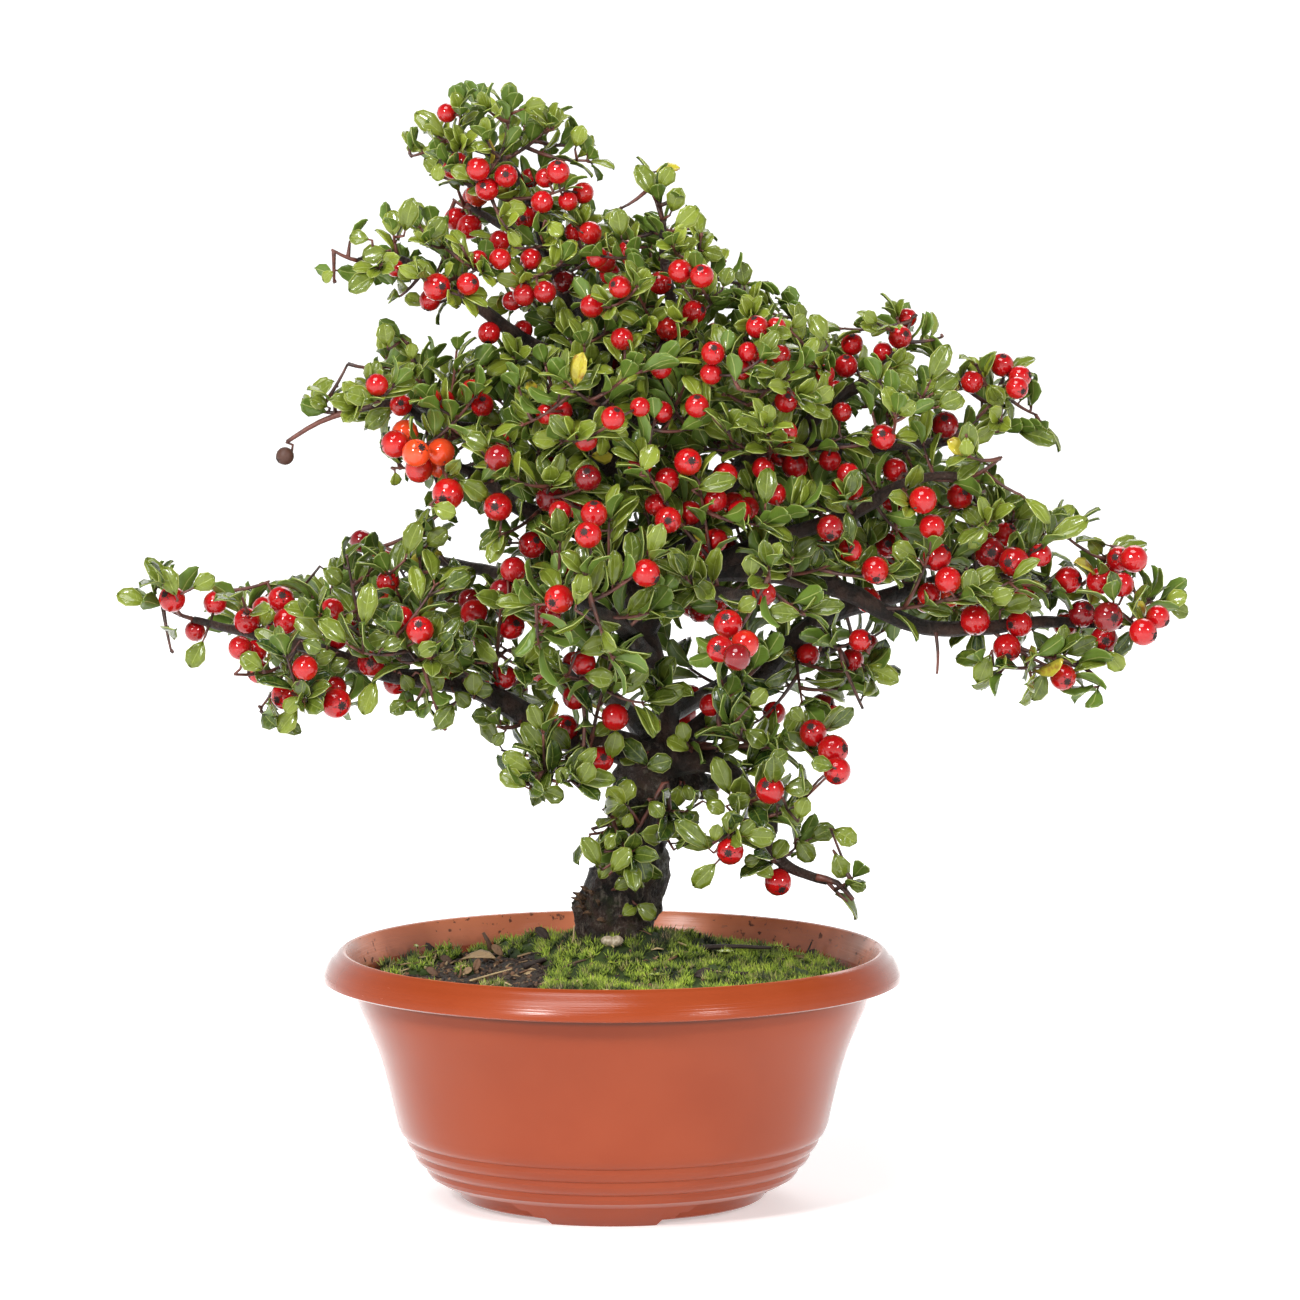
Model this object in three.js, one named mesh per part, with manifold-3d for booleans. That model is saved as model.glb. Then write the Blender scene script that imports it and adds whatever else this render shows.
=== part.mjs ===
// A cotoneaster bonsai in a round plastic bowl, with its soil, moss and fallen litter.
// Millimetres, +Z up. The origin is the middle of the pot's footprint on the table.
// The tree's show side faces -Y. +X is to the viewer's right.

import * as THREE from "three";
import { mergeVertices } from "three/addons/utils/BufferGeometryUtils.js";
import Module from "manifold-3d";

const wasm = await Module();
wasm.setup();

// Driving dimensions of the pot
const RIM_RADIUS = 95;
const POT_HEIGHT = 83;
const BODY_TOP_RADIUS = 84.2;
const WALL = 2.2;
const BASE_LIFT = 1.5;
const FLOOR_TOP = 4;
const FOOT_COUNT = 3;
const FOOT_TURN = -3;
const POT_SIDES = 24;
const DRAIN_HOLES = 5;
const DRAIN_RADIUS = 4.5;
const DRAIN_CIRCLE = 30;

// Driving dimensions of the plant and of what lies under it
const CLEARANCE = 0.35;
const LEAF_LENGTH = 15.5;
const LEAF_WIDTH = 8.2;
const LEAF_THICKNESS = 0.62;
const OWN_TWIG_HALF = 0.8;
const SIDE_ROOT_HALF = 0.3;
const TWIG_TIP_HALF = 0.45;
const BERRY_RADIUS = 4.5;
const LEAF_ATTEMPTS = 12;
const END_LEAF_LEAN = 0.3;
const SIDE_LEAF_LEAN = 0.9;
const SIDE_LEAF_SHARE = 0.75;
const STALK_LENGTH = 5;
const BERRY_SEARCH = 9;
const FULL_SPRAY = 4;
const STALK_SINK = 0.4;
const SOIL_EDGE_HEIGHT = 71.5;
const SOIL_MOUND = 11;
const SOIL_MOUND_REACH = 36;
const TRUNK_SIDES = 8;
const BRANCH_SIDES = 5;
const THIN_BRANCH_SIDES = 4;
const TRUNK_FOOT = { x: 1.5, y: 15.5 };
const MOSS_DEPTH = 3;
const MOSS_LIFT = 0.85;
const MOSS_SIDES = 18;
const MOSS_MIDDLE = { x: 27, y: 0 };
const MOSS_WALL_RADIUS = 79;
const MOSS_LEFT_EDGE = -26;
const MOSS_RINGS = [0.25, 0.48, 0.7, 0.9];
const MOSS_TUFT = 0.8;
const SOIL_RINGS = [64, 46, 30, 15, 0];
const SOIL_WAVE = 0.7;
const DRAIN_SIDES = 8;
const FACE_LIFT = 0.7;
const BERRY_SIDES = 5;
const BERRY_MIDDLE_SHARE = 0.93;
const SEARCH_SHARES = [0.2, 0.3, 0.4, 0.5, 0.6, 0.7, 0.8, 0.9, 1];
const DEPTH_RANK = 0.12;
const SETTLE_RANGE = 20;
const SETTLE_STEPS = 18;
const SHOOT_SAG = 0.12;
const OWN_TWIG_STEPS = 2;
const SIDE_SHOOT_STEPS = 1;
const FIRST_FORK = 0.3;
const FORK_SPREAD = 0.45;
const RANDOM_SEED = 11;

// Sections of a leaf's blade: share of its length, half width as a share of its width, and lift
const BLADE_SHAPE = [[0.36, 0.36, 0.08], [0.74, 0.49, 0.06], [1, 0, -0.08]];

// Trunk and branches. Each point of a route is [x, y, z, radius].
const BRANCHES = {
  trunk: [
    [2, 16, 48, 5], [1.5, 16, 72, 8.5], [0.5, 15, 86, 12.6], [1.6, 14, 95, 13], [4.4, 14, 100.5, 12.8],
    [7.4, 13, 106.3, 11.2], [7.8, 12, 114.5, 9.6], [8.7, 11, 122, 9], [8.2, 10, 129, 9.5],
    [10.5, 8, 138, 10.2], [13, 6, 145, 8.8], [16.3, 5, 151.5, 5.4],
  ],
  root_stump: [[2, 14, 91, 8], [-6, 12, 94, 6.4], [-10.5, 11, 98.5, 3.6]],
  leader: [
    [14, 6, 143, 7], [16.5, 5, 152, 5.2], [16.6, 4, 165, 4.2], [9, 4, 191, 4], [2.6, 2, 211, 3.6],
    [-2.3, 0, 237, 3.3], [-3.9, 0, 263, 3], [-3, 1, 280, 2.8], [-12, 2, 286, 2.6], [-15.3, 2, 296, 2.4],
    [-21, 3, 312, 2.2], [-25, 3, 323.5, 2], [-29.4, 3, 333, 1.7], [-35, 3, 341, 1.4], [-48, 3, 346, 1.1],
  ],
  left_arm: [
    [12, 6, 145, 6], [-0.7, 4, 150, 5.4], [-17, 0, 153.5, 4.8], [-36.6, -5, 165.5, 3.8],
    [-49.6, -8, 170.8, 3.1], [-75.7, -11, 175.4, 2.7], [-95.3, -12, 182.8, 2.2], [-118, -11, 188, 1.7],
    [-136, -10, 192.5, 1.1],
  ],
  right_arm: [
    [10, 4, 188, 4.6], [22, 0, 206, 4.3], [35, -3, 208, 4.1], [56, -6, 207, 4], [77.4, -9, 201, 3.5],
    [88, -10, 195, 3.3], [102, -10, 189.8, 3], [121, -9, 189.6, 2.7], [141, -6, 191.3, 2.2],
    [166, -2, 189.5, 1.2],
  ],
  right_rise: [
    [14, 7, 146, 5], [28.7, 10, 154, 4.4], [57, 18, 180, 3.7], [71, 22, 190.8, 3.4], [87.5, 24, 195.5, 3],
    [104, 22, 200.5, 2.7], [120, 20, 205, 2.4], [139.7, 18, 203, 2], [159, 14, 196.5, 1.1],
  ],
  low_right: [
    [14, 5, 143, 6], [32.7, -2, 145.1, 4.1], [45, -8, 134.2, 3], [51.6, -10, 125.5, 2.5],
    [50.3, -11, 118.6, 2.2], [57, -12, 111.9, 1.9], [70, -14, 107, 1.2],
  ],
  right_stub: [[13, 7, 139, 6], [24, 10, 137, 5], [33, 13, 134, 4]],
  left_mid: [
    [1, 2, 216, 3.4], [-20, -5, 224.6, 3], [-31.7, -8, 229.8, 2.6], [-43, -11, 239, 1.8],
    [-55, -12, 244.5, 0.9],
  ],
  left_high: [
    [-4, 0, 256, 2.9], [-17, -4, 252.5, 2.6], [-47, -12, 254.8, 2], [-61, -13, 258, 1.7],
    [-69, -13, 263, 1.5], [-86, -12, 260, 1],
  ],
  upper_left: [
    [-4, 0, 272, 2.8], [-26.8, -6, 282, 2.4], [-43, -11, 294, 2], [-61, -14, 305.5, 1.6],
    [-69, -13, 309.7, 1.4], [-82, -12, 309, 1],
  ],
  crown_right: [
    [-1.3, 0, 240.5, 2.9], [14, -5, 262.2, 2.5], [20.6, -7, 273.8, 2.3], [20.6, -8, 285.3, 2.1],
    [17, -10, 309.3, 1.5], [16.3, -10, 322, 1.1],
  ],
  right_high: [
    [9, 4, 190, 4], [20.6, 2, 211, 3.6], [33.6, 0, 229, 3.2], [45, -5, 244.2, 2.9], [58, -9, 251.2, 2.6],
    [71, -12, 263, 2.2], [84, -13, 271.2, 1.7], [92, -13, 279, 1.2],
  ],
  right_shelf: [
    [58, -9, 251, 2.2], [74.4, -6, 247.6, 2], [94, -2, 248.8, 1.8], [110.4, 2, 250, 1.5],
    [119, 4, 257, 1.1],
  ],
  right_front: [
    [26, 0, 206, 3.4], [48.3, -10, 217, 3], [77.7, -20, 228, 2.3], [91, -20, 236, 1.9],
    [104, -20, 240, 1.5], [116, -19, 239.5, 1.1],
  ],
  front_low: [[12, 3, 178, 3.4], [6, -20, 188, 2.8], [0, -42, 196, 2.2], [-6, -54, 200, 1.2]],
  front_right: [[24, 0, 206, 3], [32, -24, 203, 2.5], [44, -46, 204, 1.6], [50, -54, 206, 1]],
  front_high: [[-3, 0, 248, 2.6], [-6, -22, 257, 2.1], [-4, -40, 264, 1.3]],
  back_left: [[10, 5, 185, 3.6], [-8, 28, 194, 3.2], [-32, 52, 200, 2.6], [-70, 74, 206, 1.1]],
  back_right: [[3, 2, 208, 3.4], [24, 28, 216, 3], [48, 52, 221, 2.4], [82, 72, 226, 1.1]],
  back_mid: [[-2, 1, 236, 3], [2, 26, 248, 2.6], [6, 50, 256, 2], [2, 64, 262, 1.2]],
  back_low: [[13, 8, 150, 4], [2, 30, 160, 3.2], [-14, 54, 168, 2.4], [-28, 70, 172, 1.4]],
  back_low_right: [[16, 5, 158, 3.4], [36, 32, 166, 2.9], [60, 54, 172, 2], [76, 62, 176, 1.1]],
  back_high: [[-12, 2, 286, 2.3], [-10, 22, 297, 1.8], [-8, 36, 304, 1.1]],
  back_top: [[-20, 3, 310, 2], [-34, 18, 318, 1.5], [-46, 30, 324, 0.9]],
  back_right_high: [[33.6, 0, 229, 2.6], [44, 24, 244, 2.1], [62, 52, 258, 1]],
  back_arm_left: [[-34, -4, 164.6, 2.6], [-58, 18, 174, 2.1], [-96, 40, 183, 1]],
  back_arm_right: [[87.5, 24, 195.5, 2.3], [104, 44, 198, 1.8], [120, 54, 200, 1.1]],
  back_left_high: [[-2.3, 1, 240, 2.4], [-18, 24, 244, 1.8], [-34, 42, 245, 1]],
  back_high_left: [[-50, -12, 255.5, 1.9], [-60, 8, 259, 1.5], [-66, 20, 262, 1]],
  back_crown: [[16, -6, 266, 2.2], [20, 12, 270, 1.6], [24, 24, 274, 1]],
};

// Leafy sprays: [the branch it grows from, how far along it from 0 to 1, then where its shoots end].
// The first shoot is the spray's own twig, and the others leave it.
const SPRAYS = {
  left_tip: ["left_arm", 1, [-149, -10, 199], [-144, -24, 205], [-142, 4, 203], [-143, -16, 183]],
  left_outer_top: ["left_arm", 0.84, [-129, -4, 207], [-120, -22, 203], [-110, -2, 205]],
  left_outer_low: ["left_arm", 0.78, [-114, -14, 164], [-122, -24, 176], [-100, -26, 168], [-88, -22, 166]],
  left_rise: ["left_arm", 0.62, [-86, -12, 213], [-102, -6, 205], [-94, -28, 195], [-76, -2, 211]],
  left_rise_inner: ["left_arm", 0.5, [-63, -6, 219], [-72, -20, 208], [-53, -14, 211]],
  left_front: [
    "left_arm", 0.46,
    [-69, -36, 190], [-68, -18, 160], [-54, -22, 158], [-56, -38, 184], [-80, -34, 184],
  ],
  left_neck: ["left_arm", 0.33, [-44, -10, 204], [-36, -24, 198], [-50, -30, 184]],
  left_foot: ["left_arm", 0.14, [-27, -20, 139.5], [-43, -10, 152], [-13, -28, 142]],
  trunk_left: ["trunk", 0.72, [-3, -16, 131], [-10, -10, 122], [5, -20, 117]],
  crossing_shoot: ["trunk", 0.86, [20, -18, 118], [24, -14, 130]],
  low_level: ["leader", 0.05, [60, -14, 151], [69, -20, 157], [38, -20, 158]],
  low_right_near: ["low_right", 0.42, [40, -26, 126], [52, -32, 140], [60, -28, 134]],
  low_right_tip: ["low_right", 1, [79, -14, 99], [80, -20, 111], [64, -24, 103]],
  right_under: ["right_rise", 0.36, [62, 4, 164], [82, -2, 175], [48, 2, 158], [76, 12, 168]],
  arm_tip: ["right_arm", 1, [175, 2, 197], [173, -13, 189], [170, 9, 203]],
  arm_top: ["right_rise", 0.95, [164, 2, 215], [158, -8, 206], [147, 10, 219]],
  arm_rise: ["right_rise", 0.8, [131, 4, 226], [142, -2, 221], [119, 0, 217]],
  arm_low: ["right_arm", 0.74, [148, -12, 175], [163, -8, 178], [136, -18, 173], [120, -18, 179]],
  arm_front: ["right_arm", 0.52, [114, -26, 203], [102, -28, 215], [128, -26, 206]],
  arm_inner_front: ["right_arm", 0.3, [72, -30, 213], [58, -36, 214], [88, -30, 209]],
  shelf_tip: [
    "right_shelf", 1,
    [129, 0, 274], [106, -4, 276], [118, -8, 275], [138, 6, 258], [126, -10, 257],
  ],
  front_tip: ["right_front", 1, [128, -18, 248], [132, -22, 234], [115, -30, 247]],
  high_tip: ["right_high", 1, [98, -8, 293], [107, -6, 284], [86, -22, 289], [75, -10, 287]],
  high_mid: ["right_high", 0.62, [61, -10, 287], [52, -18, 283], [68, -26, 275]],
  high_front: ["right_high", 0.55, [74, -28, 253], [50, -30, 262], [90, -26, 253]],
  crown_shoot: ["crown_right", 1, [12, -8, 337], [24, -14, 332], [3, -12, 326]],
  crown_side: ["crown_right", 0.62, [36, -12, 309], [29, -18, 320], [50, -10, 302]],
  crown_front: ["crown_right", 0.5, [8, -26, 300], [32, -26, 296]],
  top_left: ["leader", 1, [-56, 6, 348], [-49, -5, 355], [-67, -2, 342]],
  top_right: ["leader", 0.94, [-22, 0, 350], [-34, 8, 354], [-8, -5, 341], [-11, 9, 346]],
  top_front: ["leader", 0.86, [-44, -17, 335], [-55, -12, 342], [-16, -18, 332], [-34, -20, 320]],
  upper_left_tip: ["upper_left", 1, [-92, -16, 314], [-84, -6, 324], [-90, -6, 301]],
  upper_left_rise: ["upper_left", 0.55, [-59, -12, 323], [-60, -30, 304], [-42, -24, 306]],
  left_high_tip: ["left_high", 1, [-98, -8, 261], [-90, -18, 270], [-84, -2, 279]],
  left_high_front: [
    "left_high", 0.5,
    [-65, -28, 250], [-66, -10, 282], [-50, -22, 280], [-52, -32, 238], [-44, -30, 266],
  ],
  centre_top: ["front_high", 1, [-14, -48, 272], [6, -48, 275], [-28, -40, 258]],
  centre_right: ["front_right", 0.5, [28, -42, 240], [10, -46, 246], [46, -42, 226]],
  centre_left: ["left_mid", 0.45, [-20, -38, 238], [-36, -32, 222], [-6, -46, 240]],
  centre_low: ["front_low", 1, [-8, -66, 212], [12, -62, 216], [-24, -58, 202], [0, -62, 186]],
  front_right_tip: ["front_right", 1, [50, -66, 214], [60, -60, 200], [36, -62, 188]],
  back_arm_left_tip: [
    "back_arm_left", 1,
    [-108, 48, 188], [-106, 38, 176], [-92, 54, 196], [-76, 44, 190],
  ],
  back_arm_right_tip: ["back_arm_right", 1, [134, 60, 206], [120, 68, 192], [114, 56, 214]],
  back_low_tip: ["back_low", 1, [-38, 82, 174], [-20, 84, 164], [-12, 74, 184]],
  back_low_right_tip: ["back_low_right", 1, [90, 70, 180], [72, 74, 168], [62, 66, 188]],
  back_left_tip: ["back_left", 1, [-84, 82, 212], [-70, 86, 196], [-56, 70, 222], [-84, 66, 220]],
  back_right_tip: ["back_right", 1, [96, 78, 232], [84, 86, 216], [70, 66, 240]],
  back_mid_tip: ["back_mid", 1, [-8, 76, 268], [14, 76, 270], [-2, 78, 250]],
  back_high_tip: ["back_high", 1, [-10, 50, 310], [8, 44, 304], [-24, 42, 296]],
  back_top_tip: ["back_top", 1, [-54, 42, 328], [-38, 40, 336], [-58, 28, 316]],
  back_right_high_tip: ["back_right_high", 1, [74, 60, 264], [56, 64, 268], [66, 46, 272]],
  back_left_high_tip: ["back_left_high", 1, [-48, 54, 250], [-38, 60, 238], [-30, 52, 258]],
  back_high_left_tip: ["back_high_left", 1, [-76, 32, 268], [-62, 38, 256], [-74, 18, 276]],
  back_crown_tip: ["back_crown", 1, [30, 36, 284], [38, 32, 266], [14, 36, 272]],
};

// Berries as seen from the front, [x, z], each set on the nearest twig that the front view shows
const BERRIES = [
  [-144, 198], [-119, 191], [-108, 197], [-107, 165], [-90, 164], [-79, 178], [-63, 188], [-45, 193],
  [-33, 189], [-26, 216], [-17, 198], [-54, 233], [-37, 228], [-68, 251], [-42, 263], [-57, 301],
  [-35, 336], [-28, 323], [-7, 318], [16, 302], [28, 262], [25, 244], [-8, 238], [-8, 219], [11, 207],
  [57, 263], [79, 282], [94, 285], [60, 242], [89, 252], [118, 269], [129, 274], [102, 231], [71, 221],
  [87, 208], [106, 212], [123, 214], [149, 204], [166, 210], [154, 193], [179, 192], [129, 181],
  [148, 172], [72, 148], [52, 136], [39, 116], [54, 106], [-15, 156],
];

// Colours, roughness and metalness of the materials
const FINISHES = {
  pot: { color: 0xb9603c, roughness: 0.45 },
  soil: { color: 0x33261d, roughness: 0.95 },
  moss: { color: 0x5c8a1e, roughness: 0.9 },
  bark: { color: 0x2f2621, roughness: 0.85 },
  leaf: { color: 0x4c7a28, roughness: 0.4 },
  stone: { color: 0xb9ab95, roughness: 0.7 },
  litter: { color: 0x6d4a30, roughness: 0.85 },
};

// Seeded random numbers from 0 to 1, so that every run gives the same tree
function seededRandom(seed) {
  let state = seed;
  return () => {
    state = (state + 0x6d2b79f5) | 0;
    let mixed = Math.imul(state ^ (state >>> 15), 1 | state);
    mixed = (mixed + Math.imul(mixed ^ (mixed >>> 7), 61 | mixed)) ^ mixed;
    return ((mixed ^ (mixed >>> 14)) >>> 0) / 4294967296;
  };
}

// Between geometries and solids
function solidFrom(geometry) {
  const bare = geometry.clone();
  bare.deleteAttribute("normal");
  bare.deleteAttribute("uv");
  const merged = mergeVertices(bare, 1e-4);
  return new wasm.Manifold(
    new wasm.Mesh({
      numProp: 3,
      vertProperties: merged.attributes.position.array,
      triVerts: new Uint32Array(merged.index.array),
    }),
  );
}

function geometryFrom(solid) {
  const mesh = solid.getMesh();
  const geometry = new THREE.BufferGeometry();
  geometry.setAttribute("position", new THREE.BufferAttribute(mesh.vertProperties, 3));
  geometry.setIndex(new THREE.BufferAttribute(mesh.triVerts, 1));
  geometry.computeVertexNormals();
  return geometry;
}

function joined(solids) {
  return wasm.Manifold.union(solids);
}

function largestBody(solid) {
  const bodies = solid.decompose();
  return bodies.reduce((best, body) => (body.volume() > best.volume() ? body : best));
}

// A closed solid of revolution about Z, from a profile of [radius, z] points
function turned(profile, sides) {
  const points = profile.map(([radius, z]) => new THREE.Vector2(radius, z));
  return new THREE.LatheGeometry(points, sides).rotateX(Math.PI / 2);
}

// A round rod through points, with a radius at each and the ends closed
function taperedRod(points, radii, sides) {
  const positions = [];
  const indices = [];
  const side = new THREE.Vector3(0.3, 1, 0.2).normalize();
  points.forEach((point, i) => {
    const before = points[Math.max(i - 1, 0)];
    const after = points[Math.min(i + 1, points.length - 1)];
    const along = after.clone().sub(before).normalize();
    side.addScaledVector(along, -side.dot(along)).normalize();
    const other = along.clone().cross(side);
    for (let k = 0; k < sides; k += 1) {
      const angle = (2 * Math.PI * k) / sides;
      const corner = point.clone();
      corner.addScaledVector(side, radii[i] * Math.cos(angle));
      corner.addScaledVector(other, radii[i] * Math.sin(angle));
      positions.push(corner.x, corner.y, corner.z);
    }
  });
  for (let i = 0; i + 1 < points.length; i += 1) {
    for (let k = 0; k < sides; k += 1) {
      const a = i * sides + k;
      const b = i * sides + ((k + 1) % sides);
      indices.push(a, b, b + sides, a, b + sides, a + sides);
    }
  }
  const last = (points.length - 1) * sides;
  for (let k = 1; k + 1 < sides; k += 1) {
    indices.push(0, k + 1, k);
    indices.push(last, last + k, last + k + 1);
  }
  const geometry = new THREE.BufferGeometry();
  geometry.setAttribute("position", new THREE.Float32BufferAttribute(positions, 3));
  geometry.setIndex(indices);
  return geometry;
}

// A rod through sections of four corners each. A section has a centre, its across and face directions and
// its half sizes along them. A last section with no width closes the rod in an edge.
function sectionedRod(sections) {
  const positions = [];
  const rings = sections.map(({ centre, across, face, half, thick }) => {
    const corners = half > 0 ? [[1, 1], [-1, 1], [-1, -1], [1, -1]] : [[0, 1], [0, -1]];
    const first = positions.length / 3;
    for (const [sideways, upwards] of corners) {
      const corner = centre.clone().addScaledVector(across, sideways * half);
      corner.addScaledVector(face, upwards * thick);
      positions.push(corner.x, corner.y, corner.z);
    }
    return corners.length === 4 ? [0, 1, 2, 3].map((k) => first + k) : [first, first, first + 1, first + 1];
  });
  const last = rings.at(-1);
  const faces = [[rings[0][0], rings[0][3], rings[0][2]], [rings[0][0], rings[0][2], rings[0][1]]];
  faces.push([last[0], last[1], last[2]], [last[0], last[2], last[3]]);
  for (let i = 0; i + 1 < rings.length; i += 1) {
    for (let k = 0; k < 4; k += 1) {
      const next = (k + 1) % 4;
      faces.push([rings[i][k], rings[i][next], rings[i + 1][next]]);
      faces.push([rings[i][k], rings[i + 1][next], rings[i + 1][k]]);
    }
  }
  const whole = faces.filter(([u, v, w]) => u !== v && v !== w && w !== u);
  const geometry = new THREE.BufferGeometry();
  geometry.setAttribute("position", new THREE.Float32BufferAttribute(positions, 3));
  geometry.setIndex(whole.flat());
  return geometry;
}

// Pot: a thin turned wall with a folded lip, three ridges near the base, stepped feet and drain holes
function potProfiles() {
  const bodyCurve = new THREE.SplineCurve([
    new THREE.Vector2(70.1, 24.5),
    new THREE.Vector2(74.1, 39.6),
    new THREE.Vector2(79, 54.8),
    new THREE.Vector2(BODY_TOP_RADIUS, 67),
  ]);
  const body = bodyCurve.getPoints(4).map((point) => [point.x, point.y]);
  const ridges = [
    [57.5, 7.1], [60.2, 9], [61.4, 11.8], [63.8, 13.8], [64.9, 16.7], [66.8, 18.8], [67.6, 21.4],
  ];
  const outside = [[0, BASE_LIFT], [49.5, BASE_LIFT], [52.5, 5.8], ...ridges, ...body];
  const lip = [
    [85.6, 76], [92.8, 77.2], [93.2, 73.3], [RIM_RADIUS, 73.3], [94.5, 76], [91, 81],
    [88.4, POT_HEIGHT], [87.3, 82.7],
  ];
  const inside = [
    [BODY_TOP_RADIUS - WALL, 67], [74.1 - WALL, 39], [66.4, 21], [54, 7.6], [47, FLOOR_TOP], [0, FLOOR_TOP],
  ];
  return { shell: [...outside, ...lip, ...inside], inside };
}

// A foot as seen from the front: three tiers with sloping ends, wider towards the pot
function footSolid() {
  const half = [[16.8, 0], [18.8, 2.1], [22.5, 2.4], [24.6, 4.4], [27.5, 4.7], [30.7, 7.4]];
  const mirrored = half.map(([x, z]) => [-x, z]).reverse();
  const shape = new THREE.Shape([...half, ...mirrored].map(([x, z]) => new THREE.Vector2(x, z)));
  const slab = new THREE.ExtrudeGeometry(shape, { depth: 30, bevelEnabled: false });
  slab.rotateX(Math.PI / 2).translate(0, -35, 0);
  const section = [[45, 0], [50.6, 0], [57, 7.5], [55.5, 8], [45, 3], [45, 0]];
  const ring = turned(section, POT_SIDES);
  return solidFrom(slab).intersect(solidFrom(ring));
}

function potSolid() {
  const feet = [];
  for (let k = 0; k < FOOT_COUNT; k += 1) {
    feet.push(footSolid().rotate([0, 0, FOOT_TURN + (360 * k) / FOOT_COUNT]));
  }
  const drains = [];
  for (let k = 0; k < DRAIN_HOLES; k += 1) {
    const angle = (2 * Math.PI * k) / DRAIN_HOLES;
    const drill = new THREE.CylinderGeometry(DRAIN_RADIUS, DRAIN_RADIUS, 4 * FLOOR_TOP, DRAIN_SIDES);
    drill.rotateX(Math.PI / 2).translate(DRAIN_CIRCLE * Math.cos(angle), DRAIN_CIRCLE * Math.sin(angle), 0);
    drains.push(solidFrom(drill));
  }
  const shell = solidFrom(turned(potProfiles().shell, POT_SIDES));
  return joined([shell, ...feet]).subtract(joined(drains));
}

// Height of the soil: nearly level at the wall and mounded round the trunk
function soilHeight(x, y) {
  const distance = Math.hypot(x - TRUNK_FOOT.x, y - TRUNK_FOOT.y);
  const mound = SOIL_MOUND * Math.exp(-((distance / SOIL_MOUND_REACH) ** 2));
  const waves = SOIL_WAVE * Math.sin(x / 13 + 1.2) * Math.cos(y / 11);
  return SOIL_EDGE_HEIGHT + mound + waves;
}

// Moves every vertex of a geometry by a function of its place
function reshaped(geometry, move) {
  const places = geometry.attributes.position;
  const vertex = new THREE.Vector3();
  for (let i = 0; i < places.count; i += 1) {
    vertex.fromBufferAttribute(places, i);
    move(vertex);
    places.setXYZ(i, vertex.x, vertex.y, vertex.z);
  }
  return geometry;
}

// Soil: fills the pot's inside, and its top is the soil's height
function soilSolid(trunkHole) {
  const topMark = 100;
  const walls = potProfiles()
    .inside.map(([radius, z]) => [Math.max(radius - 2 * CLEARANCE, 0), z + CLEARANCE])
    .reverse();
  const wallTop = [BODY_TOP_RADIUS - WALL + 0.8, topMark];
  const rings = SOIL_RINGS.map((radius) => [radius, topMark]);
  const block = turned([...walls, wallTop, ...rings], POT_SIDES);
  reshaped(block, (vertex) => {
    if (vertex.z > topMark - 1) vertex.z = soilHeight(vertex.x, vertex.y);
  });
  return solidFrom(block).subtract(trunkHole);
}

// How far the moss reaches from its middle towards an angle: to the pot's wall, or to the bare left side
function mossReach(angle) {
  const dx = Math.cos(angle);
  const dy = Math.sin(angle);
  const along = MOSS_MIDDLE.x * dx + MOSS_MIDDLE.y * dy;
  const offset = MOSS_MIDDLE.x ** 2 + MOSS_MIDDLE.y ** 2 - MOSS_WALL_RADIUS ** 2;
  const toWall = -along + Math.sqrt(along ** 2 - offset);
  const toLeft = dx < -0.05 ? (MOSS_LEFT_EDGE - MOSS_MIDDLE.x) / dx : toWall;
  const wobble = 0.94 + 0.04 * Math.sin(5 * angle) + 0.02 * Math.sin(11 * angle + 1);
  return Math.min(toWall, toLeft) * wobble;
}

// Moss: a mat with a tufted top that lies on the soil
function mossSolid(trunkHole) {
  const profile = [
    [0, 0],
    ...MOSS_RINGS.map((ring) => [ring, 0]),
    [1, 0],
    [1, 0.5],
    ...MOSS_RINGS.toReversed().map((ring) => [ring, 1]),
    [0, 1],
  ];
  const mat = turned(profile, MOSS_SIDES);
  reshaped(mat, (vertex) => {
    const ring = Math.hypot(vertex.x, vertex.y);
    const angle = Math.atan2(vertex.y, vertex.x);
    const reach = ring * mossReach(angle);
    const level = vertex.z;
    vertex.x = MOSS_MIDDLE.x + reach * Math.cos(angle);
    vertex.y = MOSS_MIDDLE.y + reach * Math.sin(angle);
    const tufts = MOSS_TUFT * Math.sin(vertex.x / 4.1) * Math.sin(vertex.y / 3.7 + vertex.x / 9);
    const thick = (MOSS_DEPTH + tufts) * (1 - 0.6 * ring ** 4);
    vertex.z = soilHeight(vertex.x, vertex.y) + MOSS_LIFT + level * thick;
  });
  return largestBody(solidFrom(mat).subtract(trunkHole));
}

// Trunk and branches: tapered rods along the routes, fused
function branchRoute(name) {
  return BRANCHES[name].map(([x, y, z]) => new THREE.Vector3(x, y, z));
}

function branchRods(extra) {
  return Object.keys(BRANCHES).map((name) => {
    const route = branchRoute(name);
    const radii = BRANCHES[name].map(([, , , radius]) => radius + extra);
    const [before, end] = route.slice(-2);
    end.addScaledVector(end.clone().sub(before).normalize(), extra);
    const sides = name === "trunk" ? TRUNK_SIDES : radii[0] > 3.9 ? BRANCH_SIDES : THIN_BRANCH_SIDES;
    return solidFrom(taperedRod(route, radii, sides));
  });
}

// The point at a share of a line's length
function pointAlong(points, share) {
  const path = new THREE.CurvePath();
  for (let i = 0; i + 1 < points.length; i += 1) {
    path.add(new THREE.LineCurve3(points[i], points[i + 1]));
  }
  return path.getPointAt(Math.min(Math.max(share, 0), 1));
}

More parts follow.
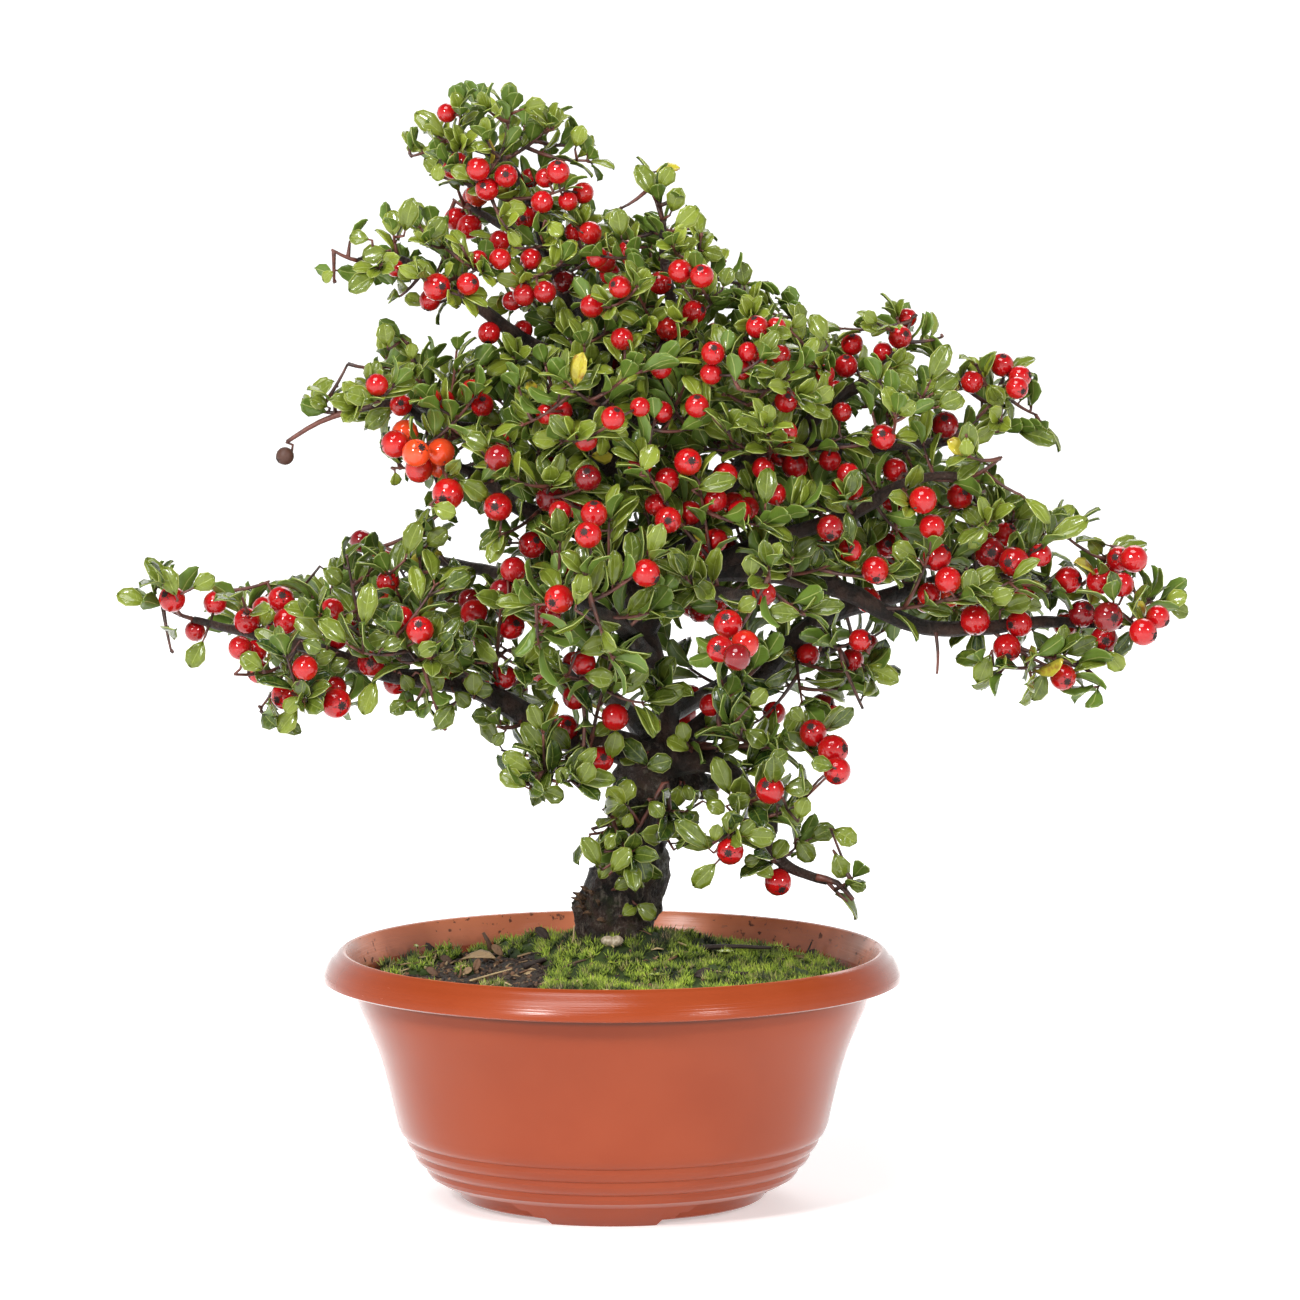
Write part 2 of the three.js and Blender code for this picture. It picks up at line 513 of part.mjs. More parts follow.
// A shoot's line: it leaves its parent level and turns up towards its tip
function shootLine(start, tip, steps) {
  const bend = start.clone().add(tip).multiplyScalar(0.5);
  bend.z -= SHOOT_SAG * start.distanceTo(tip);
  return new THREE.QuadraticBezierCurve3(start, bend, tip).getPoints(steps);
}

// Lines of all shoots of a spray, the spray's own twig first
function sprayShoots(spray) {
  const [branch, share, ...ends] = spray;
  const root = pointAlong(branchRoute(branch), share);
  const tips = ends.map(([x, y, z]) => new THREE.Vector3(x, y, z));
  const main = shootLine(root, tips[0], OWN_TWIG_STEPS);
  const others = tips.slice(1).map((tip, k) => {
    const fork = FIRST_FORK + (FORK_SPREAD * k) / Math.max(tips.length - 2, 1);
    return shootLine(pointAlong(main, fork), tip, SIDE_SHOOT_STEPS);
  });
  return [main, ...others];
}

// A leaf's place: it starts from a foot, turned round the shoot and leaning off it
function leafPlace(foot, along, turn, lean) {
  const aside = new THREE.Vector3(0, 0, 1).cross(along);
  if (aside.lengthSq() < 1e-3) aside.set(1, 0, 0);
  aside.normalize().applyAxisAngle(along, turn);
  const outward = along.clone().multiplyScalar(Math.cos(lean)).addScaledVector(aside, Math.sin(lean));
  const face = along.clone().multiplyScalar(Math.sin(lean)).addScaledVector(aside, -Math.cos(lean));
  face.add(new THREE.Vector3(0, 0, FACE_LIFT));
  face.addScaledVector(outward, -face.dot(outward)).normalize();
  const across = face.clone().cross(outward);
  return { foot, outward, across, face };
}

// Sections of a blade: widest past the middle, arched along its length, with a short bent-down tip
function bladeSections(place, size, extra) {
  return BLADE_SHAPE.map(([along, wide, lift]) => {
    const centre = place.foot.clone().addScaledVector(place.outward, along * LEAF_LENGTH * size);
    centre.addScaledVector(place.face, lift * LEAF_WIDTH * size);
    const half = wide > 0 ? wide * LEAF_WIDTH * size + extra : 0;
    return { centre, across: place.across, face: place.face, half, thick: LEAF_THICKNESS / 2 + extra };
  });
}

// Sections of a twig along a line, turned so that its corners run on into the leaf at its end
function twigSections(line, startHalf, face) {
  return line.map((centre, i) => {
    const before = line[Math.max(i - 1, 0)];
    const after = line[Math.min(i + 1, line.length - 1)];
    const along = after.clone().sub(before).normalize();
    const across = face.clone().cross(along).normalize();
    const half = startHalf + ((TWIG_TIP_HALF - startHalf) * i) / (line.length - 1);
    return { centre, across, face: along.clone().cross(across), half, thick: half };
  });
}

// A berry hanging from a point of a twig: a five-sided ball whose stalk reaches into the twig
function berrySolid(centre, twigPoint, extra) {
  const radius = BERRY_RADIUS + extra;
  const toTwig = twigPoint.clone().sub(centre);
  const widest = BERRY_MIDDLE_SHARE * radius;
  const stalkEnd = toTwig.length() + STALK_SINK;
  const profile = [[0, -0.95 * radius], [widest, -0.4 * radius], [widest, 0.45 * radius], [0, stalkEnd]];
  const turn = new THREE.Quaternion().setFromUnitVectors(new THREE.Vector3(0, 0, 1), toTwig.normalize());
  const ball = turned(profile, BERRY_SIDES).applyQuaternion(turn);
  return solidFrom(ball.translate(centre.x, centre.y, centre.z));
}

function boxesMeet(a, b) {
  return [0, 1, 2].every((i) => a.min[i] <= b.max[i] && b.min[i] <= a.max[i]);
}

function meets(solid, others) {
  const box = solid.boundingBox();
  return others.some((other) => {
    if (!boxesMeet(box, other.boundingBox())) return false;
    return !solid.intersect(other).isEmpty();
  });
}

// The berries of each spray: every listed berry goes to the shoot that passes nearest to it in the front
// view, and each spray at the back has one under its own twig
function berriesBySpray(shootsOf) {
  const result = new Map(Object.keys(shootsOf).map((name) => [name, []]));
  for (const [x, z] of BERRIES) {
    let best = null;
    for (const [name, shoots] of Object.entries(shootsOf)) {
      for (const shoot of shoots) {
        for (const share of SEARCH_SHARES) {
          const point = pointAlong(shoot, share);
          const apart = Math.hypot(point.x - x, point.z - z);
          const rank = apart + DEPTH_RANK * point.y;
          if (!best || rank < best.rank) best = { rank, apart, name, point };
        }
      }
    }
    if (best.apart > BERRY_SEARCH) continue;
    const hanging = new THREE.Vector3(x - best.point.x, -4, z - best.point.z);
    result.get(best.name).push({ point: best.point, hanging });
  }
  for (const [name, berries] of result) {
    if (!name.startsWith("back_")) continue;
    berries.push({ point: pointAlong(shootsOf[name][0], 0.6), hanging: new THREE.Vector3(0, 3, -6) });
  }
  return result;
}

// Where a berry hangs: clear of its twig, and no further off than its stalk reaches
function berryCentre(berry) {
  const reach = Math.min(Math.max(berry.hanging.length(), BERRY_RADIUS + 1), BERRY_RADIUS + STALK_LENGTH);
  return berry.point.clone().addScaledVector(berry.hanging.clone().normalize(), reach);
}

// The room that the twigs of a spray take up
function twigSpace(shoots) {
  const radii = (line) => line.map(() => CLEARANCE + 1.3 * OWN_TWIG_HALF);
  return joined(shoots.map((line) => solidFrom(taperedRod(line, radii(line), 5))));
}

// A leaf that finds room at a point of a shoot: its place and size, or null
function roomForLeaf(foot, along, firstLean, taken, own, random) {
  for (let attempt = 0; attempt < LEAF_ATTEMPTS; attempt += 1) {
    const place = leafPlace(foot, along, 2 * Math.PI * random(), firstLean + 0.25 * random());
    const size = 0.9 + 0.2 * random();
    const outer = solidFrom(sectionedRod(bladeSections(place, size, CLEARANCE)));
    if (!meets(outer, taken) && !meets(outer, own)) return { place, size, outer };
  }
  return null;
}

// A leaf at the side of a spray's own twig, in a list, or an empty list if it finds no room
function sideLeaf([start, middle], taken, own, random) {
  const foot = start.clone().lerp(middle, SIDE_LEAF_SHARE);
  const along = middle.clone().sub(start).normalize();
  const leaf = roomForLeaf(foot, along, SIDE_LEAF_LEAN, taken, own, random);
  if (!leaf) return [];
  const stalk = [foot, foot.clone().addScaledVector(leaf.place.outward, 2)];
  const sections = twigSections(stalk, SIDE_ROOT_HALF, leaf.place.face);
  return [solidFrom(sectionedRod([...sections, ...bladeSections(leaf.place, leaf.size, 0)]))];
}

// A spray: its twigs with a leaf at each end, its berries and, where it is thin, a leaf at the side, fused
function spraySolid(shoots, berries, neighbours, branchSpace, random) {
  const taken = [...neighbours, branchSpace];
  const own = [];
  const pieces = [];
  for (const berry of berries) {
    const centre = berryCentre(berry);
    if (meets(berrySolid(centre, berry.point, CLEARANCE), taken)) continue;
    pieces.push(berrySolid(centre, berry.point, 0));
    own.push(pieces.at(-1));
  }
  const twigs = twigSpace(shoots);
  for (const [index, line] of shoots.entries()) {
    const startHalf = index === 0 ? OWN_TWIG_HALF : SIDE_ROOT_HALF;
    const [before, end] = line.slice(-2);
    const along = end.clone().sub(before).normalize();
    const leaf = roomForLeaf(end, along, END_LEAF_LEAN, taken, [...own, twigs], random);
    const face = leaf ? leaf.place.face : leafPlace(end, along, 0, 0).face;
    const blade = leaf ? bladeSections(leaf.place, leaf.size, 0) : [];
    pieces.push(solidFrom(sectionedRod([...twigSections(line, startHalf, face), ...blade])));
    if (leaf) own.push(leaf.outer);
  }
  if (shoots.length + berries.length < FULL_SPRAY) {
    pieces.push(...sideLeaf(shoots[0], taken, [...own, twigs], random));
  }
  return largestBody(joined(pieces).subtract(branchSpace));
}

// Things fallen on the moss, lowered onto it from above
function settled(piece, ground) {
  let low = -SETTLE_RANGE;
  let high = SETTLE_RANGE;
  for (let step = 0; step < SETTLE_STEPS; step += 1) {
    const middle = (low + high) / 2;
    if (meets(piece.translate(0, 0, middle), ground)) low = middle;
    else high = middle;
  }
  return piece.translate(0, 0, high + CLEARANCE);
}

function stoneSolid() {
  const stone = new THREE.IcosahedronGeometry(1, 1).scale(3.8, 2.4, 2).rotateZ(-0.2);
  return solidFrom(stone.translate(0, -4, 84));
}

function fallenTwig() {
  const route = [[26, 8, 86], [38, 12, 84.5], [52, 10, 84]];
  const points = route.map(([x, y, z]) => new THREE.Vector3(x, y, z));
  return solidFrom(taperedRod(points, points.map(() => OWN_TWIG_HALF), 5));
}

function deadLeaf() {
  const place = leafPlace(new THREE.Vector3(-40, 18, 84), new THREE.Vector3(-0.8, 0.6, 0), 0, 0.1);
  const stalk = [place.foot.clone().addScaledVector(place.outward, -3), place.foot];
  const sections = twigSections(stalk, TWIG_TIP_HALF, place.face);
  return solidFrom(sectionedRod([...sections, ...bladeSections(place, 1, 0)]));
}

// Scene graph
const bonsai = new THREE.Group();

function addPiece(name, solid, finish) {
  const material = new THREE.MeshStandardMaterial({ metalness: 0, ...FINISHES[finish] });
  const mesh = new THREE.Mesh(geometryFrom(solid), material);
  mesh.name = name;
  bonsai.add(mesh);
}

const tree = joined(branchRods(0));
const treeSpace = joined(branchRods(CLEARANCE));
const soil = soilSolid(treeSpace);
const moss = mossSolid(treeSpace);
const ground = [soil, moss, treeSpace];
addPiece("pot", potSolid(), "pot");
addPiece("soil", soil, "soil");
addPiece("moss", moss, "moss");
addPiece("trunk_and_branches", tree, "bark");

addPiece("stone", settled(stoneSolid(), ground), "stone");
addPiece("fallen_twig", settled(fallenTwig(), ground), "litter");
addPiece("dead_leaf", settled(deadLeaf(), ground), "litter");

const shootsOf = Object.fromEntries(
  Object.entries(SPRAYS).map(([name, spray]) => [name, sprayShoots(spray)]),
);
const berriesOf = berriesBySpray(shootsOf);
const random = seededRandom(RANDOM_SEED);
const twigSpaces = new Map(
  Object.entries(shootsOf).map(([name, shoots]) => [name, twigSpace(shoots)]),
);
const finished = [];
for (const [name, shoots] of Object.entries(shootsOf)) {
  twigSpaces.delete(name);
  const neighbours = [...finished, ...twigSpaces.values()];
  const solid = spraySolid(shoots, berriesOf.get(name), neighbours, treeSpace, random);
  finished.push(solid);
  addPiece("spray_" + name, solid, "leaf");
}

export default bonsai;
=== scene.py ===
"""A cotoneaster bonsai in its round plastic bowl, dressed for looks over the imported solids."""

import math
import random

import bmesh
import bpy
import numpy as np
from bpy.props import FloatProperty, FloatVectorProperty, IntProperty
from mathutils import Matrix, Vector, noise


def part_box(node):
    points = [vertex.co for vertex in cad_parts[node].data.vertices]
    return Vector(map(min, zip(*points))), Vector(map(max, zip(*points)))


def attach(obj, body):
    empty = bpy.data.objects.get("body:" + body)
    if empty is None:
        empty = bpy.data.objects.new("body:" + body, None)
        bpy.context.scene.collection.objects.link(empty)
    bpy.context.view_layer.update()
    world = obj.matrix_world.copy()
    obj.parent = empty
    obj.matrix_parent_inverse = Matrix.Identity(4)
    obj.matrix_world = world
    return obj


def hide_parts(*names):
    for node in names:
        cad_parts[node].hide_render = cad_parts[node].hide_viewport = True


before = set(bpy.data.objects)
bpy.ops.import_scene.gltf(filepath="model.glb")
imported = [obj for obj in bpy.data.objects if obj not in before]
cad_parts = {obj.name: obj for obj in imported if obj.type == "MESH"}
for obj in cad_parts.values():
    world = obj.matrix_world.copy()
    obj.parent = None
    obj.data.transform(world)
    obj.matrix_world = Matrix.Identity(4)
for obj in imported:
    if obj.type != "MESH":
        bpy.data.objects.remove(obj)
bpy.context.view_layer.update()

bl_info = {
    "name": "Cotoneaster bonsai",
    "version": (1, 0, 0),
    "blender": (4, 5, 0),
    "location": "3D View > Sidebar > Bonsai",
    "description": "Builds the pot, soil, moss, wood, leaves and berries of a potted cotoneaster bonsai",
    "category": "Add Mesh",
}

MM = 0.001

# The photograph's camera: a square frame, seen a little from above
PHOTO_SIZE = 1300
PHOTO_MIDDLE = PHOTO_SIZE / 2
FOCAL_PIXELS = 6870
CAMERA_DISTANCE = 2.243
CAMERA_TILT = math.radians(6)
CAMERA_AIM = Vector((0.0123, 0, 0.1814))
SENSOR_WIDTH = 36
VIEW_AHEAD = Vector((0, math.cos(CAMERA_TILT), -math.sin(CAMERA_TILT)))
VIEW_UP = Vector((0, math.sin(CAMERA_TILT), math.cos(CAMERA_TILT)))
CAMERA_PLACE = CAMERA_AIM - CAMERA_DISTANCE * VIEW_AHEAD

# Trunk and branches in millimetres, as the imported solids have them: [x, y, z, radius]
BRANCHES = {
    "trunk": [
        [2, 16, 48, 5], [1.5, 16, 72, 8.5], [0.5, 15, 86, 12.6], [1.6, 14, 95, 13], [4.4, 14, 100.5, 12.8],
        [7.4, 13, 106.3, 11.2], [7.8, 12, 114.5, 9.6], [8.7, 11, 122, 9], [8.2, 10, 129, 9.5],
        [10.5, 8, 138, 10.2], [13, 6, 145, 8.8], [16.3, 5, 151.5, 5.4],
    ],
    "root_stump": [[2, 14, 91, 8], [-6, 12, 94, 6.4], [-10.5, 11, 98.5, 3.6]],
    "leader": [
        [14, 6, 143, 7], [16.5, 5, 152, 5.2], [16.6, 4, 165, 4.2], [9, 4, 191, 4], [2.6, 2, 211, 3.6],
        [-2.3, 0, 237, 3.3], [-3.9, 0, 263, 3], [-3, 1, 280, 2.8], [-12, 2, 286, 2.6], [-15.3, 2, 296, 2.4],
        [-21, 3, 312, 2.2], [-25, 3, 323.5, 2], [-29.4, 3, 333, 1.7], [-35, 3, 341, 1.4], [-48, 3, 346, 1.1],
    ],
    "left_arm": [
        [12, 6, 145, 6], [-0.7, 4, 150, 5.4], [-17, 0, 153.5, 4.8], [-36.6, -5, 165.5, 3.8],
        [-49.6, -8, 170.8, 3.1], [-75.7, -11, 175.4, 2.7], [-95.3, -12, 182.8, 2.2], [-118, -11, 188, 1.7],
        [-136, -10, 192.5, 1.1],
    ],
    "right_arm": [
        [10, 4, 188, 4.6], [22, 0, 206, 4.3], [35, -3, 208, 4.1], [56, -6, 207, 3.7], [77.4, -9, 201, 3.1],
        [88, -10, 195, 2.9], [102, -10, 189.8, 2.6], [121, -9, 189.6, 2.4], [141, -6, 191.3, 2],
        [166, -2, 189.5, 1.2],
    ],
    "right_rise": [
        [14, 7, 146, 5], [28.7, 10, 154, 4.4], [57, 18, 180, 3.7], [71, 22, 190.8, 3.4], [87.5, 24, 195.5, 3],
        [104, 22, 200.5, 2.7], [120, 20, 205, 2.4], [139.7, 18, 203, 2], [159, 14, 196.5, 1.1],
    ],
    "low_right": [
        [14, 5, 143, 6], [32.7, -2, 145.1, 4.1], [45, -8, 134.2, 3], [51.6, -10, 125.5, 2.5],
        [50.3, -11, 118.6, 2.2], [57, -12, 111.9, 1.9], [70, -14, 107, 1.2],
    ],
    "right_stub": [[13, 7, 139, 6], [24, 10, 137, 5], [33, 13, 134, 4]],
    "left_mid": [
        [1, 2, 216, 3.4], [-20, -5, 224.6, 3], [-31.7, -8, 229.8, 2.6], [-43, -11, 239, 1.8],
        [-55, -12, 244.5, 0.9],
    ],
    "left_high": [
        [-4, 0, 256, 2.9], [-17, -4, 252.5, 2.6], [-47, -12, 254.8, 2], [-61, -13, 258, 1.7],
        [-69, -13, 263, 1.5], [-86, -12, 260, 1],
    ],
    "upper_left": [
        [-4, 0, 272, 2.8], [-26.8, -6, 282, 2.4], [-43, -11, 294, 2], [-61, -14, 305.5, 1.6],
        [-69, -13, 309.7, 1.4], [-82, -12, 309, 1],
    ],
    "crown_right": [
        [-1.3, 0, 240.5, 2.9], [14, -5, 262.2, 2.5], [20.6, -7, 273.8, 2.3], [20.6, -8, 285.3, 2.1],
        [17, -10, 309.3, 1.5], [16.3, -10, 322, 1.1],
    ],
    "right_high": [
        [9, 4, 190, 4], [20.6, 2, 211, 3.6], [33.6, 0, 229, 3.2], [45, -5, 244.2, 2.9], [58, -9, 251.2, 2.6],
        [71, -12, 263, 2.2], [84, -13, 271.2, 1.7], [92, -13, 279, 1.2],
    ],
    "right_shelf": [
        [58, -9, 251, 2.2], [74.4, -6, 247.6, 2], [94, -2, 248.8, 1.8], [110.4, 2, 250, 1.5],
        [119, 4, 257, 1.1],
    ],
    "right_front": [
        [26, 0, 206, 3.4], [48.3, -10, 217, 3], [77.7, -20, 228, 2.3], [91, -20, 236, 1.9],
        [104, -20, 240, 1.5], [116, -19, 239.5, 1.1],
    ],
    "front_low": [[12, 3, 178, 3.4], [6, -20, 188, 2.8], [0, -42, 196, 2.2], [-6, -54, 200, 1.2]],
    "front_right": [[24, 0, 206, 3], [32, -24, 203, 2.5], [44, -46, 204, 1.6], [50, -54, 206, 1]],
    "front_high": [[-3, 0, 248, 2.6], [-6, -22, 257, 2.1], [-4, -40, 264, 1.3]],
    "back_left": [[10, 5, 185, 3.6], [-8, 28, 194, 3.2], [-32, 52, 200, 2.6], [-70, 74, 206, 1.1]],
    "back_right": [[3, 2, 208, 3.4], [24, 28, 216, 3], [48, 52, 221, 2.4], [82, 72, 226, 1.1]],
    "back_mid": [[-2, 1, 236, 3], [2, 26, 248, 2.6], [6, 50, 256, 2], [2, 64, 262, 1.2]],
    "back_low": [[13, 8, 150, 4], [2, 30, 160, 3.2], [-14, 54, 168, 2.4], [-28, 70, 172, 1.4]],
    "back_low_right": [[16, 5, 158, 3.4], [36, 32, 166, 2.9], [60, 54, 172, 2], [76, 62, 176, 1.1]],
    "back_high": [[-12, 2, 286, 2.3], [-10, 22, 297, 1.8], [-8, 36, 304, 1.1]],
    "back_top": [[-20, 3, 310, 2], [-34, 18, 318, 1.5], [-46, 30, 324, 0.9]],
    "back_right_high": [[33.6, 0, 229, 2.6], [44, 24, 244, 2.1], [62, 52, 258, 1]],
    "back_arm_left": [[-34, -4, 164.6, 2.6], [-58, 18, 174, 2.1], [-96, 40, 183, 1]],
    "back_arm_right": [[87.5, 24, 195.5, 2.3], [104, 44, 198, 1.8], [120, 54, 200, 1.1]],
    "back_left_high": [[-2.3, 1, 240, 2.4], [-18, 24, 244, 1.8], [-34, 42, 245, 1]],
    "back_high_left": [[-50, -12, 255.5, 1.9], [-60, 8, 259, 1.5], [-66, 20, 262, 1]],
    "back_crown": [[16, -6, 266, 2.2], [20, 12, 270, 1.6], [24, 24, 274, 1]],
}

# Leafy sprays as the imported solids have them: the branch, how far along it, then where the shoots end
SPRAYS = {
    "left_tip": ["left_arm", 1, [-149, -10, 199], [-144, -24, 205], [-142, 4, 203], [-143, -16, 183]],
    "left_outer_top": ["left_arm", 0.84, [-129, -4, 207], [-120, -22, 203], [-110, -2, 205]],
    "left_outer_low": [
        "left_arm", 0.78, [-114, -14, 164], [-122, -24, 176], [-100, -26, 168], [-88, -22, 166],
    ],
    "left_rise": ["left_arm", 0.62, [-86, -12, 213], [-102, -6, 205], [-94, -28, 195], [-76, -2, 211]],
    "left_rise_inner": ["left_arm", 0.5, [-63, -6, 219], [-72, -20, 208], [-53, -14, 211]],
    "left_front": [
        "left_arm", 0.46,
        [-69, -36, 190], [-68, -18, 160], [-54, -22, 158], [-56, -38, 184], [-80, -34, 184],
    ],
    "left_neck": ["left_arm", 0.33, [-44, -10, 204], [-36, -24, 198], [-50, -30, 184]],
    "left_foot": ["left_arm", 0.14, [-27, -20, 139.5], [-43, -10, 152], [-13, -28, 142]],
    "trunk_left": ["trunk", 0.72, [-3, -16, 131], [-10, -10, 122], [5, -20, 117]],
    "crossing_shoot": ["trunk", 0.86, [20, -18, 118], [24, -14, 130]],
    "low_level": ["leader", 0.05, [60, -14, 151], [69, -20, 157], [38, -20, 158]],
    "low_right_near": ["low_right", 0.42, [40, -26, 126], [52, -32, 140], [60, -28, 134]],
    "low_right_tip": ["low_right", 1, [79, -14, 99], [80, -20, 111], [64, -24, 103]],
    "right_under": ["right_rise", 0.36, [62, 4, 164], [82, -2, 175], [48, 2, 158], [76, 12, 168]],
    "arm_tip": ["right_arm", 1, [175, 2, 197], [173, -13, 189], [170, 9, 203]],
    "arm_top": ["right_rise", 0.95, [164, 2, 215], [158, -8, 206], [147, 10, 219]],
    "arm_rise": ["right_rise", 0.8, [131, 4, 226], [142, -2, 221], [119, 0, 217]],
    "arm_low": ["right_arm", 0.74, [148, -12, 175], [163, -8, 178], [136, -18, 173], [120, -18, 179]],
    "arm_front": ["right_arm", 0.52, [114, -26, 203], [102, -28, 215], [128, -26, 206]],
    "arm_inner_front": ["right_arm", 0.3, [72, -30, 213], [58, -36, 214], [88, -30, 209]],
    "shelf_tip": [
        "right_shelf", 1,
        [129, 0, 274], [106, -4, 276], [118, -8, 275], [138, 6, 258], [126, -10, 257],
    ],
    "front_tip": ["right_front", 1, [128, -18, 248], [132, -22, 234], [115, -30, 247]],
    "high_tip": ["right_high", 1, [98, -8, 293], [107, -6, 284], [86, -22, 289], [75, -10, 287]],
    "high_mid": ["right_high", 0.62, [61, -10, 287], [52, -18, 283], [68, -26, 275]],
    "high_front": ["right_high", 0.55, [74, -28, 253], [50, -30, 262], [90, -26, 253]],
    "crown_shoot": ["crown_right", 1, [12, -8, 337], [24, -14, 332], [3, -12, 326]],
    "crown_side": ["crown_right", 0.62, [36, -12, 309], [29, -18, 320], [50, -10, 302]],
    "crown_front": ["crown_right", 0.5, [8, -26, 300], [32, -26, 296]],
    "top_left": ["leader", 1, [-56, 6, 348], [-49, -5, 355], [-67, -2, 342]],
    "top_right": ["leader", 0.94, [-22, 0, 350], [-34, 8, 354], [-8, -5, 341], [-11, 9, 346]],
    "top_front": ["leader", 0.86, [-44, -17, 335], [-55, -12, 342], [-16, -18, 332], [-34, -20, 320]],
    "upper_left_tip": ["upper_left", 1, [-92, -16, 314], [-84, -6, 324], [-90, -6, 301]],
    "upper_left_rise": ["upper_left", 0.55, [-59, -12, 323], [-60, -30, 304], [-42, -24, 306]],
    "left_high_tip": ["left_high", 1, [-98, -8, 261], [-90, -18, 270], [-84, -2, 279]],
    "left_high_front": [
        "left_high", 0.5,
        [-65, -28, 250], [-66, -10, 282], [-50, -22, 280], [-52, -32, 238], [-44, -30, 266],
    ],
    "centre_top": ["front_high", 1, [-14, -48, 272], [6, -48, 275], [-28, -40, 258]],
    "centre_right": ["front_right", 0.5, [28, -42, 240], [10, -46, 246], [46, -42, 226]],
    "centre_left": ["left_mid", 0.45, [-20, -38, 238], [-36, -32, 222], [-6, -46, 240]],
    "centre_low": ["front_low", 1, [-8, -66, 212], [12, -62, 216], [-24, -58, 202], [0, -62, 186]],
    "front_right_tip": ["front_right", 1, [50, -66, 214], [60, -60, 200], [36, -62, 188]],
    "back_arm_left_tip": [
        "back_arm_left", 1, [-108, 48, 188], [-106, 38, 176], [-92, 54, 196], [-76, 44, 190],
    ],
    "back_arm_right_tip": ["back_arm_right", 1, [134, 60, 206], [120, 68, 192], [114, 56, 214]],
    "back_low_tip": ["back_low", 1, [-38, 82, 174], [-20, 84, 164], [-12, 74, 184]],
    "back_low_right_tip": ["back_low_right", 1, [90, 70, 180], [72, 74, 168], [62, 66, 188]],
    "back_left_tip": ["back_left", 1, [-84, 82, 212], [-70, 86, 196], [-56, 70, 222], [-84, 66, 220]],
    "back_right_tip": ["back_right", 1, [96, 78, 232], [84, 86, 216], [70, 66, 240]],
    "back_mid_tip": ["back_mid", 1, [-8, 76, 268], [14, 76, 270], [-2, 78, 250]],
    "back_high_tip": ["back_high", 1, [-10, 50, 310], [8, 44, 304], [-24, 42, 296]],
    "back_top_tip": ["back_top", 1, [-54, 42, 328], [-38, 40, 336], [-58, 28, 316]],
    "back_right_high_tip": ["back_right_high", 1, [74, 60, 264], [56, 64, 268], [66, 46, 272]],
    "back_left_high_tip": ["back_left_high", 1, [-48, 54, 250], [-38, 60, 238], [-30, 52, 258]],
    "back_high_left_tip": ["back_high_left", 1, [-76, 32, 268], [-62, 38, 256], [-74, 18, 276]],
    "back_crown_tip": ["back_crown", 1, [30, 36, 284], [38, 32, 266], [14, 36, 272]],
}

# Bare and nearly bare twigs seen in the photograph: pixel route, depth at both ends and radius at both
# ends in millimetres, and the share of the twig from which it bears leaves
SEEN_TWIGS = [
    [[(666, 781), (655, 800), (640, 825), (625, 846)], -8, -16, 0.9, 0.6, 0.8],
    [[(839, 649), (850, 680), (863, 709)], -6, -8, 0.9, 0.5, 2],
    [[(936, 634), (938, 655), (937, 674)], -12, -14, 0.7, 0.4, 0.7],
    [[(1050, 640), (1060, 660), (1085, 668), (1100, 682)], -8, -10, 1.1, 0.7, 2],
    [[(400, 403), (360, 409), (320, 422), (287, 442)], -12, -16, 1.3, 0.7, 2],
    [[(660, 262), (665, 240), (657, 195), (648, 175)], -10, -8, 1, 0.6, 0.2],
    [[(588, 690), (585, 720), (583, 755)], -14, -18, 0.8, 0.6, 0.5],
    [[(595, 762), (560, 762), (545, 770), (530, 788)], -6, -22, 1, 0.6, 0.3],
    [[(691, 748), (740, 746), (795, 749)], -2, -16, 1, 0.7, 0.5],
    [[(816, 877), (837, 883), (853, 900)], -14, -15, 1.3, 0.8, 2],
    [[(845, 865), (862, 872), (874, 884)], -14, -12, 0.9, 0.5, 0.6],
    [[(718, 712), (740, 685), (760, 665)], -8, -14, 0.9, 0.6, 0.3],
    [[(980, 572), (1015, 580), (1050, 590)], 0, -4, 2, 1.3, 0.4],
    [[(520, 725), (500, 727), (480, 716)], -8, -12, 0.9, 0.6, 0.4],
    [[(855, 660), (835, 690), (832, 705)], 30, 40, 0.7, 0.5, 2],
    [[(757, 455), (753, 420), (750, 390)], -12, -18, 0.9, 0.5, 0.3],
    [[(775, 380), (770, 355), (765, 330)], -6, -8, 0.8, 0.5, 0.2],
    [[(950, 440), (970, 425), (990, 405)], -4, -6, 0.9, 0.5, 0.2],
    [[(962, 428), (990, 432), (1020, 428)], 2, 0, 0.9, 0.5, 0.3],
    [[(900, 475), (945, 480), (990, 482)], -16, -18, 1, 0.6, 0.3],
    [[(590, 745), (600, 700), (612, 660)], -10, -26, 0.8, 0.5, 0.3],
    [[(592, 829), (605, 825), (615, 822)], -6, 0, 0.5, 0.8, 2],
    [[(722, 772), (744, 784), (766, 800)], 10, 2, 2.2, 1.1, 0.4],
]

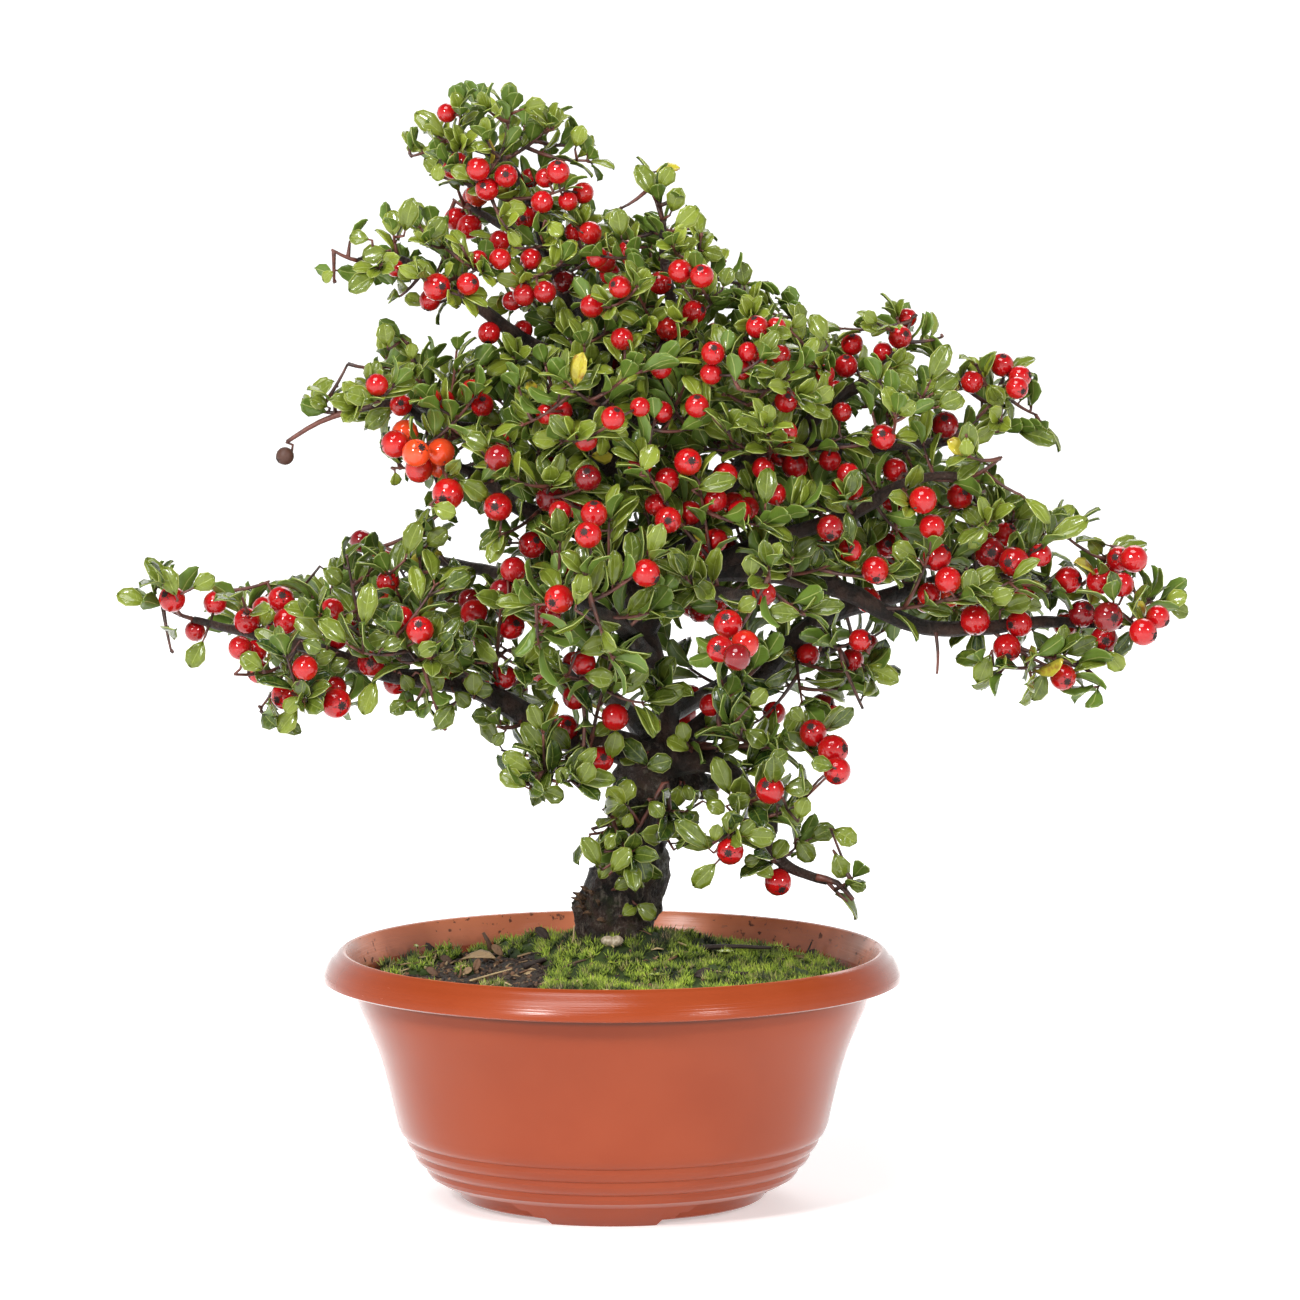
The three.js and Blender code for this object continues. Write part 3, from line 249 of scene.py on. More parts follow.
# Where the outermost leaves end in the photograph: pixel and depth in millimetres
OUTLINE_TIPS = [
    (117, 593, -10), (162, 566, -8), (215, 577, -6), (190, 667, -14), (260, 722, -18), (278, 733, -20),
    (295, 574, -6), (327, 568, -8), (345, 545, -8), (373, 541, -6), (425, 521, -8), (445, 530, -10),
    (472, 575, -12), (311, 400, -12), (345, 390, -10), (383, 323, -8), (415, 343, -10), (450, 340, -6),
    (347, 240, -12), (365, 212, -8), (410, 198, -10), (443, 220, -8), (349, 291, -12), (402, 147, 4),
    (407, 128, 2), (460, 81, -2), (485, 87, 4), (512, 86, 0), (544, 104, -2), (553, 112, 6), (582, 125, 0),
    (590, 140, -4), (607, 168, -2), (617, 210, -6), (637, 164, -8), (665, 168, -10), (697, 208, -12),
    (708, 228, -12), (722, 256, -10), (741, 263, -10), (765, 282, -10), (790, 292, -8), (805, 315, -10),
    (840, 322, -12), (867, 315, -10), (889, 301, -10), (936, 318, -8), (936, 335, -6), (948, 344, -6),
    (955, 374, -8), (967, 355, -2), (1040, 400, 4), (1056, 440, 2), (990, 462, -8), (1002, 485, -14),
    (1037, 500, -4), (1088, 515, 4), (1090, 540, -4), (1135, 546, 2), (1188, 605, 2), (1095, 703, -10),
    (1035, 703, -12), (996, 684, -14), (938, 674, -12), (898, 678, -12), (362, 715, -14), (398, 713, -16),
    (441, 727, -14), (493, 745, -14), (500, 770, -20), (505, 752, -18), (874, 884, -12), (330, 745, -20),
    (240, 690, -16), (1060, 655, -14), (1010, 700, -12), (870, 690, -4), (820, 640, -10),
]

# Masses of foliage as the photograph shows them: pixel, half width and half height in pixels, then the
# middle and half depth in millimetres
FOLIAGE = [
    (215, 612, 72, 34, -10, 18), (320, 638, 62, 66, -12, 26), (430, 625, 80, 82, -12, 34),
    (540, 610, 62, 75, -15, 45), (545, 745, 45, 42, -15, 16), (425, 420, 90, 75, -14, 26),
    (520, 440, 80, 88, -8, 42), (425, 268, 72, 48, -12, 24), (500, 152, 82, 58, 3, 28),
    (545, 252, 58, 55, 2, 32), (655, 282, 85, 58, -8, 34), (620, 400, 108, 100, -2, 58),
    (625, 550, 108, 90, -2, 62), (760, 390, 100, 90, -6, 52), (872, 400, 88, 75, -8, 34),
    (985, 412, 48, 44, 2, 20), (830, 510, 120, 60, 0, 52), (980, 535, 92, 52, 0, 34),
    (1100, 600, 75, 50, -2, 24), (985, 645, 70, 36, -8, 15), (780, 668, 80, 38, 5, 24),
    (745, 765, 72, 46, -12, 18), (790, 850, 62, 24, -15, 12), (640, 690, 50, 40, -18, 20),
]

# Edge of the crown in the photograph, read in pixels from the left tip round by the top
CROWN_EDGE = [
    (117, 593), (150, 592), (150, 575), (162, 565), (178, 580), (214, 576), (220, 590), (245, 594),
    (262, 590), (272, 584), (290, 582), (296, 573), (308, 580), (325, 592), (340, 592), (330, 578),
    (326, 567), (345, 566), (343, 546), (362, 552), (370, 540), (385, 548), (378, 560), (395, 560),
    (405, 535), (415, 522), (428, 520), (430, 533), (446, 530), (438, 545), (420, 555), (440, 570),
    (455, 572), (472, 572), (468, 590), (480, 592), (497, 575), (495, 560), (484, 545), (495, 528),
    (505, 522), (465, 519), (434, 513), (452, 508), (434, 502), (430, 485), (420, 480), (408, 474),
    (398, 484), (388, 477), (392, 462), (384, 447), (388, 430), (376, 434), (360, 427), (356, 416),
    (332, 420), (310, 433), (290, 442), (297, 458), (288, 466), (274, 456), (282, 442), (283, 434),
    (300, 424), (298, 417), (308, 412), (306, 398), (318, 387), (330, 388), (342, 393), (350, 382),
    (366, 372), (368, 363), (384, 366), (380, 350), (386, 342), (380, 323), (396, 325), (398, 342),
    (414, 343), (410, 356), (424, 354), (420, 342), (438, 352), (444, 362), (458, 358), (450, 342),
    (470, 336), (480, 330), (478, 322), (460, 318), (440, 321), (438, 311), (428, 316), (418, 306),
    (405, 302), (392, 299), (393, 286), (384, 277), (370, 279), (348, 291), (352, 276), (334, 276),
    (324, 283), (317, 268), (320, 260), (345, 262), (362, 260), (346, 246), (350, 229), (366, 226),
    (362, 212), (376, 216), (390, 206), (400, 212), (405, 199), (418, 197), (420, 212), (442, 216),
    (436, 226), (446, 222), (450, 236), (460, 240), (466, 250), (470, 230), (463, 206), (470, 194),
    (482, 198), (480, 215), (496, 214), (500, 204), (514, 196), (496, 198), (470, 192), (452, 186),
    (432, 183), (428, 166), (420, 156), (424, 146), (408, 147), (400, 145), (410, 132), (404, 128),
    (415, 117), (414, 110), (430, 99), (440, 95), (434, 86), (450, 81), (465, 79), (479, 88), (472, 98),
    (484, 99), (484, 85), (497, 92), (496, 101), (507, 101), (503, 87), (516, 85), (522, 97), (536, 95),
    (546, 105), (534, 110), (546, 114), (552, 104), (565, 108), (560, 121), (582, 124), (572, 137),
    (586, 140), (592, 152), (607, 165), (600, 170), (605, 178), (592, 186), (597, 205), (590, 212),
    (604, 224), (606, 236), (612, 232), (610, 215), (618, 207), (626, 213), (624, 232), (640, 220),
    (642, 205), (638, 198), (648, 194), (652, 204), (655, 198), (650, 180), (636, 164), (650, 166),
    (656, 176), (660, 167), (674, 168), (666, 180), (668, 190), (682, 188), (681, 200), (676, 212),
    (698, 206), (692, 220), (709, 228), (706, 243), (723, 256), (718, 263), (730, 268), (736, 259),
    (749, 265), (748, 279), (765, 280), (764, 290), (782, 291), (791, 296), (792, 305), (806, 316),
    (795, 326), (806, 334), (812, 344), (826, 344), (820, 330), (811, 314), (826, 324), (835, 323),
    (846, 322), (845, 334), (858, 330), (862, 314), (876, 317), (877, 328), (888, 318), (889, 301),
    (900, 307), (912, 314), (926, 317), (938, 320), (933, 325), (938, 334), (928, 340), (923, 352),
    (906, 357), (906, 364), (922, 374), (924, 358), (936, 346), (949, 343), (940, 360), (936, 374),
    (957, 374), (948, 384), (960, 384), (960, 374), (968, 368), (964, 354), (978, 361), (988, 356),
    (1001, 351), (1014, 360), (1030, 368), (1034, 386), (1042, 404), (1024, 402), (1017, 409), (1016, 419),
    (1040, 421), (1058, 440), (1040, 444), (1020, 433), (988, 431), (986, 442), (970, 457), (958, 448),
    (970, 459), (992, 461), (988, 474), (1004, 485), (994, 498), (1012, 501), (1039, 500), (1032, 513),
    (1046, 518), (1060, 512), (1090, 517), (1087, 530), (1064, 545), (1072, 558), (1086, 566), (1100, 563),
    (1106, 554), (1089, 539), (1106, 539), (1116, 547), (1136, 544), (1150, 558), (1144, 574), (1160, 581),
    (1162, 589), (1176, 587), (1186, 597), (1190, 613), (1174, 610), (1174, 622), (1162, 628), (1156, 641),
    (1140, 644), (1126, 640), (1118, 650), (1127, 666), (1120, 673), (1107, 657), (1092, 657), (1094, 668),
    (1102, 682), (1101, 702), (1084, 702), (1074, 694), (1058, 691), (1050, 688), (1035, 705), (1023, 695),
    (1027, 675), (1038, 667), (1020, 664), (1006, 670), (1000, 687), (978, 682), (976, 662), (982, 652),
    (956, 656), (974, 644), (950, 641), (940, 644), (939, 676), (932, 666), (936, 642), (905, 628),
    (896, 634), (882, 642), (887, 660), (900, 682), (872, 674), (870, 698), (852, 694), (868, 712),
    (861, 712), (848, 694), (843, 706), (843, 722), (830, 726), (821, 718), (820, 706), (795, 720),
    (806, 722), (824, 726), (830, 734), (849, 744), (848, 760), (841, 783), (824, 778), (812, 770),
    (806, 752), (788, 752), (788, 772), (810, 779), (802, 789), (790, 790), (810, 798), (812, 814),
    (804, 824), (820, 824), (836, 827), (857, 842), (845, 846), (850, 860), (864, 862), (875, 884),
    (862, 897), (850, 890), (855, 902), (851, 908), (835, 895), (800, 884), (792, 896), (772, 892),
    (754, 872), (742, 860), (738, 868), (724, 870), (701, 889), (691, 889), (694, 870), (712, 858),
    (680, 846), (674, 838), (668, 845), (660, 900), (662, 922), (640, 925), (618, 925), (600, 905),
    (600, 874), (580, 867), (574, 852), (580, 837), (600, 834), (604, 828), (605, 802), (590, 792),
    (576, 788), (562, 798), (552, 802), (538, 795), (505, 779), (498, 769), (512, 768), (516, 762),
    (502, 754), (526, 750), (520, 738), (512, 732), (494, 747), (491, 739), (503, 730), (484, 723),
    (472, 718), (474, 712), (498, 708), (490, 702), (470, 702), (455, 706), (450, 722), (441, 729),
    (431, 720), (436, 708), (420, 714), (410, 710), (396, 714), (389, 706), (402, 698), (390, 688),
    (378, 692), (374, 706), (362, 716), (352, 705), (346, 712), (335, 719), (321, 712), (316, 700),
    (306, 707), (300, 722), (288, 733), (277, 735), (276, 722), (260, 723), (270, 706), (272, 690),
    (268, 682), (248, 677), (246, 664), (250, 652), (215, 646), (206, 642), (190, 669), (194, 650),
    (202, 637), (190, 634), (174, 630), (160, 633), (163, 622), (176, 612), (165, 612), (148, 605),
]
# Where the white background shows through the crown: pixel, half width and half height
SEEN_THROUGH = [
    (862, 424, 30, 9), (905, 425, 12, 11), (708, 668, 9, 18), (793, 702, 11, 9), (700, 725, 8, 8),
    (662, 386, 11, 8), (467, 470, 9, 11), (654, 532, 8, 7), (550, 390, 8, 7), (588, 247, 7, 9),
    (545, 692, 14, 6), (512, 268, 8, 14), (690, 780, 14, 5), (672, 860, 8, 30), (797, 755, 10, 8),
    (560, 655, 9, 6), (498, 228, 12, 9), (700, 812, 10, 6), (742, 690, 8, 8), (880, 622, 12, 5),
]

# Leaves that stand clear in the photograph: pixels of foot and tip, and shade (0 dark to 1 light), painted into the
# leaf's colour as its tint
SEEN_LEAVES = [
    (602, 870, 584, 838, 0.5), (604, 852, 616, 834, 0.7), (609, 875, 629, 849, 0.6), (637, 850, 647, 882, 0.1),
    (612, 890, 629, 880, 0.5), (620, 917, 636, 905, 0.6), (634, 903, 656, 917, 0.5), (607, 829, 628, 806, 0.5),
    (616, 806, 633, 781, 0.8), (648, 799, 662, 816, 0.4), (658, 823, 680, 834, 0.6), (714, 853, 677, 821, 0.3),
    (719, 860, 693, 887, 0.5), (643, 768, 671, 760, 0.2), (692, 752, 668, 738, 0.7), (609, 763, 617, 733, 0.6),
    (592, 738, 610, 723, 0.6), (703, 801, 724, 811, 0.6), (726, 806, 749, 798, 0.4), (747, 799, 772, 805, 0.4),
    (780, 790, 811, 786, 0.4), (777, 804, 803, 821, 0.4), (798, 822, 806, 798, 0.6), (728, 838, 733, 811, 0.5),
    (713, 844, 718, 825, 0.6), (737, 838, 754, 822, 0.4), (740, 836, 774, 838, 0.5), (808, 840, 834, 827, 0.3),
    (830, 828, 856, 842, 0.6), (772, 862, 786, 840, 0.5), (796, 836, 812, 862, 0.4), (833, 850, 845, 878, 0.5),
    (846, 884, 866, 887, 0.3), (776, 880, 756, 863, 0.8), (763, 858, 744, 862, 0.4), (732, 800, 715, 758, 0.5),
    (766, 766, 787, 752, 0.3), (836, 768, 812, 762, 0.4), (812, 752, 784, 736, 0.2), (806, 724, 791, 708, 0.5),
    (748, 708, 766, 690, 0.5), (742, 728, 766, 745, 0.4), (704, 730, 722, 706, 0.3), (536, 773, 503, 754, 0.6),
    (530, 789, 500, 772, 0.6), (538, 789, 564, 798, 0.4), (553, 762, 522, 723, 0.4), (573, 752, 551, 729, 0.5),
    (578, 787, 591, 764, 0.5), (556, 786, 566, 768, 0.5), (500, 720, 473, 715, 0.2), (506, 730, 494, 745, 0.4),
    (456, 702, 437, 727, 0.3), (410, 700, 391, 712, 0.3), (328, 643, 294, 617, 0.6), (350, 646, 321, 620, 0.5),
    (363, 632, 370, 584, 0.6), (394, 636, 368, 643, 0.4), (377, 676, 363, 714, 0.8), (468, 674, 433, 653, 0.4),
    (474, 699, 473, 673, 0.6), (440, 641, 419, 654, 0.5), (520, 668, 548, 642, 0.7), (576, 654, 608, 641, 0.6),
    (580, 675, 613, 679, 0.5), (266, 672, 241, 655, 0.6), (261, 629, 271, 608, 0.8), (300, 694, 285, 712, 0.8),
    (320, 566, 342, 583, 0.4), (190, 590, 214, 577, 0.6), (178, 600, 163, 567, 0.5), (150, 605, 117, 593, 0.7),
    (205, 637, 190, 667, 0.5), (300, 705, 279, 732, 0.8), (405, 560, 418, 522, 0.5), (424, 548, 446, 530, 0.5),
    (440, 590, 470, 573, 0.2), (928, 386, 948, 345, 0.4), (929, 396, 957, 375, 0.4), (921, 396, 896, 375, 0.4),
    (935, 408, 961, 396, 0.4), (966, 434, 967, 456, 0.8), (1012, 430, 1056, 441, 0.3), (985, 382, 1002, 404, 0.8),
    (1043, 544, 1088, 518, 0.6), (1013, 522, 1038, 502, 0.5), (985, 528, 965, 508, 0.5), (992, 650, 978, 684, 0.6),
    (1047, 668, 1033, 701, 0.3), (1062, 656, 1098, 640, 0.3), (1106, 648, 1122, 671, 0.8), (1162, 604, 1186, 595, 0.8),
    (1166, 607, 1189, 613, 0.5), (862, 664, 898, 681, 0.7), (1104, 556, 1090, 540, 0.6), (404, 236, 412, 199, 0.5),
    (425, 243, 444, 218, 0.4), (390, 250, 362, 257, 0.5), (394, 240, 392, 210, 0.7), (372, 240, 349, 236, 0.5),
    (380, 272, 349, 290, 0.4), (335, 270, 322, 281, 0.8), (388, 350, 384, 324, 0.6), (412, 362, 412, 343, 0.7),
    (380, 402, 346, 392, 0.5), (330, 408, 311, 398, 0.5), (395, 405, 366, 427, 0.4), (395, 470, 396, 486, 0.8),
    (430, 505, 455, 514, 0.7), (455, 478, 488, 498, 0.5), (505, 425, 477, 412, 0.6), (492, 450, 467, 436, 0.4),
    (670, 215, 680, 189, 0.6), (655, 200, 638, 165, 0.5), (658, 190, 672, 168, 0.7), (672, 232, 697, 208, 0.7),
    (622, 240, 617, 209, 0.5), (700, 250, 722, 256, 0.6), (745, 290, 741, 262, 0.4), (722, 290, 730, 268, 0.4),
    (790, 330, 805, 316, 0.5), (828, 345, 812, 315, 0.6), (640, 475, 655, 445, 0.9), (692, 490, 735, 478, 0.4),
    (765, 510, 768, 468, 0.4), (722, 395, 742, 378, 0.4), (560, 390, 600, 375, 0.3), (575, 610, 585, 572, 0.7),
    (790, 560, 815, 540, 0.3), (750, 580, 752, 555, 0.5), (690, 575, 712, 600, 0.4), (735, 612, 755, 600, 0.5),
    (805, 615, 768, 612, 0.4), (870, 545, 848, 530, 0.5), (920, 560, 893, 545, 0.6), (968, 600, 972, 570, 0.4),
    (1018, 590, 992, 600, 0.6), (1000, 610, 1030, 600, 0.5), (520, 110, 544, 104, 0.6), (450, 140, 415, 112, 0.7),
    (652, 768, 623, 740, 0.1), (688, 745, 681, 723, 0.6), (724, 750, 735, 773, 0.3), (681, 782, 673, 807, 0.6),
    (684, 782, 691, 800, 0.5), (632, 811, 625, 827, 0.8), (628, 806, 608, 789, 0.9), (681, 811, 699, 822, 0.5),
    (640, 764, 620, 756, 0.4), (648, 752, 634, 768, 0.5), (700, 790, 718, 800, 0.4), (716, 752, 738, 742, 0.4),
    (394, 664, 375, 650, 0.3), (400, 672, 412, 690, 0.5), (352, 660, 330, 668, 0.4), (339, 652, 315, 660, 0.5),
    (416, 672, 440, 684, 0.4), (446, 668, 428, 690, 0.5), (380, 650, 402, 640, 0.4), (300, 640, 320, 650, 0.3),
    (452, 690, 470, 706, 0.4), (436, 664, 456, 650, 0.6), (372, 660, 350, 640, 0.2), (470, 690, 492, 690, 0.3),
    (553, 130, 558, 107, 0.7), (575, 150, 582, 126, 0.8), (440, 160, 437, 181, 0.8), (545, 220, 562, 235, 0.9),
]

# Masses of foliage at the back, guessed: middle, then half sizes, in millimetres
BACK_FOLIAGE = [
    (-76, 66, 198, 38, 26, 24), (82, 68, 226, 34, 26, 28), (2, 62, 258, 32, 24, 28),
    (-24, 70, 176, 34, 22, 24), (66, 62, 184, 34, 22, 22), (-8, 40, 298, 26, 22, 26),
    (-42, 30, 326, 24, 18, 20), (62, 50, 254, 30, 22, 24), (-92, 42, 186, 32, 22, 20),
    (114, 54, 202, 32, 22, 22), (20, 44, 210, 46, 30, 34), (-36, 34, 248, 34, 26, 24),
    (-60, 14, 262, 22, 20, 16), (26, 26, 280, 26, 20, 20),
]

# Berries read one by one: pixel, radius in pixels, offset of the calyx in pixels or None, ripeness
# (0 deep crimson, 0.5 red, 1 orange) and 1 where leaves partly hide it
# The low end of the ripeness column is painted shade as well: 0 takes the deep red of berries in shade.
BERRIES = [
    (172, 599, 13.5, (-7, -5), 0.5, 0), (215, 603, 12, None, 0.4, 1), (247, 621, 13.5, (0, -9), 0.4, 0),
    (195, 631, 10.5, None, 0.3, 1), (281, 600, 14, (2, -5), 0.5, 0), (264, 608, 12, None, 0.5, 1),
    (286, 621, 13, None, 0.5, 0), (240, 648, 12, None, 0.4, 1), (255, 652, 12, None, 0.5, 1),
    (259, 672, 12, (-10, 2), 0.6, 1), (305, 668, 13, None, 0.6, 0), (285, 696, 14, (-8, 4), 0.5, 0),
    (336, 703, 15.5, (7, 3), 0.5, 0), (335, 688, 12, None, 0.5, 1), (332, 610, 12, None, 0.4, 1),
    (337, 638, 12, None, 0.3, 1), (347, 630, 12, None, 0.3, 1), (371, 663, 14, (0, 0), 0.3, 0),
    (388, 582, 12, None, 0.4, 1), (402, 618, 12, None, 0.4, 1), (420, 630, 14, (-1, -6), 0.5, 0),
    (470, 600, 12, None, 0.1, 1), (474, 613, 14, None, 0.4, 0), (502, 592, 13, None, 0.1, 1),
    (513, 570, 13, None, 0.3, 1), (532, 545, 14, (5, -5), 0.4, 0), (511, 626, 14, (6, -3), 0.5, 0),
    (483, 638, 12, None, 0.4, 1), (440, 668, 13, None, 0.4, 1), (504, 677, 13, None, 0.4, 1),
    (395, 683, 12, None, 0.4, 1), (559, 599, 14.5, (-7, 4), 0.6, 0), (549, 615, 12, None, 0.1, 1),
    (564, 563, 12, None, 0.4, 1), (377, 385, 11.5, (-10, -8), 0.5, 0), (401, 405, 11.5, None, 0.6, 0),
    (395, 444, 14, None, 0.6, 0), (405, 433, 13.5, None, 1, 1), (416, 453, 14, None, 1, 0),
    (441, 452, 14, None, 1, 0), (441, 465, 13.5, None, 0.9, 1), (419, 469, 14, None, 0.65, 0),
    (448, 494, 16, (-5, 6), 0.6, 0), (498, 507, 14.5, (-3, 0), 0.4, 0), (472, 390, 11, None, 0.4, 1),
    (482, 405, 12, (1, -6), 0.5, 0), (430, 397, 10, None, 0.4, 1), (445, 400, 10, None, 0.4, 1),
    (505, 437, 11.5, None, 0.3, 1), (498, 458, 13.5, None, 0.2, 0), (489, 333, 11.5, (-1, 10), 0.5, 0),
    (430, 300, 11, (-5, 13), 0.4, 0), (447, 113, 10, None, 0.5, 1), (452, 169, 10, None, 0.5, 1),
    (458, 162, 10, None, 0.4, 1), (478, 169, 12, (-12, -3), 0.5, 0), (487, 189, 12, (-4, -3), 0.5, 0),
    (506, 176, 12, (0, -1), 0.4, 0), (530, 178, 10, None, 0.5, 1), (545, 178, 10, None, 0.4, 1),
    (558, 172, 12, (0, -9), 0.5, 0), (542, 202, 11.5, None, 0.5, 0), (525, 217, 12, (-2, 2), 0.5, 0),
    (568, 201, 10, None, 0.5, 1), (583, 193, 11, None, 0.6, 1), (590, 233, 12, None, 0.6, 0),
    (574, 232, 10, None, 0.5, 1), (500, 241, 11, None, 0.4, 0), (500, 259, 11, None, 0.4, 0),
    (531, 259, 11, None, 0.4, 0), (478, 260, 10, None, 0.4, 1), (395, 268, 9, None, 0.4, 1),
    (437, 287, 14, (6, 0), 0.5, 0), (468, 284, 11.5, (7, -2), 0.5, 0), (524, 295, 11.5, None, 0.3, 0),
    (512, 301, 10, None, 0.3, 1), (545, 292, 11.5, None, 0.3, 0), (564, 282, 11.5, None, 0.1, 0),
    (597, 257, 11, None, 0.5, 1), (605, 262, 11, None, 0.6, 1), (592, 306, 12, None, 0.4, 0),
    (620, 287, 11.5, None, 0.5, 0), (610, 274, 11, None, 0.5, 1), (628, 250, 10, None, 0.6, 1),
    (632, 258, 10, None, 0.6, 1), (660, 283, 12, None, 0.5, 0), (680, 271, 12, None, 0.4, 0),
    (702, 276, 12, None, 0.5, 0), (694, 312, 12, (9, -2), 0.5, 0), (523, 330, 10, None, 0.4, 1),
    (668, 329, 12, None, 0.6, 0), (680, 327, 11, None, 0.5, 1), (622, 339, 11.5, None, 0.4, 0),
    (713, 353, 12, (1, -5), 0.5, 0), (661, 368, 11, None, 0.4, 1), (711, 374, 11, None, 0.4, 1),
    (547, 414, 11, None, 0.4, 1), (562, 411, 11, None, 0.4, 1), (613, 418, 12, None, 0.5, 0),
    (640, 407, 10, None, 0.4, 1), (662, 412, 11, None, 0.4, 1), (697, 406, 12, (0, -9), 0.5, 0),
    (586, 440, 11.5, None, 0.4, 1), (688, 462, 14, (4, -1), 0.5, 0), (640, 465, 12.5, None, 0.5, 1),
    (588, 478, 13.5, (-1, -7), 0.1, 0), (550, 498, 14.5, None, 0.1, 0), (667, 480, 12.5, None, 0.4, 1),
    (656, 505, 11.5, None, 0.4, 1), (668, 520, 13.5, (0, 1), 0.5, 0), (560, 512, 11.5, None, 0.3, 1),
    (575, 507, 11.5, None, 0.3, 1), (594, 514, 13.5, (0, -11), 0.5, 0), (588, 535, 13.5, (-4, -3), 0.5, 0),
    (690, 513, 12.5, None, 0.4, 1), (715, 500, 12.5, None, 0.4, 1), (646, 573, 14, (11, 7), 0.5, 0),
    (716, 540, 12, None, 0.4, 1), (708, 550, 12, None, 0.4, 1), (740, 512, 12.5, None, 0.4, 1),
    (583, 663, 13, None, 0.5, 1), (575, 697, 13, None, 0.4, 1), (565, 728, 14, None, 0.4, 0),
    (615, 717, 14, None, 0.5, 0), (600, 759, 14, (4, -2), 0.5, 0), (690, 697, 13, None, 0.3, 1),
    (685, 714, 12, None, 0.3, 1), (711, 705, 12, None, 0.4, 1), (757, 327, 11.5, None, 0.5, 0),
    (776, 327, 10, None, 0.5, 1), (748, 352, 10, None, 0.4, 1), (757, 360, 10, None, 0.4, 1),
    (742, 370, 10, None, 0.4, 1), (781, 355, 10, None, 0.4, 1), (786, 401, 12, (2, -5), 0.4, 0),
    (852, 344, 11.5, (0, -9), 0.5, 0), (846, 366, 12, (0, -9), 0.5, 0), (900, 337, 12, (6, -3), 0.4, 0),
    (907, 318, 10, None, 0.4, 1), (883, 352, 10, None, 0.5, 1), (825, 374, 10, None, 0.5, 1),
    (835, 390, 10, None, 0.4, 1), (842, 412, 10, None, 0.4, 1), (786, 432, 11.5, None, 0.4, 1),
    (883, 437, 13, None, 0.5, 0), (795, 466, 13.5, (0, -9), 0.4, 0), (781, 455, 11.5, None, 0.4, 1),
    (800, 453, 11.5, None, 0.4, 1), (763, 468, 11.5, None, 0.4, 1), (725, 475, 12.5, None, 0.5, 1),
    (830, 460, 11.5, None, 0.4, 1), (895, 470, 12.5, None, 0.5, 1), (848, 474, 11.5, None, 0.4, 1),
    (852, 489, 11.5, None, 0.4, 1), (842, 487, 11.5, None, 0.4, 1), (775, 494, 11.5, None, 0.4, 1),
    (733, 503, 11.5, None, 0.4, 1), (748, 508, 11.5, None, 0.4, 1), (893, 500, 12.5, None, 0.4, 1),
    (945, 425, 14, (-1, -7), 0.2, 0), (972, 382, 11.5, (-10, -7), 0.4, 0),
    (1002, 365, 12, (1, -9), 0.5, 0), (1020, 377, 11.5, (10, -2), 0.5, 0),
    (1017, 388, 11.5, (6, 4), 0.5, 0), (923, 500, 14, None, 0.5, 0), (960, 496, 13.5, (5, -4), 0.5, 0),
    (932, 527, 13, None, 0.5, 0), (830, 528, 13.5, (0, 9), 0.2, 0), (850, 550, 12, None, 0.4, 1),
    (875, 570, 14, (1, 10), 0.5, 0), (888, 545, 13.5, (0, -1), 0.2, 0), (937, 557, 14.5, (10, -9), 0.4, 0),
    (948, 580, 13.5, None, 0.5, 0), (990, 553, 16, (1, 0), 0.2, 0), (1014, 562, 15.5, (-7, 1), 0.3, 0),
    (1005, 535, 13, (7, -8), 0.5, 0), (990, 540, 12, None, 0.5, 1), (1040, 555, 12, None, 0.5, 1),
    (1024, 590, 13, None, 0.1, 1), (929, 594, 12, None, 0.4, 1), (868, 600, 13, None, 0.5, 1),
    (860, 640, 11.5, None, 0.5, 0), (1068, 580, 14, (12, 0), 0.4, 0), (1100, 581, 14, None, 0.4, 0),
    (1108, 575, 12.5, None, 0.4, 1), (1119, 559, 13, (-5, -2), 0.4, 0), (1134, 559, 14, None, 0.5, 0),
    (1122, 585, 12.5, None, 0.4, 1), (1082, 614, 14, (6, -7), 0.1, 0), (1108, 617, 15.5, (6, 1), 0.1, 0),
    (1158, 617, 12, (9, 6), 0.5, 0), (1143, 632, 14, (12, 4), 0.5, 0), (1104, 640, 14.5, (1, 1), 0.3, 0),
    (975, 620, 15.5, None, 0.5, 0), (1019, 624, 13.5, None, 0.5, 0), (1065, 625, 12.5, None, 0.4, 1),
    (1007, 648, 14.5, (0, 9), 0.4, 0), (1063, 677, 13.5, (4, 5), 0.4, 0), (852, 660, 12, None, 0.4, 1),
    (728, 624, 14.5, (-3, -7), 0.5, 0), (745, 644, 14, None, 0.65, 0), (720, 649, 13.5, (-3, -1), 0.4, 0),
    (737, 657, 13.5, None, 0.1, 0), (764, 594, 12, None, 0.4, 1), (808, 655, 12, None, 0.5, 1),
    (774, 713, 12, None, 0.3, 1), (813, 733, 14, (-3, -7), 0.4, 0), (833, 750, 15.5, (12, -2), 0.5, 0),
    (837, 771, 14, (-1, 9), 0.5, 0), (770, 790, 14.5, (-5, -6), 0.4, 0), (730, 851, 14, (-2, 2), 0.5, 0),
    (778, 882, 14, (4, 8), 0.5, 0),
]
FAR_BERRIES = [(832, 713, 40, 9)]
DRIED_BERRIES = [(285, 456, -16, 9)]

# Measures of the plant, in millimetres
SOIL_EDGE_HEIGHT = 71.5
SOIL_MOUND = 11
SOIL_MOUND_REACH = 36
TRUNK_FOOT = (1.5, 15.5)
SHOOT_SAG = 0.12
TWIG_ROOT_RADIUS = 0.8
TWIG_TIP_RADIUS = 0.4
CROWN_MIDDLE = Vector((0, 0, 215)) * MM


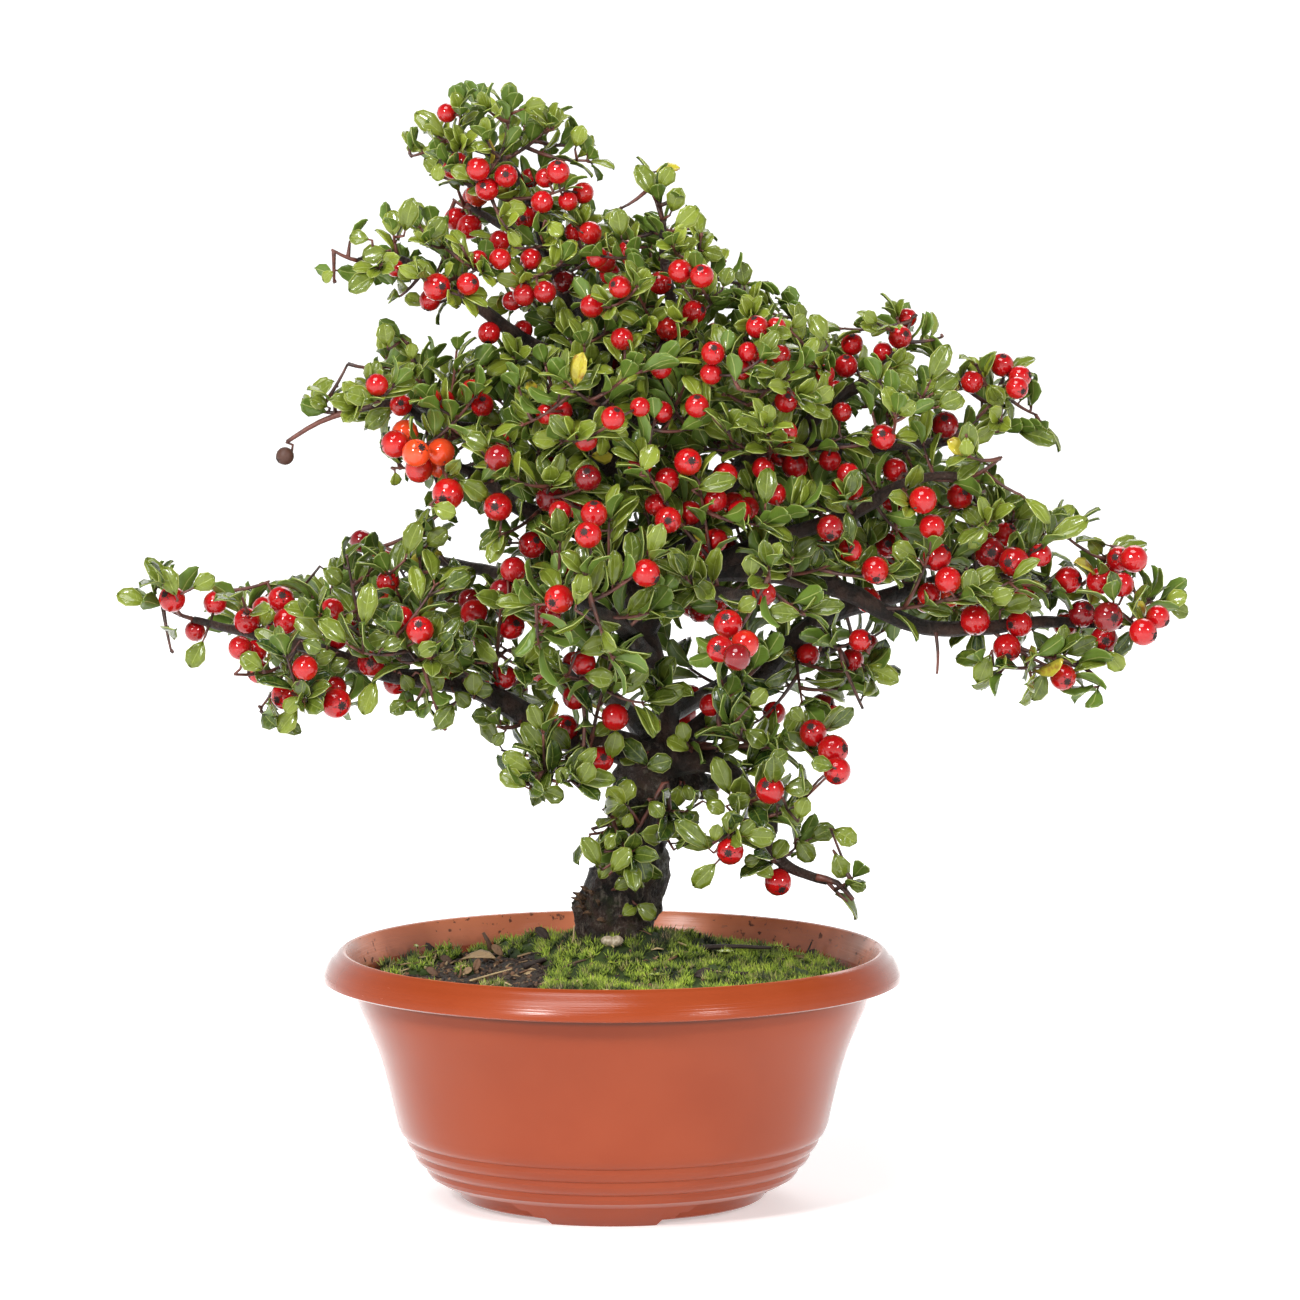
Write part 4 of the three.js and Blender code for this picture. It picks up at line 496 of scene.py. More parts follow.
def photo_point(px, py, depth):
    """The point at a depth in millimetres that the photograph shows at a pixel."""
    ray = VIEW_AHEAD + VIEW_UP * ((PHOTO_MIDDLE - py) / FOCAL_PIXELS)
    ray.x += (px - PHOTO_MIDDLE) / FOCAL_PIXELS
    return CAMERA_PLACE + ray * ((depth * MM - CAMERA_PLACE.y) / ray.y)


def photo_pixel(point):
    """The pixel of the photograph that shows a point."""
    offset = point - CAMERA_PLACE
    ahead = offset.dot(VIEW_AHEAD)
    px = PHOTO_MIDDLE + FOCAL_PIXELS * offset.x / ahead
    return px, PHOTO_MIDDLE - FOCAL_PIXELS * offset.dot(VIEW_UP) / ahead


def metres(point):
    return Vector(point[:3]) * MM


EDGE_STARTS = np.array(CROWN_EDGE, dtype=float)
EDGE_ENDS = np.roll(EDGE_STARTS, -1, axis=0)
EDGE_RISES = EDGE_ENDS[:, 1] - EDGE_STARTS[:, 1] + 1e-9
EDGE_RUNS = EDGE_ENDS[:, 0] - EDGE_STARTS[:, 0]


def in_crown(px, py):
    """Whether a pixel lies inside the crown's edge and clear of the places that show the background."""
    for gap_x, gap_y, wide, high in SEEN_THROUGH:
        if ((px - gap_x) / wide) ** 2 + ((py - gap_y) / high) ** 2 < 1:
            return False
    crosses = (EDGE_STARTS[:, 1] > py) != (EDGE_ENDS[:, 1] > py)
    crossing_x = EDGE_STARTS[:, 0] + (py - EDGE_STARTS[:, 1]) / EDGE_RISES * EDGE_RUNS
    return bool(np.count_nonzero(crosses & (crossing_x > px)) % 2)


# Meshes


class Parts:
    """Gathers the corners, faces, patterns and tones of one piece's mesh."""

    def __init__(self):
        self.corners = []
        self.faces = []
        self.finishes = []
        self.patterns = []
        self.tones = []
        self.count = 0

    def add(self, corners, faces, finish, patterns, tone):
        """Adds a shape. patterns has a (u, v) for each corner, and tone four numbers for each or all."""
        self.corners.append(np.asarray(corners, dtype=float))
        self.faces += [tuple(k + self.count for k in face) for face in faces]
        self.finishes += [finish] * len(faces)
        self.patterns.append(np.asarray(patterns, dtype=float))
        self.tones.append(np.broadcast_to(np.asarray(tone, dtype=float), (len(corners), 4)))
        self.count += len(corners)

    def piece(self, name, materials):
        mesh = bpy.data.meshes.new(name)
        corners = np.concatenate(self.corners)
        mesh.from_pydata(corners.tolist(), [], self.faces)
        mesh.polygons.foreach_set("material_index", self.finishes)
        mesh.polygons.foreach_set("use_smooth", [True] * len(self.faces))
        corner_of = np.zeros(len(mesh.loops), dtype=np.int32)
        mesh.loops.foreach_get("vertex_index", corner_of)
        layer = mesh.uv_layers.new(name="Pattern")
        layer.data.foreach_set("uv", np.concatenate(self.patterns)[corner_of].ravel())
        tone = mesh.color_attributes.new(name="Tone", type="FLOAT_COLOR", domain="POINT")
        tone.data.foreach_set("color", np.concatenate(self.tones).ravel())
        for material in materials:
            mesh.materials.append(material)
        mesh.update()
        piece = bpy.data.objects.new(name, mesh)
        bpy.context.scene.collection.objects.link(piece)
        return piece


def rod(points, radii, sides):
    """Corners, faces and patterns of a round rod through points, with closed ends."""
    corners = []
    patterns = []
    side = Vector((0.3, 1, 0.2)).normalized()
    length = 0
    for i, point in enumerate(points):
        before = points[max(i - 1, 0)]
        after = points[min(i + 1, len(points) - 1)]
        length += (point - before).length
        along = (after - before).normalized()
        side = (side - along * side.dot(along)).normalized()
        other = along.cross(side)
        for k in range(sides):
            angle = 2 * math.pi * k / sides
            corners.append(point + radii[i] * (math.cos(angle) * side + math.sin(angle) * other))
            patterns.append((length, k / sides))
    faces = []
    for i in range(len(points) - 1):
        for k in range(sides):
            a = i * sides + k
            b = i * sides + (k + 1) % sides
            faces.append((a, b, b + sides, a + sides))
    last = (len(points) - 1) * sides
    faces.append(tuple(range(sides - 1, -1, -1)))
    faces.append(tuple(range(last, last + sides)))
    return corners, faces, patterns


def smooth_line(points, step):
    """Points a step apart on a smooth line through the given points, as [place, number] pairs."""
    places = [Vector(p[0]) for p in points]
    values = [p[1] for p in points]
    result = []
    for i in range(len(places) - 1):
        p0 = places[max(i - 1, 0)]
        p1, p2 = places[i], places[i + 1]
        p3 = places[min(i + 2, len(places) - 1)]
        count = max(round((p2 - p1).length / step), 1)
        for k in range(count):
            t = k / count
            place = 0.5 * (
                2 * p1 + (p2 - p0) * t + (2 * p0 - 5 * p1 + 4 * p2 - p3) * t**2
                + (3 * p1 - p0 - 3 * p2 + p3) * t**3
            )
            result.append((place, values[i] + (values[i + 1] - values[i]) * t))
    result.append((places[-1], values[-1]))
    return result


def point_along(points, share):
    lengths = [(b - a).length for a, b in zip(points, points[1:])]
    rest = min(max(share, 0), 1) * sum(lengths)
    for i, length in enumerate(lengths):
        if rest <= length or i == len(lengths) - 1:
            return points[i].lerp(points[i + 1], min(rest / max(length, 1e-9), 1))
        rest -= length


def shoot_line(start, tip, steps=6):
    """A shoot leaves its parent level and turns up towards its tip."""
    bend = (start + tip) / 2
    bend.z -= SHOOT_SAG * (tip - start).length
    line = []
    for k in range(steps + 1):
        t = k / steps
        line.append((1 - t) ** 2 * start + 2 * t * (1 - t) * bend + t**2 * tip)
    return line


# Growing the crown


class Shoot:
    """A twig: its line, the radii at its ends, the spray it belongs to and where its leaves start."""

    def __init__(self, line, root, tip, spray, leafy_from, end_leaf=None):
        self.line = line
        self.root = root
        self.tip = tip
        self.spray = spray
        self.leafy_from = leafy_from
        self.end_leaf = end_leaf


class Wood:
    """All wood that a new twig can grow from, as points with the spray that each belongs to."""

    def __init__(self):
        self.places = []
        self.radii = []
        self.sprays = []
        self.array = None

    def add(self, points, radii, spray, step=2.5 * MM):
        pairs = list(zip(points, radii))
        for (a, ra), (b, rb) in zip(pairs, pairs[1:]):
            count = max(int((b - a).length / step), 1)
            for k in range(count):
                self.places.append(a.lerp(b, (k + 1) / count))
                self.radii.append(ra + (rb - ra) * (k + 1) / count)
                self.sprays.append(spray)
        self.array = None

    def distances(self, place):
        if self.array is None:
            self.array = np.array([tuple(p) for p in self.places])
        return np.linalg.norm(self.array - np.array(place), axis=1)


class Room:
    """Keeps leaves from growing through each other."""

    def __init__(self, cell):
        self.cell = cell
        self.cells = {}

    def key(self, place):
        return tuple(int(math.floor(v / self.cell)) for v in place)

    def add(self, places):
        for place in places:
            self.cells.setdefault(self.key(place), []).append(Vector(place))

    def free(self, places, apart):
        for place in places:
            i, j, k = self.key(place)
            for a in (i - 1, i, i + 1):
                for b in (j - 1, j, j + 1):
                    for c in (k - 1, k, k + 1):
                        for other in self.cells.get((a, b, c), ()):
                            if (other - place).length_squared < apart * apart:
                                return False
        return True


def grown_crown(rng):
    """The branches' and sprays' own wood, then every further twig, each from the nearest wood."""
    wood = Wood()
    shoots = []
    for name, route in BRANCHES.items():
        wood.add([metres(p) for p in route], [p[3] * MM for p in route], None)
    for name, spray in SPRAYS.items():
        root = point_along([metres(p) for p in BRANCHES[spray[0]]], spray[1])
        tips = [metres(p) for p in spray[2:]]
        main = shoot_line(root, tips[0])
        lines = [main]
        for k, tip in enumerate(tips[1:]):
            fork = 0.3 + 0.45 * k / max(len(tips) - 2, 1)
            lines.append(shoot_line(point_along(main, fork), tip))
        for line in lines:
            shoots.append(Shoot(line, TWIG_ROOT_RADIUS, TWIG_TIP_RADIUS, name, 0.15))
            wood.add(line, [TWIG_ROOT_RADIUS * MM] * len(line), name)
    for pixels, near, far, root, tip, leafy_from in SEEN_TWIGS:
        depths = [near + (far - near) * k / (len(pixels) - 1) for k in range(len(pixels))]
        route = [photo_point(px, py, depth) for (px, py), depth in zip(pixels, depths)]
        grow_from_wood(wood, shoots, route, root, tip, leafy_from)
    targets = [photo_point(*tip) for tip in OUTLINE_TIPS]
    targets.sort(key=lambda place: wood.distances(place).min())
    for place in targets:
        grow_to(wood, shoots, place, END_LEAF_REACH * MM, 0.1)
    for place in foliage_targets(wood, shoots, rng):
        grow_to(wood, shoots, place, 0, 0.12)
    return wood, shoots


END_LEAF_REACH = 14
SMALL_LEAVES_ON_TOP = 0.34
LONGEST_TWIG = 46


def high_share(place):
    """0 low in the crown and 1 at its top, where leaves are smaller and closer."""
    return min(max((place.z - 0.18) / 0.13, 0), 1)


def nearest_spray(wood, place):
    gaps = wood.distances(place)
    for k in np.argsort(gaps):
        if wood.sprays[k] is not None:
            return wood.sprays[k]


def grow_from_wood(wood, shoots, route, root, tip, leafy_from):
    """A twig along a route, with a start that joins it to the nearest wood."""
    gaps = wood.distances(route[0])
    start = Vector(wood.places[int(np.argmin(gaps))])
    if (start - route[0]).length > 1.5 * MM:
        route = [start, *route]
    spray = nearest_spray(wood, route[-1])
    line = [place for place, _ in smooth_line([(p, 0) for p in route], 4 * MM)]
    shoots.append(Shoot(line, root, tip, spray, leafy_from))
    wood.add(line, [root * MM] * len(line), spray)


def grow_to(wood, shoots, place, leaf_reach, leafy_from):
    """A twig from the nearest wood towards a place, and a leaf at its end that reaches it."""
    gaps = wood.distances(place) + 0.35 * np.maximum(0, wood.array[:, 2] - place.z)
    start = Vector(wood.places[int(np.argmin(gaps))])
    away = place - start
    if away.length < 5 * MM or away.length > LONGEST_TWIG * MM + leaf_reach:
        return
    tip = place
    end_leaf = None
    if leaf_reach:
        tip = place - away.normalized() * min(leaf_reach, 0.8 * away.length)
        end_leaf = place
    spray = nearest_spray(wood, start)
    line = shoot_line(start, tip)
    shoots.append(Shoot(line, 0.7, TWIG_TIP_RADIUS, spray, leafy_from, end_leaf))
    wood.add(line, [0.6 * MM] * len(line), spray)


def foliage_targets(wood, shoots, rng):
    """Places for tufts, spread evenly through the masses of foliage and sorted from the wood outwards."""
    masses = []
    scale = 0.3265
    for px, py, wide, high, depth, deep in FOLIAGE:
        middle = photo_point(px, py, depth)
        masses.append((middle, Vector((wide * scale, deep, high * scale)) * MM))
    for x, y, z, wide, deep, high in BACK_FOLIAGE:
        masses.append((Vector((x, y, z)) * MM, Vector((wide, deep, high)) * MM))
    tuft_spacing = sizes().tuft_spacing
    taken = Room(tuft_spacing)
    for shoot in shoots:
        taken.add([shoot.line[-1]])
    targets = []
    for middle, half in masses:
        volume = 4 / 3 * math.pi * half.x * half.y * half.z
        for _ in range(int(volume / (0.000001 * 0.18))):
            offset = Vector((rng.uniform(-1, 1), rng.uniform(-1, 1), rng.uniform(-1, 1)))
            if offset.length > 1:
                continue
            place = middle + Vector((offset.x * half.x, offset.y * half.y, offset.z * half.z))
            spacing = tuft_spacing * (1 - SMALL_LEAVES_ON_TOP * high_share(place))
            if in_crown(*photo_pixel(place)) and taken.free([place], spacing):
                taken.add([place])
                targets.append(place)
    targets.sort(key=lambda place: wood.distances(place).min())
    return targets


# Berries


class Berry:
    def __init__(self, centre, radius, calyx, ripeness_and_shade, twig_point, spray, hidden):
        self.centre = centre
        self.radius = radius
        self.calyx = calyx
        self.ripeness_and_shade = ripeness_and_shade
        self.twig_point = twig_point
        self.spray = spray
        self.hidden = hidden


BERRY_STANDS_OUT = 2
HIDDEN_BERRY_DEPTH = 3
STALK_REACH = 8.5


def grown_berries(wood, shoots, rng):
    """Each berry seen in the photograph hangs by the nearest wood on the side that the camera sees."""
    berries = []
    for px, py, radius_pixels, calyx_offset, ripeness_and_shade, hidden in BERRIES:
        radius = radius_pixels * CAMERA_DISTANCE / FOCAL_PIXELS
        sight = photo_point(px, py, 0)
        flat = np.linalg.norm(wood.array[:, [0, 2]] - np.array([sight.x, sight.z]), axis=1)
        rank = flat + 0.16 * (wood.array[:, 1] + 0.1)
        best = int(np.argmin(rank + 0.6 * np.maximum(0, flat - STALK_REACH * MM)))
        twig_point = Vector(wood.places[best])
        stands_out = -BERRY_STANDS_OUT if not hidden else HIDDEN_BERRY_DEPTH
        depth = twig_point.y / MM + stands_out
        centre = photo_point(px, py, depth)
        for _ in range(14):
            if all((centre - b.centre).length > 0.97 * (radius + b.radius) for b in berries):
                break
            depth += 2.5 if hidden else -2
            centre = photo_point(px, py, depth)
        if calyx_offset is None:
            calyx = (centre - twig_point).normalized()
            calyx += 0.5 * Vector((rng.uniform(-1, 1), rng.uniform(-1, 1), rng.uniform(-1, 1)))
            if rng.random() < 0.65:
                calyx.y = abs(calyx.y)
        else:
            sideways = calyx_offset[0] / radius_pixels
            upwards = -calyx_offset[1] / radius_pixels
            ahead = math.sqrt(max(1 - sideways**2 - upwards**2, 0.02))
            calyx = sideways * Vector((1, 0, 0)) + upwards * VIEW_UP - ahead * VIEW_AHEAD
        spray = wood.sprays[best] or nearest_spray(wood, twig_point)
        berries.append(Berry(centre, radius, calyx.normalized(), ripeness_and_shade, twig_point, spray, hidden))
    behind = [k for k, place in enumerate(wood.places) if place.y > 25 * MM and wood.sprays[k]]
    tries = 0
    placed = 0
    while placed < sizes().back_berries and tries < 2000:
        tries += 1
        k = rng.choice(behind)
        away = Vector((rng.uniform(-1, 1), rng.uniform(-0.2, 1), rng.uniform(-1, 0.3))).normalized()
        radius = rng.uniform(3.9, 4.4) * MM
        centre = wood.places[k] + away * (radius + rng.uniform(0.5, 3) * MM)
        if all((centre - b.centre).length > radius + b.radius for b in berries):
            ripeness_and_shade = rng.choice([0.1, 0.3, 0.5, 0.5, 0.8])
            berries.append(Berry(centre, radius, away, ripeness_and_shade, wood.places[k], wood.sprays[k], 1))
            placed += 1
    return berries


# Leaves


class Leaf:
    def __init__(self, foot, outward, face, size, tint, age, spray, breadth=1):
        self.foot = foot
        self.outward = outward
        self.face = face
        self.across = face.cross(outward) * min(max(breadth / size, LEAST_BREADTH), MOST_BREADTH)
        self.size = size
        self.tint = tint
        self.age = age
        self.spray = spray

    def point(self, along, across):
        return self.foot + self.size * (along * self.outward + across * self.across)


LEAF_LENGTH = 15.6
LEAF_WIDTH = 7.6
LEAF_TRIES = 9
LEAF_APART = 1.9
LEAF_RISE = 0.3
SHORT_LEAF_BREADTH = 0.92
GROWN_LEAF_BREADTH = 0.8
LEAST_BREADTH = 0.85
MOST_BREADTH = 1.5
GOLDEN_TURN = math.radians(137.5)


def leaf_samples(leaf):
    length = LEAF_LENGTH * MM
    half = 0.36 * LEAF_WIDTH * MM
    return [
        leaf.point(0.3 * length, 0), leaf.point(0.62 * length, half), leaf.point(0.62 * length, -half),
        leaf.point(0.6 * length, 0), leaf.point(0.95 * length, 0),
    ]


def leaf_from(foot, along, turn, lean, size, spray, rng, target=None):
    aside = Vector((0, 0, 1)).cross(along)
    if aside.length < 0.1:
        aside = Vector((1, 0, 0))
    aside.normalize()
    aside.rotate(Matrix.Rotation(turn, 3, along))
    outward = along * math.cos(lean) + aside * math.sin(lean)
    outward.z += LEAF_RISE * (1 + high_share(foot))
    if target is not None:
        outward = target - foot
    outward.normalize()
    out_of_crown = foot - CROWN_MIDDLE
    out_of_crown.z *= 0.6
    face = 0.85 * along + 0.5 * Vector((0, 0, 1)) + 0.2 * out_of_crown.normalized()
    face += 0.45 * Vector((rng.uniform(-1, 1), rng.uniform(-1, 1), rng.uniform(-1, 1)))
    face -= outward * face.dot(outward)
    if face.length < 0.05:
        face = Vector((0, -1, 0.2)) - outward * Vector((0, -1, 0.2)).dot(outward)
    face.normalize()
    height = high_share(foot)
    size *= 1 - SMALL_LEAVES_ON_TOP * height
    # Besides a random tone, the tint rises with height, so the top of the crown is painted lighter, for its young
    # leaves and as painted light.
    tint = min(0.56 * rng.random() ** 1.2 + 0.55 * height, 1)
    age = 1 if rng.random() < 0.008 else rng.random() * 0.3
    breadth = (GROWN_LEAF_BREADTH - 0.12 * height) * rng.uniform(0.85, 1.2)
    return Leaf(foot, outward, face, size, tint, age, spray, breadth)


def keeps_clear(leaf, samples, berries, shown):
    """A leaf keeps inside the crown's edge and out of the berries and of what must stay in sight."""
    for berry in berries:
        reach = berry.radius + 0.7 * MM
        if any((sample - berry.centre).length_squared < reach * reach for sample in samples):
            return False
    pixels = [photo_pixel(sample) for sample in samples]
    inside = [in_crown(x, y) for x, y in pixels]
    if inside.count(False) > 2 or not inside[0]:
        return False
    for px, py, radius, depth in shown:
        if leaf.foot.y > depth:
            continue
        for x, y in pixels:
            if (x - px) ** 2 + (y - py) ** 2 < radius * radius:
                return False
    return True


def grown_leaves(wood, shoots, berries, rng):
    leaves = []
    room = Room(LEAF_APART * MM)
    shown = [(*photo_pixel(b.centre), 9, b.centre.y) for b in berries if not b.hidden]
    thick = [(p, r) for p, r, s in zip(wood.places, wood.radii, wood.sprays) if s is None]
    thick_places = np.array([tuple(p) for p, _ in thick])
    thick_radii = np.array([r for _, r in thick])

    def try_leaf(foot, along, turn, lean, size, spray, target=None):
        near = [b for b in berries if (b.centre - foot).length < 26 * MM]
        apart = LEAF_APART * (1 - SMALL_LEAVES_ON_TOP * high_share(foot)) * MM
        for attempt in range(LEAF_TRIES):
            spin = turn + (rng.uniform(-0.35, 0.35) if attempt < 2 else rng.uniform(-math.pi, math.pi))
            leaf = leaf_from(foot, along, spin, lean + rng.uniform(-0.2, 0.2), size, spray, rng, target)
            samples = leaf_samples(leaf)
            if not room.free(samples, apart):
                continue
            if not keeps_clear(leaf, samples, near, shown):
                continue
            tip = np.array(samples[3])
            if (np.linalg.norm(thick_places - tip, axis=1) < thick_radii + 1.2 * MM).any():
                continue
            room.add(samples)
            leaves.append(leaf)
            return

    for foot_x, foot_y, tip_x, tip_y, shade in SEEN_LEAVES:
        sight = photo_point(foot_x, foot_y, 0)
        flat = np.linalg.norm(wood.array[:, [0, 2]] - np.array([sight.x, sight.z]), axis=1)
        best = int(np.argmin(flat + 0.14 * (wood.array[:, 1] + 0.1)))
        root = Vector(wood.places[best])
        depth = root.y / MM - min(flat[best] / MM, 6) * 0.5 - wood.radii[best] / MM - 0.5
        slope = rng.uniform(-4, 2)
        face = Vector((rng.uniform(-0.35, 0.35), -1, rng.uniform(0, 0.5)))
        for _ in range(5):
            foot = photo_point(foot_x, foot_y, depth)
            tip = photo_point(tip_x, tip_y, depth + slope)
            outward = (tip - foot).normalized()
            across_face = (face - outward * face.dot(outward)).normalized()
            spray = nearest_spray(wood, foot)
            size = (tip - foot).length / (LEAF_LENGTH * MM)
            # Painted light and shade: the seen leaf's shade becomes its tint.
            leaf = Leaf(foot, outward, across_face, size, shade, 0, spray, SHORT_LEAF_BREADTH)
            samples = leaf_samples(leaf)
            if all((s - b.centre).length > b.radius + 0.3 * MM for s in samples for b in berries):
                break
            depth -= 3
        room.add(samples)
        leaves.append(leaf)
        shown += [(*photo_pixel(samples[k]), 7, samples[k].y) for k in (0, 3)]
        if (foot - root).length > 1.5 * MM:
            shoots.append(Shoot([root, (root + foot) / 2, foot], 0.55, 0.4, spray, 2))

    for shoot in shoots:
        length = sum((b - a).length for a, b in zip(shoot.line, shoot.line[1:]))
        end = shoot.line[-1]
        along = (shoot.line[-1] - shoot.line[-2]).normalized()
        turn = rng.uniform(0, 2 * math.pi)
        if shoot.leafy_from > 1:
            continue
        if shoot.end_leaf is not None:
            try_leaf(end, along, 0, 0, rng.uniform(0.85, 1.05), shoot.spray, shoot.end_leaf)
        for k in range(5):
            size = rng.uniform(0.62, 0.98)
            try_leaf(end, along, turn + k * GOLDEN_TURN, 0.25 + 0.17 * k, size, shoot.spray)
        place = length - 4 * MM
        while place > shoot.leafy_from * length:
            share = place / length
            foot = point_along(shoot.line, share)
            ahead = point_along(shoot.line, min(share + 0.05, 1))
            behind = point_along(shoot.line, max(share - 0.05, 0))
            direction = (ahead - behind).normalized()
            turn += math.pi + rng.uniform(-0.5, 0.5)
            try_leaf(foot, direction, turn, rng.uniform(0.6, 1), rng.uniform(0.8, 1.08), shoot.spray)
            step = sizes().leaf_spacing * (1 - SMALL_LEAVES_ON_TOP * high_share(foot))
            place -= step * rng.uniform(0.75, 1.2)
    return leaves


def trimmed(shoots, leaves, berries):
    """Every twig ends where it bears its last leaf, berry or side twig."""
    borne = [leaf.foot for leaf in leaves] + [Vector(b.twig_point) for b in berries]
    borne += [shoot.line[0] for shoot in shoots]
    borne = np.array([tuple(place) for place in borne])
    kept = []
    for shoot in shoots:
        if shoot.leafy_from > 1:
            kept.append(shoot)
            continue
        points = [place for place, _ in smooth_line([(p, 0) for p in shoot.line], 1 * MM)]
        last = 0
        for k, place in enumerate(points):
            if k > 3 and (np.linalg.norm(borne - np.array(place), axis=1) < 1.2 * MM).any():
                last = k
        if last:
            shoot.line = [*points[:last:3], points[last]]
            kept.append(shoot)
    return kept


# Materials


class Value:
    """A socket of a shader, or a number, that takes part in Python's arithmetic."""

    def __init__(self, maker, socket):
        self.maker = maker
        self.socket = socket

    def math(self, operation, *others):
        values = {0: self.socket}
        for k, other in enumerate(others):
            values[k + 1] = other.socket if isinstance(other, Value) else other
        return self.maker.node("ShaderNodeMath", {"operation": operation}, values)

    def __add__(self, other):
        return self.math("ADD", other)

    __radd__ = __add__

    def __mul__(self, other):
        return self.math("MULTIPLY", other)

    __rmul__ = __mul__

    def __sub__(self, other):
        return self.math("SUBTRACT", other)

    def __rsub__(self, other):
        return (self * -1) + other

    def __truediv__(self, other):
        return self.math("DIVIDE", other)

    def __pow__(self, other):
        return self.math("POWER", other)

    def __abs__(self):
        return self.math("ABSOLUTE")

    def over(self, low, high):
        """0 up to low and 1 from high on, with a smooth rise between."""
        settings = {"interpolation_type": "SMOOTHSTEP"}
        return self.maker.node("ShaderNodeMapRange", settings, {0: self.socket, 1: low, 2: high})


class Finish:
    """Makes one material's nodes."""

    def __init__(self, name, **constants):
        self.material = bpy.data.materials.new(name)
        self.material.use_nodes = True
        self.tree = self.material.node_tree
        self.shader = self.tree.nodes["Principled BSDF"]
        for socket, value in constants.items():
            self.shader.inputs[socket.replace("_", " ")].default_value = value

    def node(self, kind, settings=None, values=None, output=0):
        node = self.tree.nodes.new(kind)
        for name, value in (settings or {}).items():
            if name == "stops":
                while len(node.color_ramp.elements) < len(value):
                    node.color_ramp.elements.new(0.5)
                for element, (position, colour) in zip(node.color_ramp.elements, value):
                    element.position = position
                    element.color = (*colour, 1)
            else:
                setattr(node, name, value)
        for name, value in (values or {}).items():
            if isinstance(value, Value):
                value = value.socket
            if isinstance(value, bpy.types.NodeSocket):
                self.tree.links.new(value, node.inputs[name])
            else:
                node.inputs[name].default_value = value
        return Value(self, node.outputs[output])

    def place(self):
        return self.node("ShaderNodeTexCoord", output="Object")

    def noise(self, scale, detail=2, place=None, roughness=0.5):
        values = {"Vector": place or self.place(), "Scale": scale, "Detail": detail, "Roughness": roughness}
        return self.node("ShaderNodeTexNoise", {}, values)

    def cells(self, scale, feature="F1", place=None):
        values = {"Vector": place or self.place(), "Scale": scale}
        return self.node("ShaderNodeTexVoronoi", {"feature": feature}, values)

    def mix(self, share, first, second):
        settings = {"data_type": "RGBA"}
        values = {0: share, 6: colour(first), 7: colour(second)}
        return self.node("ShaderNodeMix", settings, values, output=2)

    def split(self, vector):
        node = self.tree.nodes.new("ShaderNodeSeparateXYZ")
        self.tree.links.new(vector.socket, node.inputs[0])
        return [Value(self, socket) for socket in node.outputs]

    def bump(self, height, strength, distance):
        values = {"Height": height, "Strength": strength, "Distance": distance}
        normal = self.node("ShaderNodeBump", {}, values)
        self.feed("Normal", normal)

    def feed(self, socket, value):
        self.tree.links.new(value.socket, self.shader.inputs[socket])


def colour(value):
    """A colour socket's value: a link stays, and three numbers get an alpha."""
    return value if isinstance(value, (Value, bpy.types.NodeSocket)) else (*value, 1)


def leaf_finish(colours):
    finish = Finish("leaf_green", Roughness=0.33, Specular_IOR_Level=0.25, Coat_Weight=0.4, Coat_Roughness=0.1)
    pattern = finish.node("ShaderNodeUVMap", {"uv_map": "Pattern"})
    along, across, _ = finish.split(pattern)
    tone = finish.node("ShaderNodeAttribute", {"attribute_name": "Tone"}, output="Vector")
    tint, underside, age = finish.split(tone)
    mottle = finish.noise(420, 2)
    # The tint mixes dark to light green. It is a random tone of the leaves, with painted light at the top of the crown
    # and on the lit seen leaves.
    green = finish.mix(tint, colours.leaf_dark, colours.leaf_light)
    green = finish.mix(mottle.over(0.45, 0.75) * 0.2, green, colours.leaf_light)
    off_middle = abs(across - 0.5) * 2
    slant = finish.node("ShaderNodeMath", {"operation": "FRACT"}, {0: along * 5.5 - off_middle * 0.9})
    vein = (1 - (abs(slant - 0.5) * 2).over(0, 0.22)) * (1 - off_middle.over(0.6, 0.95))
    midrib = 1 - off_middle.over(0.015, 0.09)
    green = finish.mix(vein * 0.1, green, colours.leaf_vein)
    green = finish.mix(midrib * 0.4, green, colours.leaf_vein)
    green = finish.mix(off_middle.over(0.9, 0.97) * 0.6, green, colours.leaf_edge)
    under = finish.mix(midrib * 0.5, colours.leaf_under, colours.leaf_edge)
    green = finish.mix(underside, green, under)
    spots = finish.noise(330, 3).over(0.5, 0.66) * age.over(0.5, 0.9)
    green = finish.mix(age.over(0.6, 0.95) * 0.75, green, colours.leaf_old)
    green = finish.mix(spots * 0.7, green, colours.leaf_spot)
    finish.feed("Base Color", green)
    finish.feed("Roughness", mottle * 0.14 + underside * 0.25 + 0.17)
    finish.bump(mottle * 0.3 - vein * 0.5 - midrib, 0.35, 0.0004)
    return finish.material


